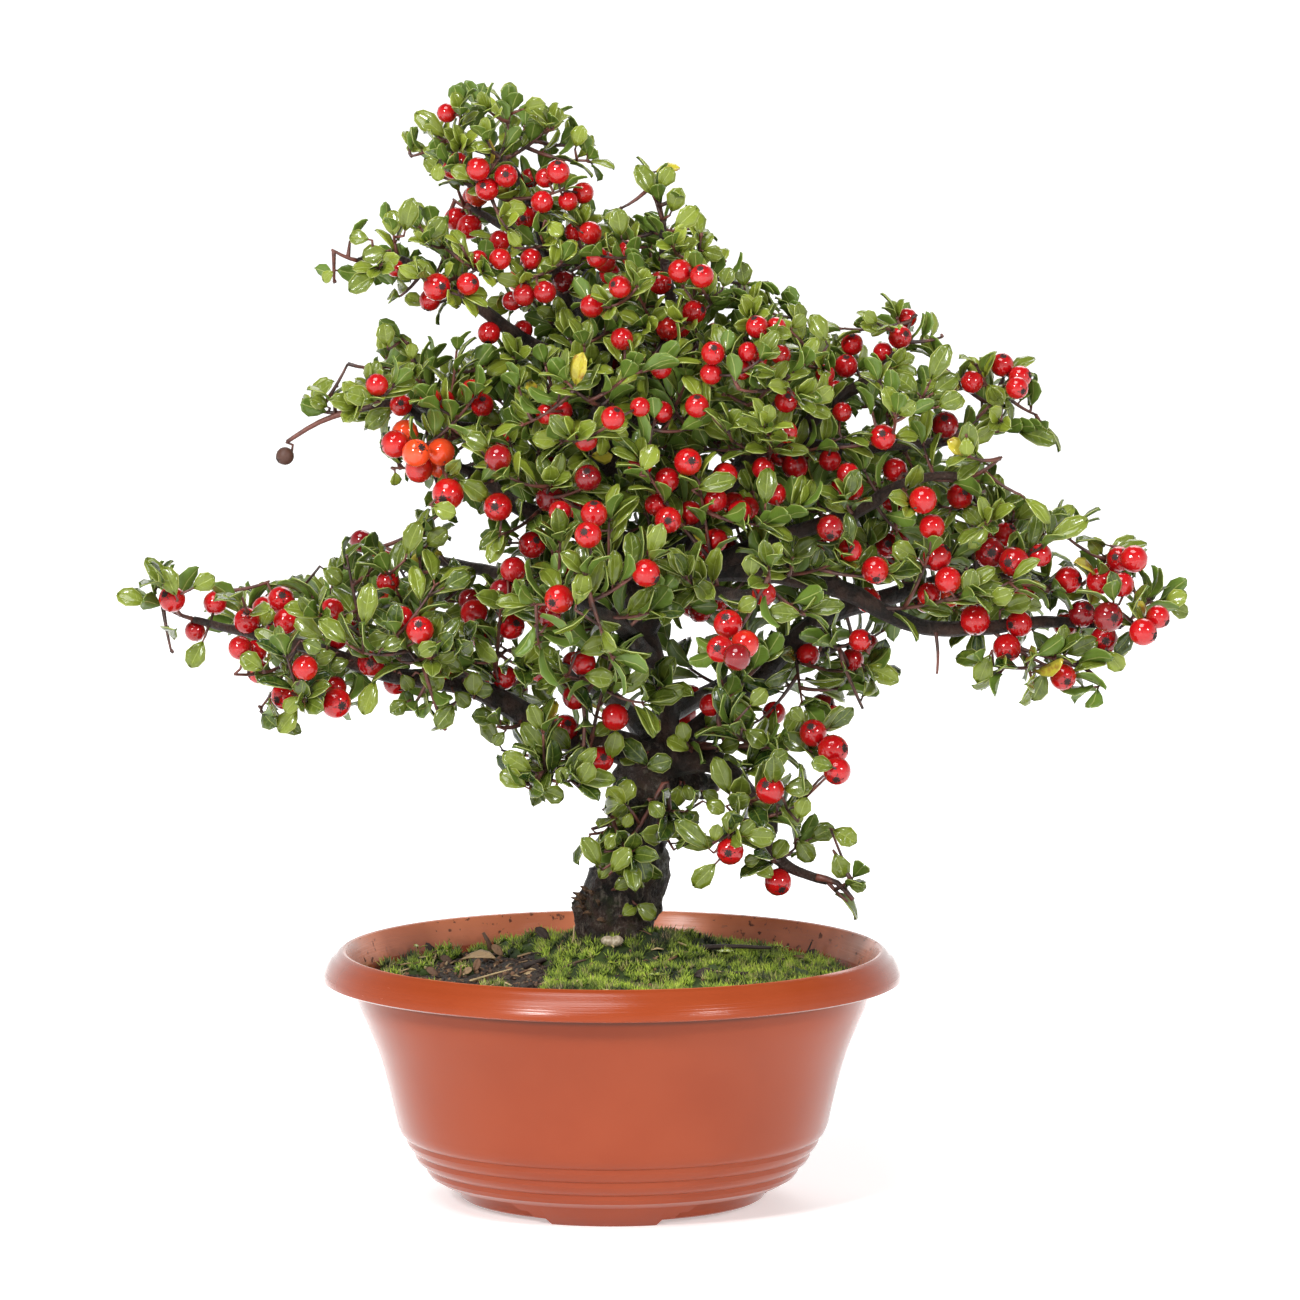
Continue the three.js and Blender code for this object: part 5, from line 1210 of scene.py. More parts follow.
def berry_finish(colours):
    finish = Finish("berry_red", Roughness=0.2, Specular_IOR_Level=0.35, Coat_Roughness=0.05)
    tone = finish.node("ShaderNodeAttribute", {"attribute_name": "Tone"}, output="Vector")
    ripeness_and_shade, calyx, dried = finish.split(tone)
    clouds = finish.noise(260, 2)
    # Painted shade: low values take the deep red of berries in shade.
    red = finish.mix(ripeness_and_shade.over(0, 0.5), colours.berry_deep, colours.berry_red)
    red = finish.mix((ripeness_and_shade + clouds * 0.3 - 0.15).over(0.55, 1), red, colours.berry_orange)
    speckle = 1 - finish.cells(1500).over(0.08, 0.2)
    red = finish.mix(speckle * 0.16, red, colours.berry_speck)
    red = finish.mix(dried, red, colours.dried)
    red = finish.mix(calyx.over(0.25, 0.75), red, colours.calyx)
    finish.feed("Base Color", red)
    finish.feed("Roughness", calyx * 0.5 + clouds * 0.12 + dried * 0.4 + 0.05)
    finish.feed("Coat Weight", (1 - calyx) * (1 - dried) * 0.5)
    finish.bump(clouds + finish.noise(2500, 2) * calyx, 0.15, 0.0003)
    return finish.material


def twig_finish(colours):
    finish = Finish("twig_bark", Roughness=0.5)
    clouds = finish.noise(160, 3)
    grain = finish.noise(1400, 2)
    bark = finish.mix(clouds.over(0.35, 0.65), colours.twig_dark, colours.twig_red)
    bark = finish.mix(grain.over(0.62, 0.75) * 0.5, bark, colours.twig_pale)
    finish.feed("Base Color", bark)
    finish.feed("Roughness", grain * 0.3 + 0.35)
    finish.bump(grain, 0.5, 0.0003)
    return finish.material


def wood_finish(colours):
    finish = Finish("branch_bark", Roughness=0.7)
    tone = finish.node("ShaderNodeAttribute", {"attribute_name": "Tone"}, output="Vector")
    trunk, splinter, _ = finish.split(tone)
    _, _, height = finish.split(finish.place())
    clouds = finish.noise(120, 5, roughness=0.65)
    grain = finish.noise(1300, 4, roughness=0.6)
    tall = finish.node("ShaderNodeMapping", {}, {"Vector": finish.place(), "Scale": (1, 1, 0.45)})
    flakes = finish.noise(480, 5, place=tall, roughness=0.75)
    bark = finish.mix(clouds.over(0.35, 0.68), colours.bark_dark, colours.bark_brown)
    bark = finish.mix(flakes.over(0.52, 0.62) * (0.14 + trunk * 0.5), bark, colours.bark_grey)
    bark = finish.mix((grain * clouds).over(0.3, 0.42) * (0.15 + trunk * 0.25), bark, colours.bark_grey)
    green = finish.noise(140, 4).over(0.5, 0.66) * (1 - height.over(0.1, 0.165)) * trunk
    bark = finish.mix(green * 0.6, bark, colours.lichen)
    bark = finish.mix(splinter * grain.over(0.3, 0.6), bark, colours.splinter)
    finish.feed("Base Color", bark)
    finish.feed("Roughness", grain * 0.4 + 0.25)
    finish.bump(grain + flakes * 3 + clouds * 2, 1, 0.0018)
    return finish.material


# The pot's inner wall leans outwards by this slope from this radius, in metres, at the table's height
WALL_SLOPE = 0.356
WALL_FOOT = 0.0583


def pot_finish(colours):
    finish = Finish("pot_plastic", Roughness=0.4, Specular_IOR_Level=0.28, Coat_Roughness=0.2)
    across, deep, height = finish.split(finish.place())
    clouds = finish.noise(30, 3)
    fine = finish.noise(2600, 2)
    plastic = finish.mix(clouds.over(0.3, 0.7) * 0.25, colours.pot, colours.pot_pale)
    stretched = finish.node("ShaderNodeMapping", {}, {"Vector": finish.place(), "Scale": (40, 40, 260)})
    scratches = finish.noise(6, 4, place=stretched).over(0.71, 0.74)
    plastic = finish.mix(scratches * 0.3, plastic, colours.pot_pale)
    outward = (across * across + deep * deep) ** 0.5
    inner_wall = (1 - outward.over(0.0876, 0.0892)) * height.over(0.0735, 0.0745)
    dirt = finish.noise(420, 3).over(0.62, 0.68) * inner_wall * finish.noise(55, 2).over(0.35, 0.6)
    # The inner wall is darker towards the soil.
    darker_towards_soil = inner_wall * (1 - (height + finish.noise(200, 3) * 0.006).over(0.0765, 0.0815))
    # Painted light: the inner wall and the lip's inner side are mixed towards a pale pink. This is a painted sheen and
    # lightening of the shaded wall, together with a pale film.
    sheen_and_film = inner_wall * (finish.noise(26, 3).over(0.35, 0.7) * 0.4 + 0.45)
    plastic = finish.mix(sheen_and_film, plastic, colours.pot_film)
    plastic = finish.mix(darker_towards_soil * 0.3, plastic, colours.pot_dirt)
    plastic = finish.mix(dirt * 0.85, plastic, colours.pot_dirt)
    # Painted shadow: a dark band on the outer wall just under the rolled lip and inside its fold, in the dirt colour.
    outer = (outward - height * WALL_SLOPE - WALL_FOOT).over(0.0003, 0.0008)
    shade_under_lip = outer * height.over(0.07, 0.0722) * (1 - height.over(0.0768, 0.0772))
    shade_under_lip = shade_under_lip * (1 - outward.over(0.0925, 0.0932))
    plastic = finish.mix(shade_under_lip * 0.85, plastic, colours.pot_dirt)
    finish.feed("Base Color", plastic)
    lip = height.over(0.0715, 0.0725)
    finish.feed("Roughness", 0.38 - lip * 0.2 + clouds * 0.05 + scratches * 0.1 + dirt * 0.4)
    facing = finish.node("ShaderNodeLayerWeight", {}, {"Blend": 0.42}, output="Facing")
    finish.feed("Coat Weight", facing.over(0.35, 0.9) * (1 - dirt))
    along = finish.node("ShaderNodeCombineXYZ", {}, {"X": outward * 0.3, "Z": height})
    rings = finish.noise(2600, 2, place=along) * lip
    finish.bump(fine * 0.25 + clouds * 0.6 + rings * 1.6, 0.14, 0.0004)
    return finish.material


def soil_finish(colours):
    finish = Finish("potting_soil", Roughness=0.9)
    clouds = finish.noise(120, 5, roughness=0.7)
    crumbs = finish.cells(520)
    earth = finish.mix(clouds.over(0.35, 0.7), colours.soil_dark, colours.soil_brown)
    earth = finish.mix(finish.noise(700, 3).over(0.6, 0.72) * 0.5, earth, colours.straw)
    finish.feed("Base Color", earth)
    finish.feed("Roughness", clouds * 0.3 + 0.65)
    finish.bump(crumbs + clouds, 0.9, 0.0015)
    return finish.material


def moss_finish(colours):
    finish = Finish("moss_green", Roughness=0.8)
    tone = finish.node("ShaderNodeAttribute", {"attribute_name": "Tone"}, output="Vector")
    tint, tipness, mat = finish.split(tone)
    clouds = finish.noise(110, 4)
    # Painted shade: the mat under the moss stars and the cushions take mostly the dark green, for the shade in the
    # depth of the moss.
    green = finish.mix(clouds.over(0.32, 0.68) * (1 - mat * 0.75), colours.moss_dark, colours.moss_green)
    green = finish.mix(tipness.over(0.1, 1) * clouds.over(0.32, 0.62), green, colours.moss_tip)
    green = finish.mix(tint.over(0.8, 0.95) * 0.5, green, colours.straw)
    finish.feed("Base Color", green)
    finish.feed("Roughness", clouds * 0.2 + 0.65)
    finish.bump(finish.noise(1500, 3), 0.6, 0.0006)
    return finish.material


def litter_finish(colours):
    finish = Finish("dry_litter", Roughness=0.8)
    tone = finish.node("ShaderNodeAttribute", {"attribute_name": "Tone"}, output="Vector")
    tint, _, _ = finish.split(tone)
    grain = finish.noise(900, 4)
    brown = finish.mix(tint.over(0, 0.5), colours.litter_dark, colours.litter_brown)
    brown = finish.mix(tint.over(0.5, 1), brown, colours.straw)
    brown = finish.mix(grain.over(0.55, 0.7) * 0.4, brown, colours.litter_dark)
    finish.feed("Base Color", brown)
    finish.feed("Roughness", grain * 0.3 + 0.6)
    finish.bump(grain, 0.7, 0.0005)
    return finish.material


def stone_finish(colours):
    finish = Finish("pale_stone", Roughness=0.6)
    grain = finish.noise(800, 5)
    stone = finish.mix(grain.over(0.35, 0.65), colours.stone_warm, colours.stone_pale)
    finish.feed("Base Color", stone)
    finish.feed("Roughness", grain * 0.3 + 0.4)
    finish.bump(grain, 0.4, 0.0004)
    return finish.material


def floor_finish():
    finish = Finish("plain_floor", Roughness=0.6)
    finish.feed("Base Color", finish.mix(finish.noise(3) * 0.02, (0.88, 0.88, 0.88), (0.86, 0.86, 0.86)))
    finish.shader.inputs["Emission Color"].default_value = (1, 1, 1, 1)
    finish.shader.inputs["Emission Strength"].default_value = FLOOR_GLOW
    return finish.material


# Templates modelled once: a leaf and a berry


def in_edit_mode(piece):
    bpy.ops.object.select_all(action="DESELECT")
    bpy.context.view_layer.objects.active = piece
    piece.select_set(True)
    bpy.ops.object.mode_set(mode="EDIT")


def select_where(piece, test):
    """Selects the corners that a test on their place picks, in edit mode."""
    cage = bmesh.from_edit_mesh(piece.data)
    for corner in cage.verts:
        corner.select_set(test(corner.co))
    cage.select_flush(True)
    bmesh.update_edit_mesh(piece.data)


def applied(piece, kind, **settings):
    modifier = piece.modifiers.new(kind.lower(), kind)
    for name, value in settings.items():
        setattr(modifier, name, value)
    bpy.ops.object.select_all(action="DESELECT")
    bpy.context.view_layer.objects.active = piece
    piece.select_set(True)
    bpy.ops.object.modifier_apply(modifier=modifier.name)


def template_arrays(piece):
    """A template's corners, faces and (u, v), after which its object is removed."""
    mesh = piece.data
    corners = np.array([tuple(v.co) for v in mesh.vertices])
    faces = [tuple(p.vertices) for p in mesh.polygons]
    uvs = np.zeros((len(corners), 2))
    for loop, uv in zip(mesh.loops, mesh.uv_layers.active.data):
        uvs[loop.vertex_index] = uv.uv
    bpy.data.objects.remove(piece)
    return corners, faces, uvs


# The leaf's outline: share of its length and half width as a share of the full half width
LEAF_ROWS = [(0, 0.08), (0.25, 0.64), (0.57, 1), (0.87, 0.7), (1, 0.14)]
LEAF_STALK = 2.2


def leaf_template():
    """An obovate leaf along +X with its face up: a grid shaped row by row, folded, arched and thickened."""
    rows = len(LEAF_ROWS) - 1
    bpy.ops.mesh.primitive_grid_add(x_subdivisions=rows, y_subdivisions=4, size=1, location=(0, 0, 0))
    leaf = bpy.context.object
    in_edit_mode(leaf)
    for k, (along, wide) in reversed(list(enumerate(LEAF_ROWS))):
        row = k / rows - 0.5
        select_where(leaf, lambda place: abs(place.x - row) < 0.02 and place.z == 0)
        blade = LEAF_STALK + along * (LEAF_LENGTH - LEAF_STALK)
        arch = 1.2 * math.sin(math.pi * along) - 1.5 * along**3
        bpy.ops.transform.resize(value=(1, wide * LEAF_WIDTH * MM, 1))
        bpy.ops.transform.translate(value=(blade * MM - row, 0, 1 + arch * MM))
    select_where(leaf, lambda place: True)
    bpy.ops.transform.translate(value=(0, 0, -1))
    select_where(leaf, lambda place: abs(place.y) < 0.05 * MM)
    bpy.ops.transform.translate(value=(0, 0, -1.1 * MM))
    bpy.ops.object.mode_set(mode="OBJECT")
    applied(leaf, "SOLIDIFY", thickness=sizes().leaf_thickness, offset=0)
    corners, faces, uvs = template_arrays(leaf)
    side = np.zeros(len(corners))
    half = len(corners) // 2
    side[:half] = 0
    side[half:] = 1
    if corners[:half, 2].mean() < corners[half:, 2].mean():
        side = 1 - side
    return corners, faces, uvs, side


def berry_template():
    """A unit berry with its calyx at +Z: a UV sphere with a dented top and a flattened bottom, with a star of lobes."""
    bpy.ops.mesh.primitive_uv_sphere_add(segments=15, ring_count=9, radius=1)
    berry = bpy.context.object
    in_edit_mode(berry)
    select_where(berry, lambda place: place.z > 0.9)
    bpy.ops.transform.translate(value=(0, 0, 0.02))
    select_where(berry, lambda place: place.z > 0.98)
    bpy.ops.transform.translate(value=(0, 0, -0.16))
    select_where(berry, lambda place: place.z < -0.98)
    bpy.ops.transform.translate(value=(0, 0, 0.12))
    bpy.ops.object.mode_set(mode="OBJECT")
    corners, faces, _ = template_arrays(berry)
    calyx = (corners[:, 2] > 0.9).astype(float) * 0
    star_corners, star_faces = star_lobes()
    faces = faces + [tuple(k + len(corners) for k in face) for face in star_faces]
    calyx = np.concatenate([calyx, np.ones(len(star_corners))])
    corners = np.concatenate([corners, np.array(star_corners)])
    return corners, faces, calyx


def star_lobes():
    """The dried calyx: five pointed lobes round the berry's dented top, as one closed low star."""
    rings = []
    for radius_out, radius_in, height in ((0.58, 0.26, 0.9), (0.5, 0.2, 1.03)):
        ring = []
        for k in range(10):
            angle = math.pi * k / 5
            radius = radius_out if k % 2 == 0 else radius_in
            drop = 0.12 if k % 2 == 0 else 0
            ring.append((radius * math.cos(angle), radius * math.sin(angle), height - drop))
        rings.append(ring)
    corners = [*rings[0], *rings[1], (0, 0, 0.9), (0, 0, 0.7)]
    faces = []
    for k in range(10):
        after = (k + 1) % 10
        faces.append((k, after, 10 + after, 10 + k))
        faces.append((10 + k, 10 + after, 20))
        faces.append((after, k, 21))
    return corners, faces


# Pieces


class ColourProps(bpy.types.PropertyGroup):
    pass


def colour_property(name, description, default):
    return FloatVectorProperty(
        name=name, description=description, default=default, subtype="COLOR", min=0, max=1
    )


ColourProps.__annotations__ = {
    "leaf_dark": colour_property("Dark leaf", "Shaded green of the old leaves", (0.011, 0.033, 0.005)),
    # Light leaf green, also painted as light on the top of the crown and on the lit seen leaves.
    "leaf_light": colour_property("Light leaf", "Green of the young leaves", (0.225, 0.275, 0.026)),
    "leaf_vein": colour_property("Vein", "Pale green of midrib and veins", (0.36, 0.42, 0.09)),
    "leaf_edge": colour_property("Leaf edge", "Pale rim of the leaf", (0.5, 0.52, 0.17)),
    "leaf_under": colour_property("Underside", "Grey green underside", (0.1, 0.165, 0.02)),
    "leaf_old": colour_property("Old leaf", "Yellow of a few old leaves", (0.5, 0.4, 0.035)),
    "leaf_spot": colour_property("Leaf spot", "Brown spots of old leaves", (0.22, 0.07, 0.02)),
    "berry_deep": colour_property("Deep berry", "Berries in shade", (0.16, 0.003, 0.006)),
    "berry_red": colour_property("Red berry", "Ripe berries", (0.41, 0.004, 0.006)),
    "berry_orange": colour_property("Orange berry", "Berries still ripening", (0.74, 0.062, 0.014)),
    "berry_speck": colour_property("Berry speck", "Pale specks on the skin", (0.9, 0.3, 0.2)),
    "calyx": colour_property("Calyx", "Dried calyx of a berry", (0.022, 0.01, 0.008)),
    "dried": colour_property("Dried berry", "Brown dried berry", (0.07, 0.03, 0.02)),
    "twig_dark": colour_property("Dark twig", "Dark bark of twigs", (0.035, 0.016, 0.012)),
    "twig_red": colour_property("Red twig", "Reddish bark of young twigs", (0.14, 0.04, 0.026)),
    "twig_pale": colour_property("Pale twig", "Pale flecks on twigs", (0.3, 0.16, 0.1)),
    "bark_dark": colour_property("Dark bark", "Near black bark", (0.008, 0.006, 0.005)),
    "bark_brown": colour_property("Brown bark", "Brown bark", (0.07, 0.036, 0.025)),
    "bark_grey": colour_property("Grey bark", "Grey flakes of bark", (0.21, 0.175, 0.14)),
    "splinter": colour_property("Splinter", "Torn wood of the root stump", (0.26, 0.14, 0.07)),
    "lichen": colour_property("Lichen", "Green film on the trunk", (0.035, 0.05, 0.012)),
    "pot": colour_property("Pot", "Terracotta coloured plastic", (0.242, 0.039, 0.0105)),
    "pot_pale": colour_property("Pale plastic", "Worn and scratched plastic", (0.32, 0.064, 0.022)),
    # Pale pink of the inner wall: a film, together with painted sheen and painted light on the shaded wall.
    "pot_film": colour_property("Film", "Pale film on the inner wall", (0.8, 0.27, 0.14)),
    # Dark brown of soil on the inner wall. It is also used for the painted shadow under the lip.
    "pot_dirt": colour_property("Dirt", "Soil splashed on the inner wall", (0.05, 0.022, 0.014)),
    "soil_dark": colour_property("Dark soil", "Moist soil", (0.012, 0.008, 0.006)),
    "soil_brown": colour_property("Brown soil", "Drier soil", (0.06, 0.035, 0.02)),
    "moss_dark": colour_property("Dark moss", "Depth of the moss", (0.007, 0.014, 0.002)),
    "moss_green": colour_property("Moss", "Green of the moss", (0.1, 0.18, 0.009)),
    "moss_tip": colour_property("Moss tip", "Bright tips of the moss", (0.58, 0.72, 0.06)),
    "litter_dark": colour_property("Dark litter", "Wet dead leaves and twigs", (0.025, 0.014, 0.01)),
    "litter_brown": colour_property("Brown litter", "Brown dead leaves", (0.16, 0.08, 0.04)),
    "straw": colour_property("Straw", "Dry grass", (0.45, 0.33, 0.17)),
    "stone_warm": colour_property("Warm stone", "Warm grey of the stone", (0.26, 0.2, 0.13)),
    "stone_pale": colour_property("Pale stone", "Pale grey of the stone", (0.5, 0.42, 0.31)),
}


def colours():
    return bpy.context.scene.bonsai_colours


class SizeProps(bpy.types.PropertyGroup):
    pass


def length_property(name, description, default):
    return FloatProperty(name=name, description=description, default=default, unit="LENGTH", min=0)


def count_property(name, description, default):
    return IntProperty(name=name, description=description, default=default, min=0)


SizeProps.__annotations__ = {
    "leaf_thickness": length_property("Leaf thickness", "Thickness of a leaf's blade", 0.00034),
    "leaf_spacing": length_property("Leaf spacing", "Distance between leaves along a twig", 0.0047),
    "tuft_spacing": length_property("Tuft spacing", "Distance between tufts of leaves", 0.0148),
    "back_berries": count_property("Back berries", "Berries on the side not photographed", 80),
    "moss_stars": count_property("Moss stars", "Small stars that stand on the moss", 4800),
    "soil_crumbs": count_property("Soil crumbs", "Loose crumbs of soil and bark", 1500),
    "straws": count_property("Straws", "Short straws scattered on the ground", 190),
}


def sizes():
    return bpy.context.scene.bonsai_sizes


def soil_height(x, y):
    """Height of the soil, in millimetres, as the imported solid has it."""
    distance = math.hypot(x - TRUNK_FOOT[0], y - TRUNK_FOOT[1])
    mound = SOIL_MOUND * math.exp(-((distance / SOIL_MOUND_REACH) ** 2))
    waves = 0.7 * math.sin(x / 13 + 1.2) * math.cos(y / 11)
    return SOIL_EDGE_HEIGHT + mound + waves


ROOM_LOW_LIGHT = 1
ROOM_HIGH_LIGHT = 0.12
FLOOR_GLOW = 0.4
SUN_LIGHT = 2.1
# Softboxes: name, place in metres, size in metres and power in watts
AREA_LIGHTS = [
    ("soft_left", (-1.2, -1.9, 1.4), 0.4, 44),
    ("soft_right", (1.5, -1.7, 1.2), 0.35, 22),
    ("soft_back", (0.4, 1.6, 1.7), 1.2, 16),
]


class BONSAI_OT_stage(bpy.types.Operator):
    """Adds the camera at the photograph's viewing angle, the pale floor and the soft studio light"""

    bl_idname = "bonsai.stage"
    bl_label = "Stage"

    def execute(self, context):
        camera_data = bpy.data.cameras.new("photo_camera")
        camera_data.sensor_fit = "HORIZONTAL"
        camera_data.sensor_width = SENSOR_WIDTH
        camera_data.lens = FOCAL_PIXELS * SENSOR_WIDTH / PHOTO_SIZE
        camera_data.clip_start = 0.05
        camera_data.clip_end = 50
        camera = bpy.data.objects.new("photo_camera", camera_data)
        camera.location = CAMERA_PLACE
        camera.rotation_euler = (math.pi / 2 - CAMERA_TILT, 0, 0)
        context.scene.collection.objects.link(camera)
        context.scene.camera = camera
        bpy.ops.object.select_all(action="DESELECT")
        bpy.ops.mesh.primitive_circle_add(vertices=96, radius=60, fill_type="NGON", location=(0, 0, 0))
        floor = context.object
        floor.name = "pale_floor"
        floor.data.materials.append(floor_finish())
        world = bpy.data.worlds.new("white_room")
        world.use_nodes = True
        background = world.node_tree.nodes["Background"]
        background.inputs["Color"].default_value = (1, 1, 1, 1)
        nodes = world.node_tree.nodes
        links = world.node_tree.links
        direction = nodes.new("ShaderNodeTexCoord")
        split = nodes.new("ShaderNodeSeparateXYZ")
        links.new(direction.outputs["Generated"], split.inputs[0])
        rising = nodes.new("ShaderNodeMapRange")
        links.new(split.outputs["Z"], rising.inputs["Value"])
        for socket, value in ((1, 0.15), (2, 0.7), (3, ROOM_LOW_LIGHT), (4, ROOM_HIGH_LIGHT)):
            rising.inputs[socket].default_value = value
        path = nodes.new("ShaderNodeLightPath")
        shown = nodes.new("ShaderNodeMath")
        shown.operation = "MAXIMUM"
        links.new(path.outputs["Is Camera Ray"], shown.inputs[0])
        links.new(rising.outputs[0], shown.inputs[1])
        links.new(shown.outputs[0], background.inputs["Strength"])
        context.scene.world = world
        context.scene.view_settings.view_transform = "Standard"
        sky = bpy.data.lights.new("soft_sun", "SUN")
        sky.energy = SUN_LIGHT
        sky.angle = math.radians(32)
        sun = bpy.data.objects.new("soft_sun", sky)
        sun.rotation_euler = (math.radians(24), math.radians(-14), 0)
        context.scene.collection.objects.link(sun)
        for name, place, size, power in AREA_LIGHTS:
            light_data = bpy.data.lights.new(name, "AREA")
            light_data.shape = "SQUARE"
            light_data.size = size
            light_data.energy = power
            light = bpy.data.objects.new(name, light_data)
            light.location = place
            aim = CAMERA_AIM - Vector(place)
            light.rotation_euler = aim.to_track_quat("-Z", "Y").to_euler()
            context.scene.collection.objects.link(light)
        return {"FINISHED"}


# The pot's outside and inside from the middle of its base round to the middle of its floor, in
# millimetres from the axis and from the table
POT_PROFILE = [
    (0, 1.5), (49.2, 1.5), (50, 2), (52.2, 6), (53.4, 7.2), (57.2, 7.1), (57.8, 7.6), (60.2, 8.9),
    (61.2, 10.4), (61.4, 11.9), (62.1, 12.3), (64.2, 13.8), (65, 15.2), (65, 16.8), (65.7, 17.2),
    (67.1, 18.6), (67.8, 20), (67.8, 21.5), (68.5, 21.9), (69.7, 23.1), (70.4, 24.6), (71, 26.3),
    (72.4, 32.6), (74.1, 39.6), (75.8, 45.9), (77.9, 52.2), (80, 57.1), (82, 62), (83.3, 65), (84.1, 68),
    (84.9, 71.5), (86, 76), (89, 76.9), (92.3, 76.8), (92.7, 74.4), (93.2, 73.5), (94.2, 73.3),
    (95, 73.8), (94.9, 75), (94.5, 76.1), (94.2, 76.6), (93.6, 78), (92, 80.2), (91, 80.9), (90.6, 81.5),
    (89.6, 82.5), (88.5, 83), (87.6, 82.8), (87.2, 82.2), (86.2, 79), (83, 70), (81, 62.5), (76.5, 52),
    (72.2, 39), (68.6, 28), (64.6, 20), (58, 12), (52.5, 7.6), (46, 4.2), (0, 4),
]
POT_STEPS = 160
FOOT_TIERS = [(16.8, 0), (18.8, 2.1), (22.5, 2.4), (24.6, 4.4), (27.5, 4.7), (30.7, 7.4)]
FOOT_TURN = -3
FOOT_SECTION = [(46, 0), (50.2, 0), (50.8, 0.4), (57, 7.4), (55, 8), (46, 3), (46, 0)]
DRAIN_HOLES = 5
DRAIN_RADIUS = 4.5
DRAIN_CIRCLE = 30


def spun_profile(name, profile, steps):
    """A closed wall: a profile extruded point by point, then spun about Z and welded."""
    bpy.ops.object.select_all(action="DESELECT")
    bpy.ops.mesh.primitive_plane_add(size=0.001, location=(0, 0, 0))
    wall = bpy.context.object
    wall.name = name
    wall.data.name = name
    bpy.ops.object.mode_set(mode="EDIT")
    bpy.ops.mesh.merge(type="CENTER")
    first = Vector((profile[0][0], 0, profile[0][1])) * MM
    bpy.ops.transform.translate(value=first)
    for (r0, z0), (r1, z1) in zip(profile, profile[1:]):
        step = Vector((r1 - r0, 0, z1 - z0)) * MM
        bpy.ops.mesh.extrude_region_move(TRANSFORM_OT_translate={"value": step})
    bpy.ops.mesh.select_all(action="SELECT")
    bpy.ops.mesh.spin(steps=steps, angle=2 * math.pi, center=(0, 0, 0), axis=(0, 0, 1))
    bpy.ops.mesh.select_all(action="SELECT")
    bpy.ops.mesh.remove_doubles(threshold=0.00001)
    bpy.ops.mesh.normals_make_consistent(inside=False)
    bpy.ops.object.mode_set(mode="OBJECT")
    return wall


def foot_ring():
    """The three stepped feet: a slab with each foot's front shape, cut to a ring under the bowl."""
    feet = []
    for k in range(3):
        bpy.ops.object.select_all(action="DESELECT")
        bpy.ops.mesh.primitive_plane_add(size=0.001, location=(0, 0, 0))
        foot = bpy.context.object
        bpy.ops.object.mode_set(mode="EDIT")
        bpy.ops.mesh.merge(type="CENTER")
        outline = [*FOOT_TIERS, *[(-x, z) for x, z in reversed(FOOT_TIERS)], FOOT_TIERS[0]]
        bpy.ops.transform.translate(value=Vector((outline[0][0], -36, outline[0][1])) * MM)
        for (x0, z0), (x1, z1) in zip(outline, outline[1:]):
            step = Vector((x1 - x0, 0, z1 - z0)) * MM
            bpy.ops.mesh.extrude_region_move(TRANSFORM_OT_translate={"value": step})
        bpy.ops.mesh.select_all(action="SELECT")
        bpy.ops.mesh.remove_doubles(threshold=0.00001)
        bpy.ops.mesh.select_all(action="SELECT")
        bpy.ops.mesh.edge_face_add()
        bpy.ops.mesh.extrude_region_move(TRANSFORM_OT_translate={"value": (0, -0.03, 0)})
        bpy.ops.mesh.select_all(action="SELECT")
        bpy.ops.mesh.normals_make_consistent(inside=False)
        bpy.ops.object.mode_set(mode="OBJECT")
        foot.rotation_euler.z = math.radians(FOOT_TURN + 120 * k)
        bpy.ops.object.transform_apply(rotation=True)
        ring = spun_profile("foot_ring", FOOT_SECTION, POT_STEPS)
        applied(ring, "BOOLEAN", operation="INTERSECT", object=foot, solver="EXACT")
        bpy.data.objects.remove(foot)
        feet.append(ring)
    return feet


def drilled(pot):
    """Cuts the drain holes through the floor."""
    for k in range(DRAIN_HOLES):
        angle = 2 * math.pi * k / DRAIN_HOLES
        place = (DRAIN_CIRCLE * MM * math.cos(angle), DRAIN_CIRCLE * MM * math.sin(angle), 0.002)
        bpy.ops.object.select_all(action="DESELECT")
        bpy.ops.mesh.primitive_cylinder_add(vertices=24, radius=DRAIN_RADIUS * MM, depth=0.03, location=place)
        drill = bpy.context.object
        applied(pot, "BOOLEAN", operation="DIFFERENCE", object=drill, solver="EXACT")
        bpy.data.objects.remove(drill)


class BONSAI_OT_pot(bpy.types.Operator):
    """Adds the moulded plastic bowl with its folded lip, ridges, stepped feet and drain holes"""

    bl_idname = "bonsai.pot"
    bl_label = "Pot"

    def execute(self, context):
        pot = spun_profile("pot_bowl", POT_PROFILE, POT_STEPS)
        drilled(pot)
        feet = foot_ring()
        bpy.ops.object.select_all(action="DESELECT")
        for foot in feet:
            foot.select_set(True)
        pot.select_set(True)
        bpy.context.view_layer.objects.active = pot
        bpy.ops.object.join()
        bpy.ops.object.shade_smooth_by_angle(angle=math.radians(26))
        pot.data.materials.append(pot_finish(colours()))
        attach(pot, "root")
        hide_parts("pot")
        return {"FINISHED"}


WOOD_SIDES = 12
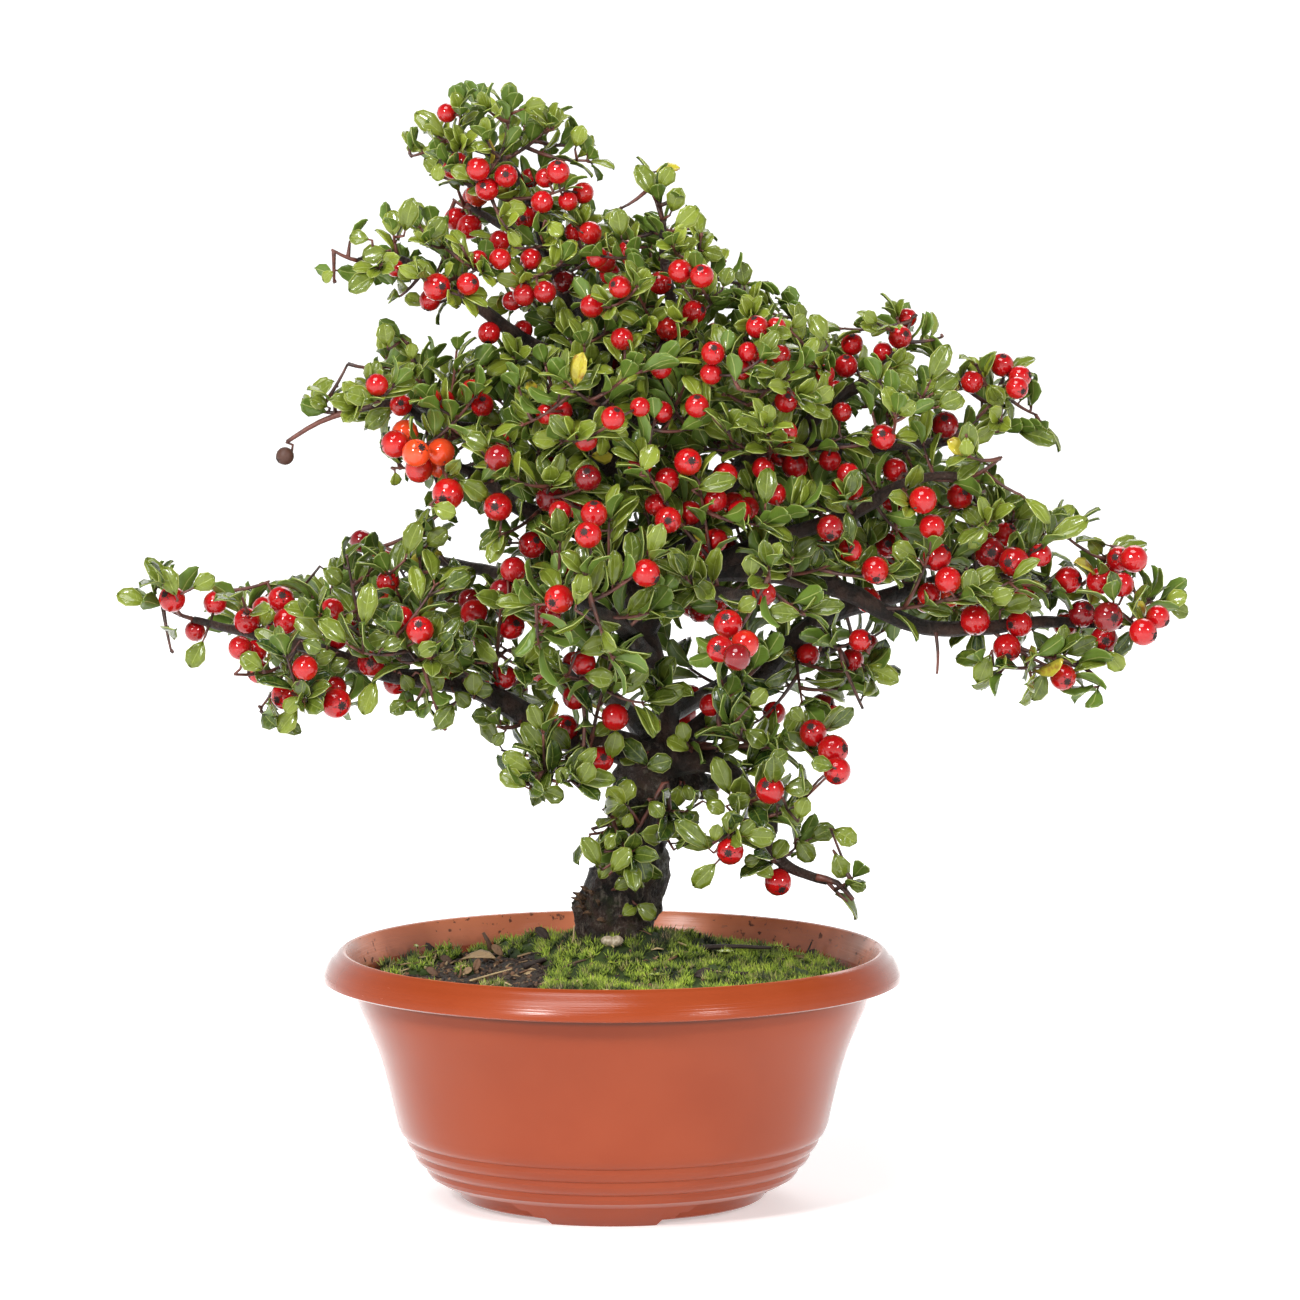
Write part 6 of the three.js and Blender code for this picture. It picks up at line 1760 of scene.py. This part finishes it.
# Splinters of the torn root stump: foot, tip and radius, in millimetres
SPLINTERS = [
    [(-9, 6, 98.5), (-13, 3.5, 101), 1.1], [(-9.5, 8, 97), (-13.6, 6, 99), 0.9], [(-8, 7, 100.5), (-10.5, 4.5, 103), 1],
    [(-6, 5, 99.5), (-8, 2, 102), 1], [(-9, 5, 95.5), (-12, 2.5, 96.5), 0.9], [(-7, 4, 94), (-9.5, 1, 94.5), 1],
    [(-4, 3, 97), (-5.5, 0.5, 99), 0.9], [(-3, 2, 92), (-5, -0.5, 92.5), 1],
]


def bark_relief(corner, is_trunk):
    """How far the bark stands out at a corner: lumps, and on the trunk flaking ridges too."""
    push = noise.noise_vector(corner * 160) * 0.00045
    if not is_trunk:
        return push * 0.75
    ridges = 1 - abs(noise.noise(Vector((corner.x * 330, corner.y * 330, corner.z * 120))))
    fine = noise.noise_vector(corner * 700) * 0.0005
    return push * 2.6 + fine * 1.3 + noise.noise_vector(corner * 330) * 0.0013 * ridges


class BONSAI_OT_wood(bpy.types.Operator):
    """Adds the trunk and branches with their bark"""

    bl_idname = "bonsai.wood"
    bl_label = "Trunk and branches"

    def execute(self, context):
        parts = Parts()
        for name, route in BRANCHES.items():
            is_trunk = name in ("trunk", "root_stump", "right_stub")
            line = smooth_line([(metres(p), p[3] * MM) for p in route], (1 if is_trunk else 2) * MM)
            sides = 56 if is_trunk else WOOD_SIDES
            corners, faces, patterns = rod([p for p, _ in line], [r for _, r in line], sides)
            shaped = []
            for corner in corners:
                shaped.append(corner + bark_relief(corner, is_trunk))
            parts.add(shaped, faces, 0, patterns, (1 if is_trunk else 0, 0, 0, 1))
        for foot, tip, radius in SPLINTERS:
            line = [metres(foot), (metres(foot) + metres(tip)) / 2 + Vector((0, 0, 0.4)) * MM, metres(tip)]
            corners, faces, patterns = rod(line, [radius * MM, radius * 0.8 * MM, radius * 0.25 * MM], 5)
            parts.add(corners, faces, 0, patterns, (0, 1, 0, 1))
        wood = parts.piece("bark_wood", [wood_finish(colours())])
        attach(wood, "root")
        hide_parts("trunk_and_branches")
        return {"FINISHED"}


class BONSAI_OT_sprays(bpy.types.Operator):
    """Grows the leafy sprays with their twigs, leaves and berries, one piece for each packed spray"""

    bl_idname = "bonsai.sprays"
    bl_label = "Leafy sprays"

    def execute(self, context):
        rng = random.Random(7)
        wood, shoots = grown_crown(rng)
        wood.distances(CROWN_MIDDLE)
        berries = grown_berries(wood, shoots, rng)
        leaves = grown_leaves(wood, shoots, berries, rng)
        shoots = trimmed(shoots, leaves, berries)
        finishes = [twig_finish(colours()), leaf_finish(colours()), berry_finish(colours())]
        leaf = leaf_template()
        berry = berry_template()
        parts = {name: Parts() for name in SPRAYS}
        for shoot in shoots:
            add_twig(parts[shoot.spray], shoot.line, shoot.root * MM, shoot.tip * MM)
        for grown in berries:
            add_berry(parts[grown.spray], grown, berry)
        for px, py, depth, radius_pixels in FAR_BERRIES:
            centre = photo_point(px, py, depth)
            hung = centre + Vector((0.5, 0, 3.5)) * MM
            radius = radius_pixels * CAMERA_DISTANCE / FOCAL_PIXELS
            add_berry(parts["right_under"], Berry(centre, radius, Vector((0, 0, -1)), 0.5, hung, "", 0), berry)
        for px, py, depth, radius_pixels in DRIED_BERRIES:
            centre = photo_point(px, py, depth)
            hung = centre + Vector((0.3, 0, 4.5)) * MM
            radius = radius_pixels * CAMERA_DISTANCE / FOCAL_PIXELS
            dried = Berry(centre, radius, Vector((-0.75, -0.2, -0.4)).normalized(), -1, hung, "", 0)
            add_berry(parts["left_high_front"], dried, berry)
        for grown in leaves:
            add_leaf(parts[grown.spray], grown, leaf)
        for name, gathered in parts.items():
            piece = gathered.piece("foliage_" + name, finishes)
            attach(piece, "root")
            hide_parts("spray_" + name)
        return {"FINISHED"}


def add_twig(parts, line, root, tip):
    count = len(line) - 1
    radii = [root + (tip - root) * k / count for k in range(count + 1)]
    corners, faces, patterns = rod(line, radii, 5)
    parts.add(corners, faces, 0, patterns, (0, 0, 0, 1))


def turned_to(direction):
    """A rotation that takes +Z to a direction."""
    return Vector((0, 0, 1)).rotation_difference(direction).to_matrix()


def add_berry(parts, grown, template):
    corners, faces, calyx = template
    turn = np.array(turned_to(grown.calyx))
    centre = np.array(grown.centre)
    placed = corners @ turn.T * grown.radius + centre
    tones = np.zeros((len(corners), 4))
    tones[:, 0] = max(grown.ripeness_and_shade, 0)
    tones[:, 1] = calyx
    tones[:, 2] = 1 if grown.ripeness_and_shade < 0 else 0
    tones[:, 3] = 1
    parts.add(placed, faces, 2, corners[:, :2], tones)
    foot = grown.centre - grown.calyx * grown.radius * 0.85
    bend = (foot + grown.twig_point) / 2 - grown.calyx * 1.5 * MM
    stalk, stalk_faces, patterns = rod([grown.twig_point, bend, foot], [0.45 * MM] * 3, 5)
    parts.add(stalk, stalk_faces, 0, patterns, (0, 0, 0, 1))


def add_leaf(parts, grown, template):
    corners, faces, uvs, side = template
    turn = np.column_stack([grown.outward, grown.across, grown.face])
    placed = corners @ turn.T * grown.size + np.array(grown.foot)
    tones = np.zeros((len(corners), 4))
    tones[:, 0] = grown.tint
    tones[:, 1] = side
    tones[:, 2] = grown.age
    tones[:, 3] = 1
    parts.add(placed, faces, 1, uvs, tones)
    end = grown.foot + grown.outward * (LEAF_STALK + 0.4) * grown.size * MM
    stalk, stalk_faces, patterns = rod([grown.foot, end], [0.38 * MM, 0.32 * MM], 3)
    parts.add(stalk, stalk_faces, 0, patterns, (0, 0, 0, 1))


SOIL_WALLS = [
    (0, 4.5), (46, 4.7), (52.3, 8), (57.6, 12.5), (64.1, 20.5), (68.1, 28.5), (71.7, 39.4), (76, 52.4),
    (80.4, 62.5), (82.2, 69), (82.6, 71),
]
SOIL_RING_STEP = 1.6
SOIL_STEPS = 150
TOP_MARK = 120
MOSS_MIDDLE = (27, 0)
MOSS_WALL_RADIUS = 79
MOSS_LEFT_EDGE = -26
MOSS_DEPTH = 3
MOSS_LIFT = 0.85
MOSS_RINGS = 40
MOSS_SIDES = 120
# Little moss cushions on the bare side and by the wall: x, y, radius and height in millimetres
MOSS_CUSHIONS = [
    (-56, 47, 5.5, 4), (-25, 66, 8, 6), (-66, 41, 6, 3), (-74, 28, 4, 2.5), (-33, -58, 9, 3), (-48, 12, 4, 2),
    (14, 4, 9, 6.5), (-30, 30, 7, 3.5), (-60, -20, 5, 2), (-38, -30, 6, 2.5), (-72, 4, 4, 2), (-44, 52, 5, 3),
    (-64, 16, 5, 4), (-36, 44, 6, 5), (-68, -32, 4, 2.5),
]
GROUND_REACH = 79.5


def moss_reach(angle):
    dx = math.cos(angle)
    dy = math.sin(angle)
    along = MOSS_MIDDLE[0] * dx + MOSS_MIDDLE[1] * dy
    offset = MOSS_MIDDLE[0] ** 2 + MOSS_MIDDLE[1] ** 2 - MOSS_WALL_RADIUS**2
    to_wall = -along + math.sqrt(along**2 - offset)
    to_left = (MOSS_LEFT_EDGE - MOSS_MIDDLE[0]) / dx if dx < -0.05 else to_wall
    wobble = 0.94 + 0.04 * math.sin(5 * angle) + 0.02 * math.sin(11 * angle + 1)
    return min(to_wall, to_left) * wobble


def hummocks(x, y):
    """Low swells of the moss, in millimetres."""
    place = Vector((x / 9, y / 9, 3.7))
    return 2.9 * noise.noise(place) + 1.7 * noise.noise(place * 2.6)


def moss_thickness(x, y):
    """How thick the moss lies at a place, in millimetres, and 0 off the moss."""
    dx = x - MOSS_MIDDLE[0]
    dy = y - MOSS_MIDDLE[1]
    ring = math.hypot(dx, dy) / moss_reach(math.atan2(dy, dx))
    thick = 0
    if ring < 1:
        thick = (MOSS_DEPTH + hummocks(x, y)) * (1 - 0.6 * ring**4) + MOSS_LIFT
    for cx, cy, radius, height in MOSS_CUSHIONS:
        share = math.hypot(x - cx, y - cy) / radius
        if share < 1:
            thick = max(thick, height * math.sqrt(1 - share**2))
    return thick


def ground_height(x, y):
    return soil_height(x, y) + moss_thickness(x, y)


def ground_point(px, py):
    """Where the ground lies under a pixel of the photograph."""
    for step in range(-820, 820, 4):
        place = photo_point(px, py, step / 10)
        if place.z / MM <= ground_height(place.x / MM, place.y / MM):
            break
    outward = math.hypot(place.x, place.y)
    if outward > GROUND_REACH * MM:
        place.x *= GROUND_REACH * MM / outward
        place.y *= GROUND_REACH * MM / outward
        place.z = ground_height(place.x / MM, place.y / MM) * MM
    return place


def raised_point(foot, foot_pixel, top_pixel):
    """The point as far from a foot as two pixels of the photograph are apart."""
    scale = CAMERA_DISTANCE / FOCAL_PIXELS
    sideways = (top_pixel[0] - foot_pixel[0]) * scale
    upwards = (foot_pixel[1] - top_pixel[1]) * scale
    return foot + Vector((sideways, 0, upwards))


def soil_piece():
    rings = []
    radius = SOIL_WALLS[-1][0]
    while radius > SOIL_RING_STEP:
        radius -= SOIL_RING_STEP
        rings.append((radius, TOP_MARK))
    soil = spun_profile("soil_bed", [*SOIL_WALLS, (82.5, TOP_MARK), *rings, (0, TOP_MARK)], SOIL_STEPS)
    for corner in soil.data.vertices:
        if corner.co.z > (TOP_MARK - 1) * MM:
            x = corner.co.x / MM
            y = corner.co.y / MM
            lumps = 0.9 * noise.noise(Vector((x / 3, y / 3, 1))) + 0.6 * noise.noise(Vector((x, y, 5)))
            corner.co.z = (soil_height(x, y) + lumps) * MM
    bpy.context.view_layer.objects.active = soil
    bpy.ops.object.shade_smooth()
    return soil


def scattered(rng, count, inside):
    """Seeded places inside the pot that a test accepts."""
    places = []
    while len(places) < count:
        x = rng.uniform(-82, 82)
        y = rng.uniform(-82, 82)
        if math.hypot(x, y) < 81.5 and inside(x, y):
            places.append((x, y))
    return places


def crumb_template():
    bpy.ops.object.select_all(action="DESELECT")
    bpy.ops.mesh.primitive_ico_sphere_add(subdivisions=1, radius=1, location=(0, 0, 0))
    crumb = bpy.context.object
    in_edit_mode(crumb)
    select_where(crumb, lambda place: place.x > 0.3)
    bpy.ops.transform.resize(value=(1.3, 0.7, 0.8))
    select_where(crumb, lambda place: place.z < -0.3)
    bpy.ops.transform.resize(value=(0.8, 1.2, 0.6))
    bpy.ops.object.mode_set(mode="OBJECT")
    return template_arrays(crumb)


def random_turn(rng):
    axis = Vector((rng.uniform(-1, 1), rng.uniform(-1, 1), rng.uniform(-1, 1))).normalized()
    return Matrix.Rotation(rng.uniform(0, 2 * math.pi), 3, axis)


def crumbs_piece(rng):
    """Loose crumbs of soil and bark, mostly on the side without moss."""
    corners, faces, _ = crumb_template()
    parts = Parts()
    for x, y in scattered(rng, sizes().soil_crumbs, lambda x, y: moss_thickness(x, y) < 1 or rng.random() < 0.22):
        size = rng.choice([0.3, 0.4, 0.5, 0.7, 1]) * MM
        turn = np.array(random_turn(rng)) * size
        centre = Vector((x, y, ground_height(x, y) + 0.2)) * MM
        placed = corners @ turn.T + np.array(centre)
        parts.add(placed, faces, 0, corners[:, :2], (rng.random() ** 2 * 0.6, 0, 0, 1))
    return parts.piece("soil_crumbs", [litter_finish(colours())])


def tuft_template():
    """One star of moss: five slim leaflets round an upright one, each a thin pyramid."""
    corners = []
    faces = []
    heights = []
    leaflets = [(0, 0.15, 1.7)]
    leaflets += [(math.radians(72 * k + 12), 0.85 + 0.1 * (k % 2), 1.0 + 0.35 * (k % 3)) for k in range(5)]
    for angle, reach, height in leaflets:
        tip = Vector((reach * math.cos(angle), reach * math.sin(angle), height))
        aside = Vector((-math.sin(angle), math.cos(angle), 0)) * 0.2
        back = Vector((math.cos(angle), math.sin(angle), 0)) * 0.16
        first = len(corners)
        corners += [aside, -aside, back - Vector((0, 0, 0.1)), tip]
        heights += [0, 0, 0, 1]
        a, b, c, d = range(first, first + 4)
        faces += [(a, b, d), (b, c, d), (c, a, d), (a, c, b)]
    return np.array([tuple(c) for c in corners]), faces, np.array(heights)


def moss_piece(rng):
    """The mat with its swells, and thousands of small stars of moss standing on it."""
    parts = Parts()
    corners = []
    for j in range(MOSS_RINGS + 1):
        for k in range(MOSS_SIDES):
            angle = 2 * math.pi * k / MOSS_SIDES
            reach = moss_reach(angle) * min(j / MOSS_RINGS, 0.9995)
            x = MOSS_MIDDLE[0] + reach * math.cos(angle)
            y = MOSS_MIDDLE[1] + reach * math.sin(angle)
            rough = 0.45 * noise.noise(Vector((x * 0.9, y * 0.9, 2)))
            corners.append(Vector((x, y, ground_height(x, y) + rough)) * MM)
    faces = []
    for j in range(1, MOSS_RINGS):
        for k in range(MOSS_SIDES):
            a = j * MOSS_SIDES + k
            b = j * MOSS_SIDES + (k + 1) % MOSS_SIDES
            faces.append((a, a + MOSS_SIDES, b + MOSS_SIDES, b))
    faces.append(tuple(range(MOSS_SIDES, 2 * MOSS_SIDES)))
    under = len(corners)
    for k in range(MOSS_SIDES):
        low = corners[MOSS_RINGS * MOSS_SIDES + k].copy()
        low.z = (soil_height(low.x / MM, low.y / MM) - 0.6) * MM
        corners.append(low)
        a = MOSS_RINGS * MOSS_SIDES + k
        b = MOSS_RINGS * MOSS_SIDES + (k + 1) % MOSS_SIDES
        faces.append((a, under + k, under + (k + 1) % MOSS_SIDES, b))
    faces.append(tuple(range(under + MOSS_SIDES - 1, under - 1, -1)))
    parts.add(corners, faces, 0, [(c.x, c.y) for c in corners], (0, 0, 1, 1))
    for cx, cy, radius, height in MOSS_CUSHIONS:
        add_cushion(parts, cx, cy, radius, height)
    star, star_faces, heights = tuft_template()

    def mossy(x, y):
        thick = moss_thickness(x, y)
        gap = noise.noise(Vector((x / 5, y / 5, 9))) + 0.5 * noise.noise(Vector((x / 2, y / 2, 4)))
        return thick > 0.6 and gap > 0.02 - 0.2 * rng.random()

    for x, y in scattered(rng, sizes().moss_stars, mossy):
        size = rng.uniform(0.9, 2.3) * MM
        lean = Matrix.Rotation(rng.uniform(-0.5, 0.5), 3, "X") @ Matrix.Rotation(rng.uniform(-0.5, 0.5), 3, "Y")
        turn = np.array(lean @ Matrix.Rotation(rng.uniform(0, 6.28), 3, "Z")) * size
        centre = Vector((x, y, ground_height(x, y) - 0.15)) * MM
        tones = np.zeros((len(star), 4))
        tones[:, 0] = rng.random()
        tones[:, 1] = heights * rng.uniform(0.5, 1)
        parts.add(star @ turn.T + np.array(centre), star_faces, 0, star[:, :2], tones)
    return parts.piece("moss_mat", [moss_finish(colours())])


def add_cushion(parts, cx, cy, radius, height):
    """A small dome of moss on the bare soil."""
    corners = []
    rings = 5
    sides = 16
    for j in range(rings):
        for k in range(sides):
            angle = 2 * math.pi * k / sides
            reach = radius * (1 - j / rings)
            x = cx + reach * math.cos(angle)
            y = cy + reach * math.sin(angle)
            rise = height * math.sqrt(max(0, 1 - (reach / radius) ** 2)) if j else -0.6
            corners.append(Vector((x, y, soil_height(x, y) + rise)) * MM)
    corners.append(Vector((cx, cy, soil_height(cx, cy) + height)) * MM)
    faces = []
    for j in range(rings - 1):
        for k in range(sides):
            a = j * sides + k
            b = j * sides + (k + 1) % sides
            faces.append((a, b, b + sides, a + sides))
    top = rings * sides
    for k in range(sides):
        faces.append(((rings - 1) * sides + k, (rings - 1) * sides + (k + 1) % sides, top))
    faces.append(tuple(range(sides - 1, -1, -1)))
    parts.add(corners, faces, 0, [(c.x, c.y) for c in corners], (0, 0, 1, 1))


# Twigs and straws lying on the ground: pixel route, radius in millimetres, tone (0 dark to 1 straw) and
# how far they stand off the ground in millimetres
LYING_TWIGS = [
    [[(664, 939), (676, 944), (690, 949), (703, 951)], 0.45, 1, 0.8],
    [[(655, 972), (664, 965), (674, 960), (683, 956)], 0.5, 0.45, 0.8],
    [[(703, 979), (722, 976), (735, 976), (749, 976)], 0.9, 0, 0.9],
    [[(762, 941), (780, 943), (797, 946)], 0.6, 0, 0.6],
    [[(470, 984), (490, 978), (512, 972)], 0.4, 0.9, 1],
    [[(524, 969), (536, 965), (547, 961)], 1.1, 0, 0.8],
    [[(560, 972), (572, 966), (586, 962)], 0.5, 0.2, 0.8],
    [[(425, 972), (433, 966), (436, 958)], 0.5, 0.9, 1.4],
    [[(446, 969), (449, 962), (447, 955)], 0.4, 0.8, 1.6],
    [[(700, 938), (706, 934), (713, 935)], 0.5, 0, 1.4],
]
# Straws and sticks that stand up: foot pixel, top pixel, radius and tone
STANDING_STICKS = [
    [(571, 945), (574, 925), 0.35, 1], [(492, 950), (483, 932), 1.0, 0.25], [(411, 958), (417, 946), 0.3, 0.7],
    [(840, 955), (852, 936), 0.5, 0.1], [(458, 978), (461, 965), 0.5, 0.5], [(556, 948), (563, 940), 0.6, 0.3],
]
# Dead leaves: foot and tip in pixels, size as a share of a full leaf and tone
DEAD_LEAVES = [
    (690, 978, 703, 975, 0.5, 0), (374, 950, 370, 941, 0.35, 0.05), (391, 951, 386, 943, 0.3, 0.05),
    (552, 943, 542, 934, 0.45, 0.05), (505, 960, 497, 951, 0.4, 0.6), (474, 976, 477, 966, 0.35, 0.45),
    (440, 979, 431, 972, 0.35, 0.3), (460, 977, 466, 973, 0.3, 0.7), (521, 975, 528, 974, 0.35, 0.8),
    (860, 953, 871, 946, 0.35, 0.1), (760, 925, 752, 920, 0.3, 0.1), (455, 965, 447, 961, 0.35, 0.2),
]
# Green seedlings: pixel of the foot and number of leaves
SEEDLINGS = [(655, 985, 5), (724, 962, 6), (821, 947, 4), (836, 948, 4), (394, 960, 3), (612, 973, 3)]


def add_rod(parts, line, radii, tone, sides=6):
    corners, faces, patterns = rod(line, radii, sides)
    parts.add(corners, faces, 0, patterns, (tone, 0, 0, 1))


def lying_line(route, off):
    """A line through pixels on the ground, standing off it by some millimetres."""
    places = []
    for px, py in route:
        place = ground_point(px, py)
        place.z += off * MM
        places.append((place, 0))
    return [place for place, _ in smooth_line(places, 1.5 * MM)]


def twigs_piece(rng):
    """The fallen twig in its solid's place, with the other twigs and straws that lie about."""
    parts = Parts()
    low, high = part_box("fallen_twig")
    middle = (low + high) / 2
    line = []
    for k in range(9):
        share = k / 8
        place = Vector((low.x + (high.x - low.x) * share, 0, 0))
        place.y = low.y + (high.y - low.y) * min(1.4 * share, 1.6 - 0.9 * share)
        place.z = middle.z + 0.3 * MM * math.sin(5 * share)
        line.append(place)
    add_rod(parts, line, [0.95 * MM - 0.05 * MM * k for k in range(9)], 0)
    for route, radius, tone, off in LYING_TWIGS:
        line = lying_line(route, off)
        add_rod(parts, line, [radius * MM * (1 - 0.4 * k / len(line)) for k in range(len(line))], tone)
    for foot_pixel, top_pixel, radius, tone in STANDING_STICKS:
        foot = ground_point(*foot_pixel)
        top = raised_point(foot, foot_pixel, top_pixel)
        foot.z -= 1 * MM
        middle = (foot + top) / 2 + Vector((0.4, 0, 0)) * MM
        add_rod(parts, [foot, middle, top], [radius * MM, radius * 0.85 * MM, radius * 0.5 * MM], tone)
    for x, y in scattered(rng, sizes().straws, lambda x, y: x < -20 or rng.random() < 0.4):
        angle = rng.uniform(0, 2 * math.pi)
        half = Vector((math.cos(angle), math.sin(angle), rng.uniform(-0.1, 0.25))) * rng.uniform(1.5, 4) * MM
        centre = Vector((x, y, ground_height(x, y) + 0.7)) * MM
        ends = [centre - half, centre + Vector((0, 0, 0.4)) * MM, centre + half]
        if any(math.hypot(end.x, end.y) > 81.5 * MM for end in ends):
            continue
        radius = rng.uniform(0.15, 0.4) * MM
        add_rod(parts, ends, [radius, radius, radius * 0.5], rng.choice([0, 0.1, 0.4, 0.7, 1]), 4)
    return parts.piece("fallen_twigs", [litter_finish(colours())])


def add_ground_leaf(parts, template, foot, tip, size, tone, face):
    """A leaf from a foot towards a tip, with its face up as far as it can be."""
    corners, faces, uvs, _ = template
    outward = (tip - foot).normalized()
    face = (face - outward * face.dot(outward)).normalized()
    turn = np.column_stack([outward, face.cross(outward), face]) * size
    parts.add(corners @ turn.T + np.array(foot), faces, 0, uvs, (tone, 0, 0, 1))


def dead_leaves_piece(template):
    """The tan dead leaf in its solid's place, and the other dead leaves."""
    parts = Parts()
    low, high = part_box("dead_leaf")
    foot = Vector((high.x, low.y, (low.z + high.z) / 2))
    tip = Vector((low.x, high.y, (low.z + high.z) / 2))
    add_ground_leaf(parts, template, foot, tip, 1, 0.75, Vector((0, -0.3, 1)))
    for foot_x, foot_y, tip_x, tip_y, size, tone in DEAD_LEAVES:
        foot = ground_point(foot_x, foot_y)
        foot.z += 0.5 * MM
        tip = raised_point(foot, (foot_x, foot_y), (tip_x, tip_y))
        add_ground_leaf(parts, template, foot, tip, size, tone, Vector((0.2, -1, 0.5)))
    return parts.piece("dead_leaves", [litter_finish(colours())])


def seedlings_piece(template, finish):
    parts = Parts()
    corners, faces, uvs, side = template
    for px, py, count in SEEDLINGS:
        foot = ground_point(px, py)
        top = foot + Vector((0.3, 0, 2.6)) * MM
        line, line_faces, patterns = rod([foot, top], [0.2 * MM, 0.15 * MM], 5)
        parts.add(line, line_faces, 0, patterns, (0.9, 0, 0, 1))
        for k in range(count):
            angle = 2 * math.pi * k / count
            outward = Vector((math.cos(angle), math.sin(angle), 0.5)).normalized()
            face = Vector((0, 0, 1)) - outward * outward.z
            face.normalize()
            turn = np.column_stack([outward, face.cross(outward), face]) * 0.2
            tones = np.zeros((len(corners), 4))
            tones[:, 0] = 1
            tones[:, 1] = side
            parts.add(corners @ turn.T + np.array(top), faces, 0, uvs, tones)
    return parts.piece("seedlings", [finish])


def stone_piece():
    """The pale bean-shaped stone, in its solid's place."""
    low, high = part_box("stone")
    middle = (low + high) / 2
    half = (high - low) / 2
    bpy.ops.object.select_all(action="DESELECT")
    bpy.ops.mesh.primitive_uv_sphere_add(segments=28, ring_count=16, radius=1, location=(0, 0, 0))
    stone = bpy.context.object
    stone.name = "pale_pebble"
    stone.data.name = "pale_pebble"
    for corner in stone.data.vertices:
        place = corner.co.copy()
        waist = 1 - 0.28 * math.exp(-((place.x / 0.3) ** 2)) * max(0, 0.4 + place.z)
        place *= waist + 0.07 * noise.noise(place * 1.7)
        corner.co = middle + Vector((place.x * half.x, place.y * half.y, place.z * half.z))
    bpy.ops.object.shade_smooth()
    return stone


class BONSAI_OT_ground(bpy.types.Operator):
    """Adds the soil with its crumbs, the moss, the stone and all that has fallen on them"""

    bl_idname = "bonsai.ground"
    bl_label = "Soil, moss and litter"

    def execute(self, context):
        rng = random.Random(23)
        soil = soil_piece()
        soil.data.materials.append(soil_finish(colours()))
        stone = stone_piece()
        stone.data.materials.append(stone_finish(colours()))
        template = leaf_template()
        seedlings = seedlings_piece(template, leaf_finish(colours()))
        for piece, node, slot in (
            (soil, "soil", "soil"), (crumbs_piece(rng), "soil", "soil"), (moss_piece(rng), "moss", "moss"),
            (stone, "stone", "stone"), (twigs_piece(rng), "fallen_twig", "litter"),
            (dead_leaves_piece(template), "dead_leaf", "litter"), (seedlings, "moss", "leaf"),
        ):
            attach(piece, "root")
            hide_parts(node)
        return {"FINISHED"}


class BONSAI_PT_panel(bpy.types.Panel):
    """Lists the steps that build the bonsai"""

    bl_idname = "BONSAI_PT_panel"
    bl_label = "Cotoneaster bonsai"
    bl_space_type = "VIEW_3D"
    bl_region_type = "UI"
    bl_category = "Bonsai"

    def draw(self, context):
        for step in STEPS:
            self.layout.operator(step.bl_idname)
        for group in (sizes(), colours()):
            for name in type(group).__annotations__:
                self.layout.prop(group, name)


STEPS = [BONSAI_OT_stage, BONSAI_OT_pot, BONSAI_OT_ground, BONSAI_OT_wood, BONSAI_OT_sprays]
CLASSES = [SizeProps, ColourProps, *STEPS, BONSAI_PT_panel]


def register():
    for kind in CLASSES:
        bpy.utils.register_class(kind)
    bpy.types.Scene.bonsai_sizes = bpy.props.PointerProperty(type=SizeProps)
    bpy.types.Scene.bonsai_colours = bpy.props.PointerProperty(type=ColourProps)


def unregister():
    del bpy.types.Scene.bonsai_sizes
    del bpy.types.Scene.bonsai_colours
    for kind in reversed(CLASSES):
        bpy.utils.unregister_class(kind)


def main():
    register()
    bpy.ops.bonsai.stage()
    bpy.ops.bonsai.pot()
    bpy.ops.bonsai.ground()
    bpy.ops.bonsai.wood()
    bpy.ops.bonsai.sprays()
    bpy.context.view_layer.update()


if __name__ == "__main__":
    main()
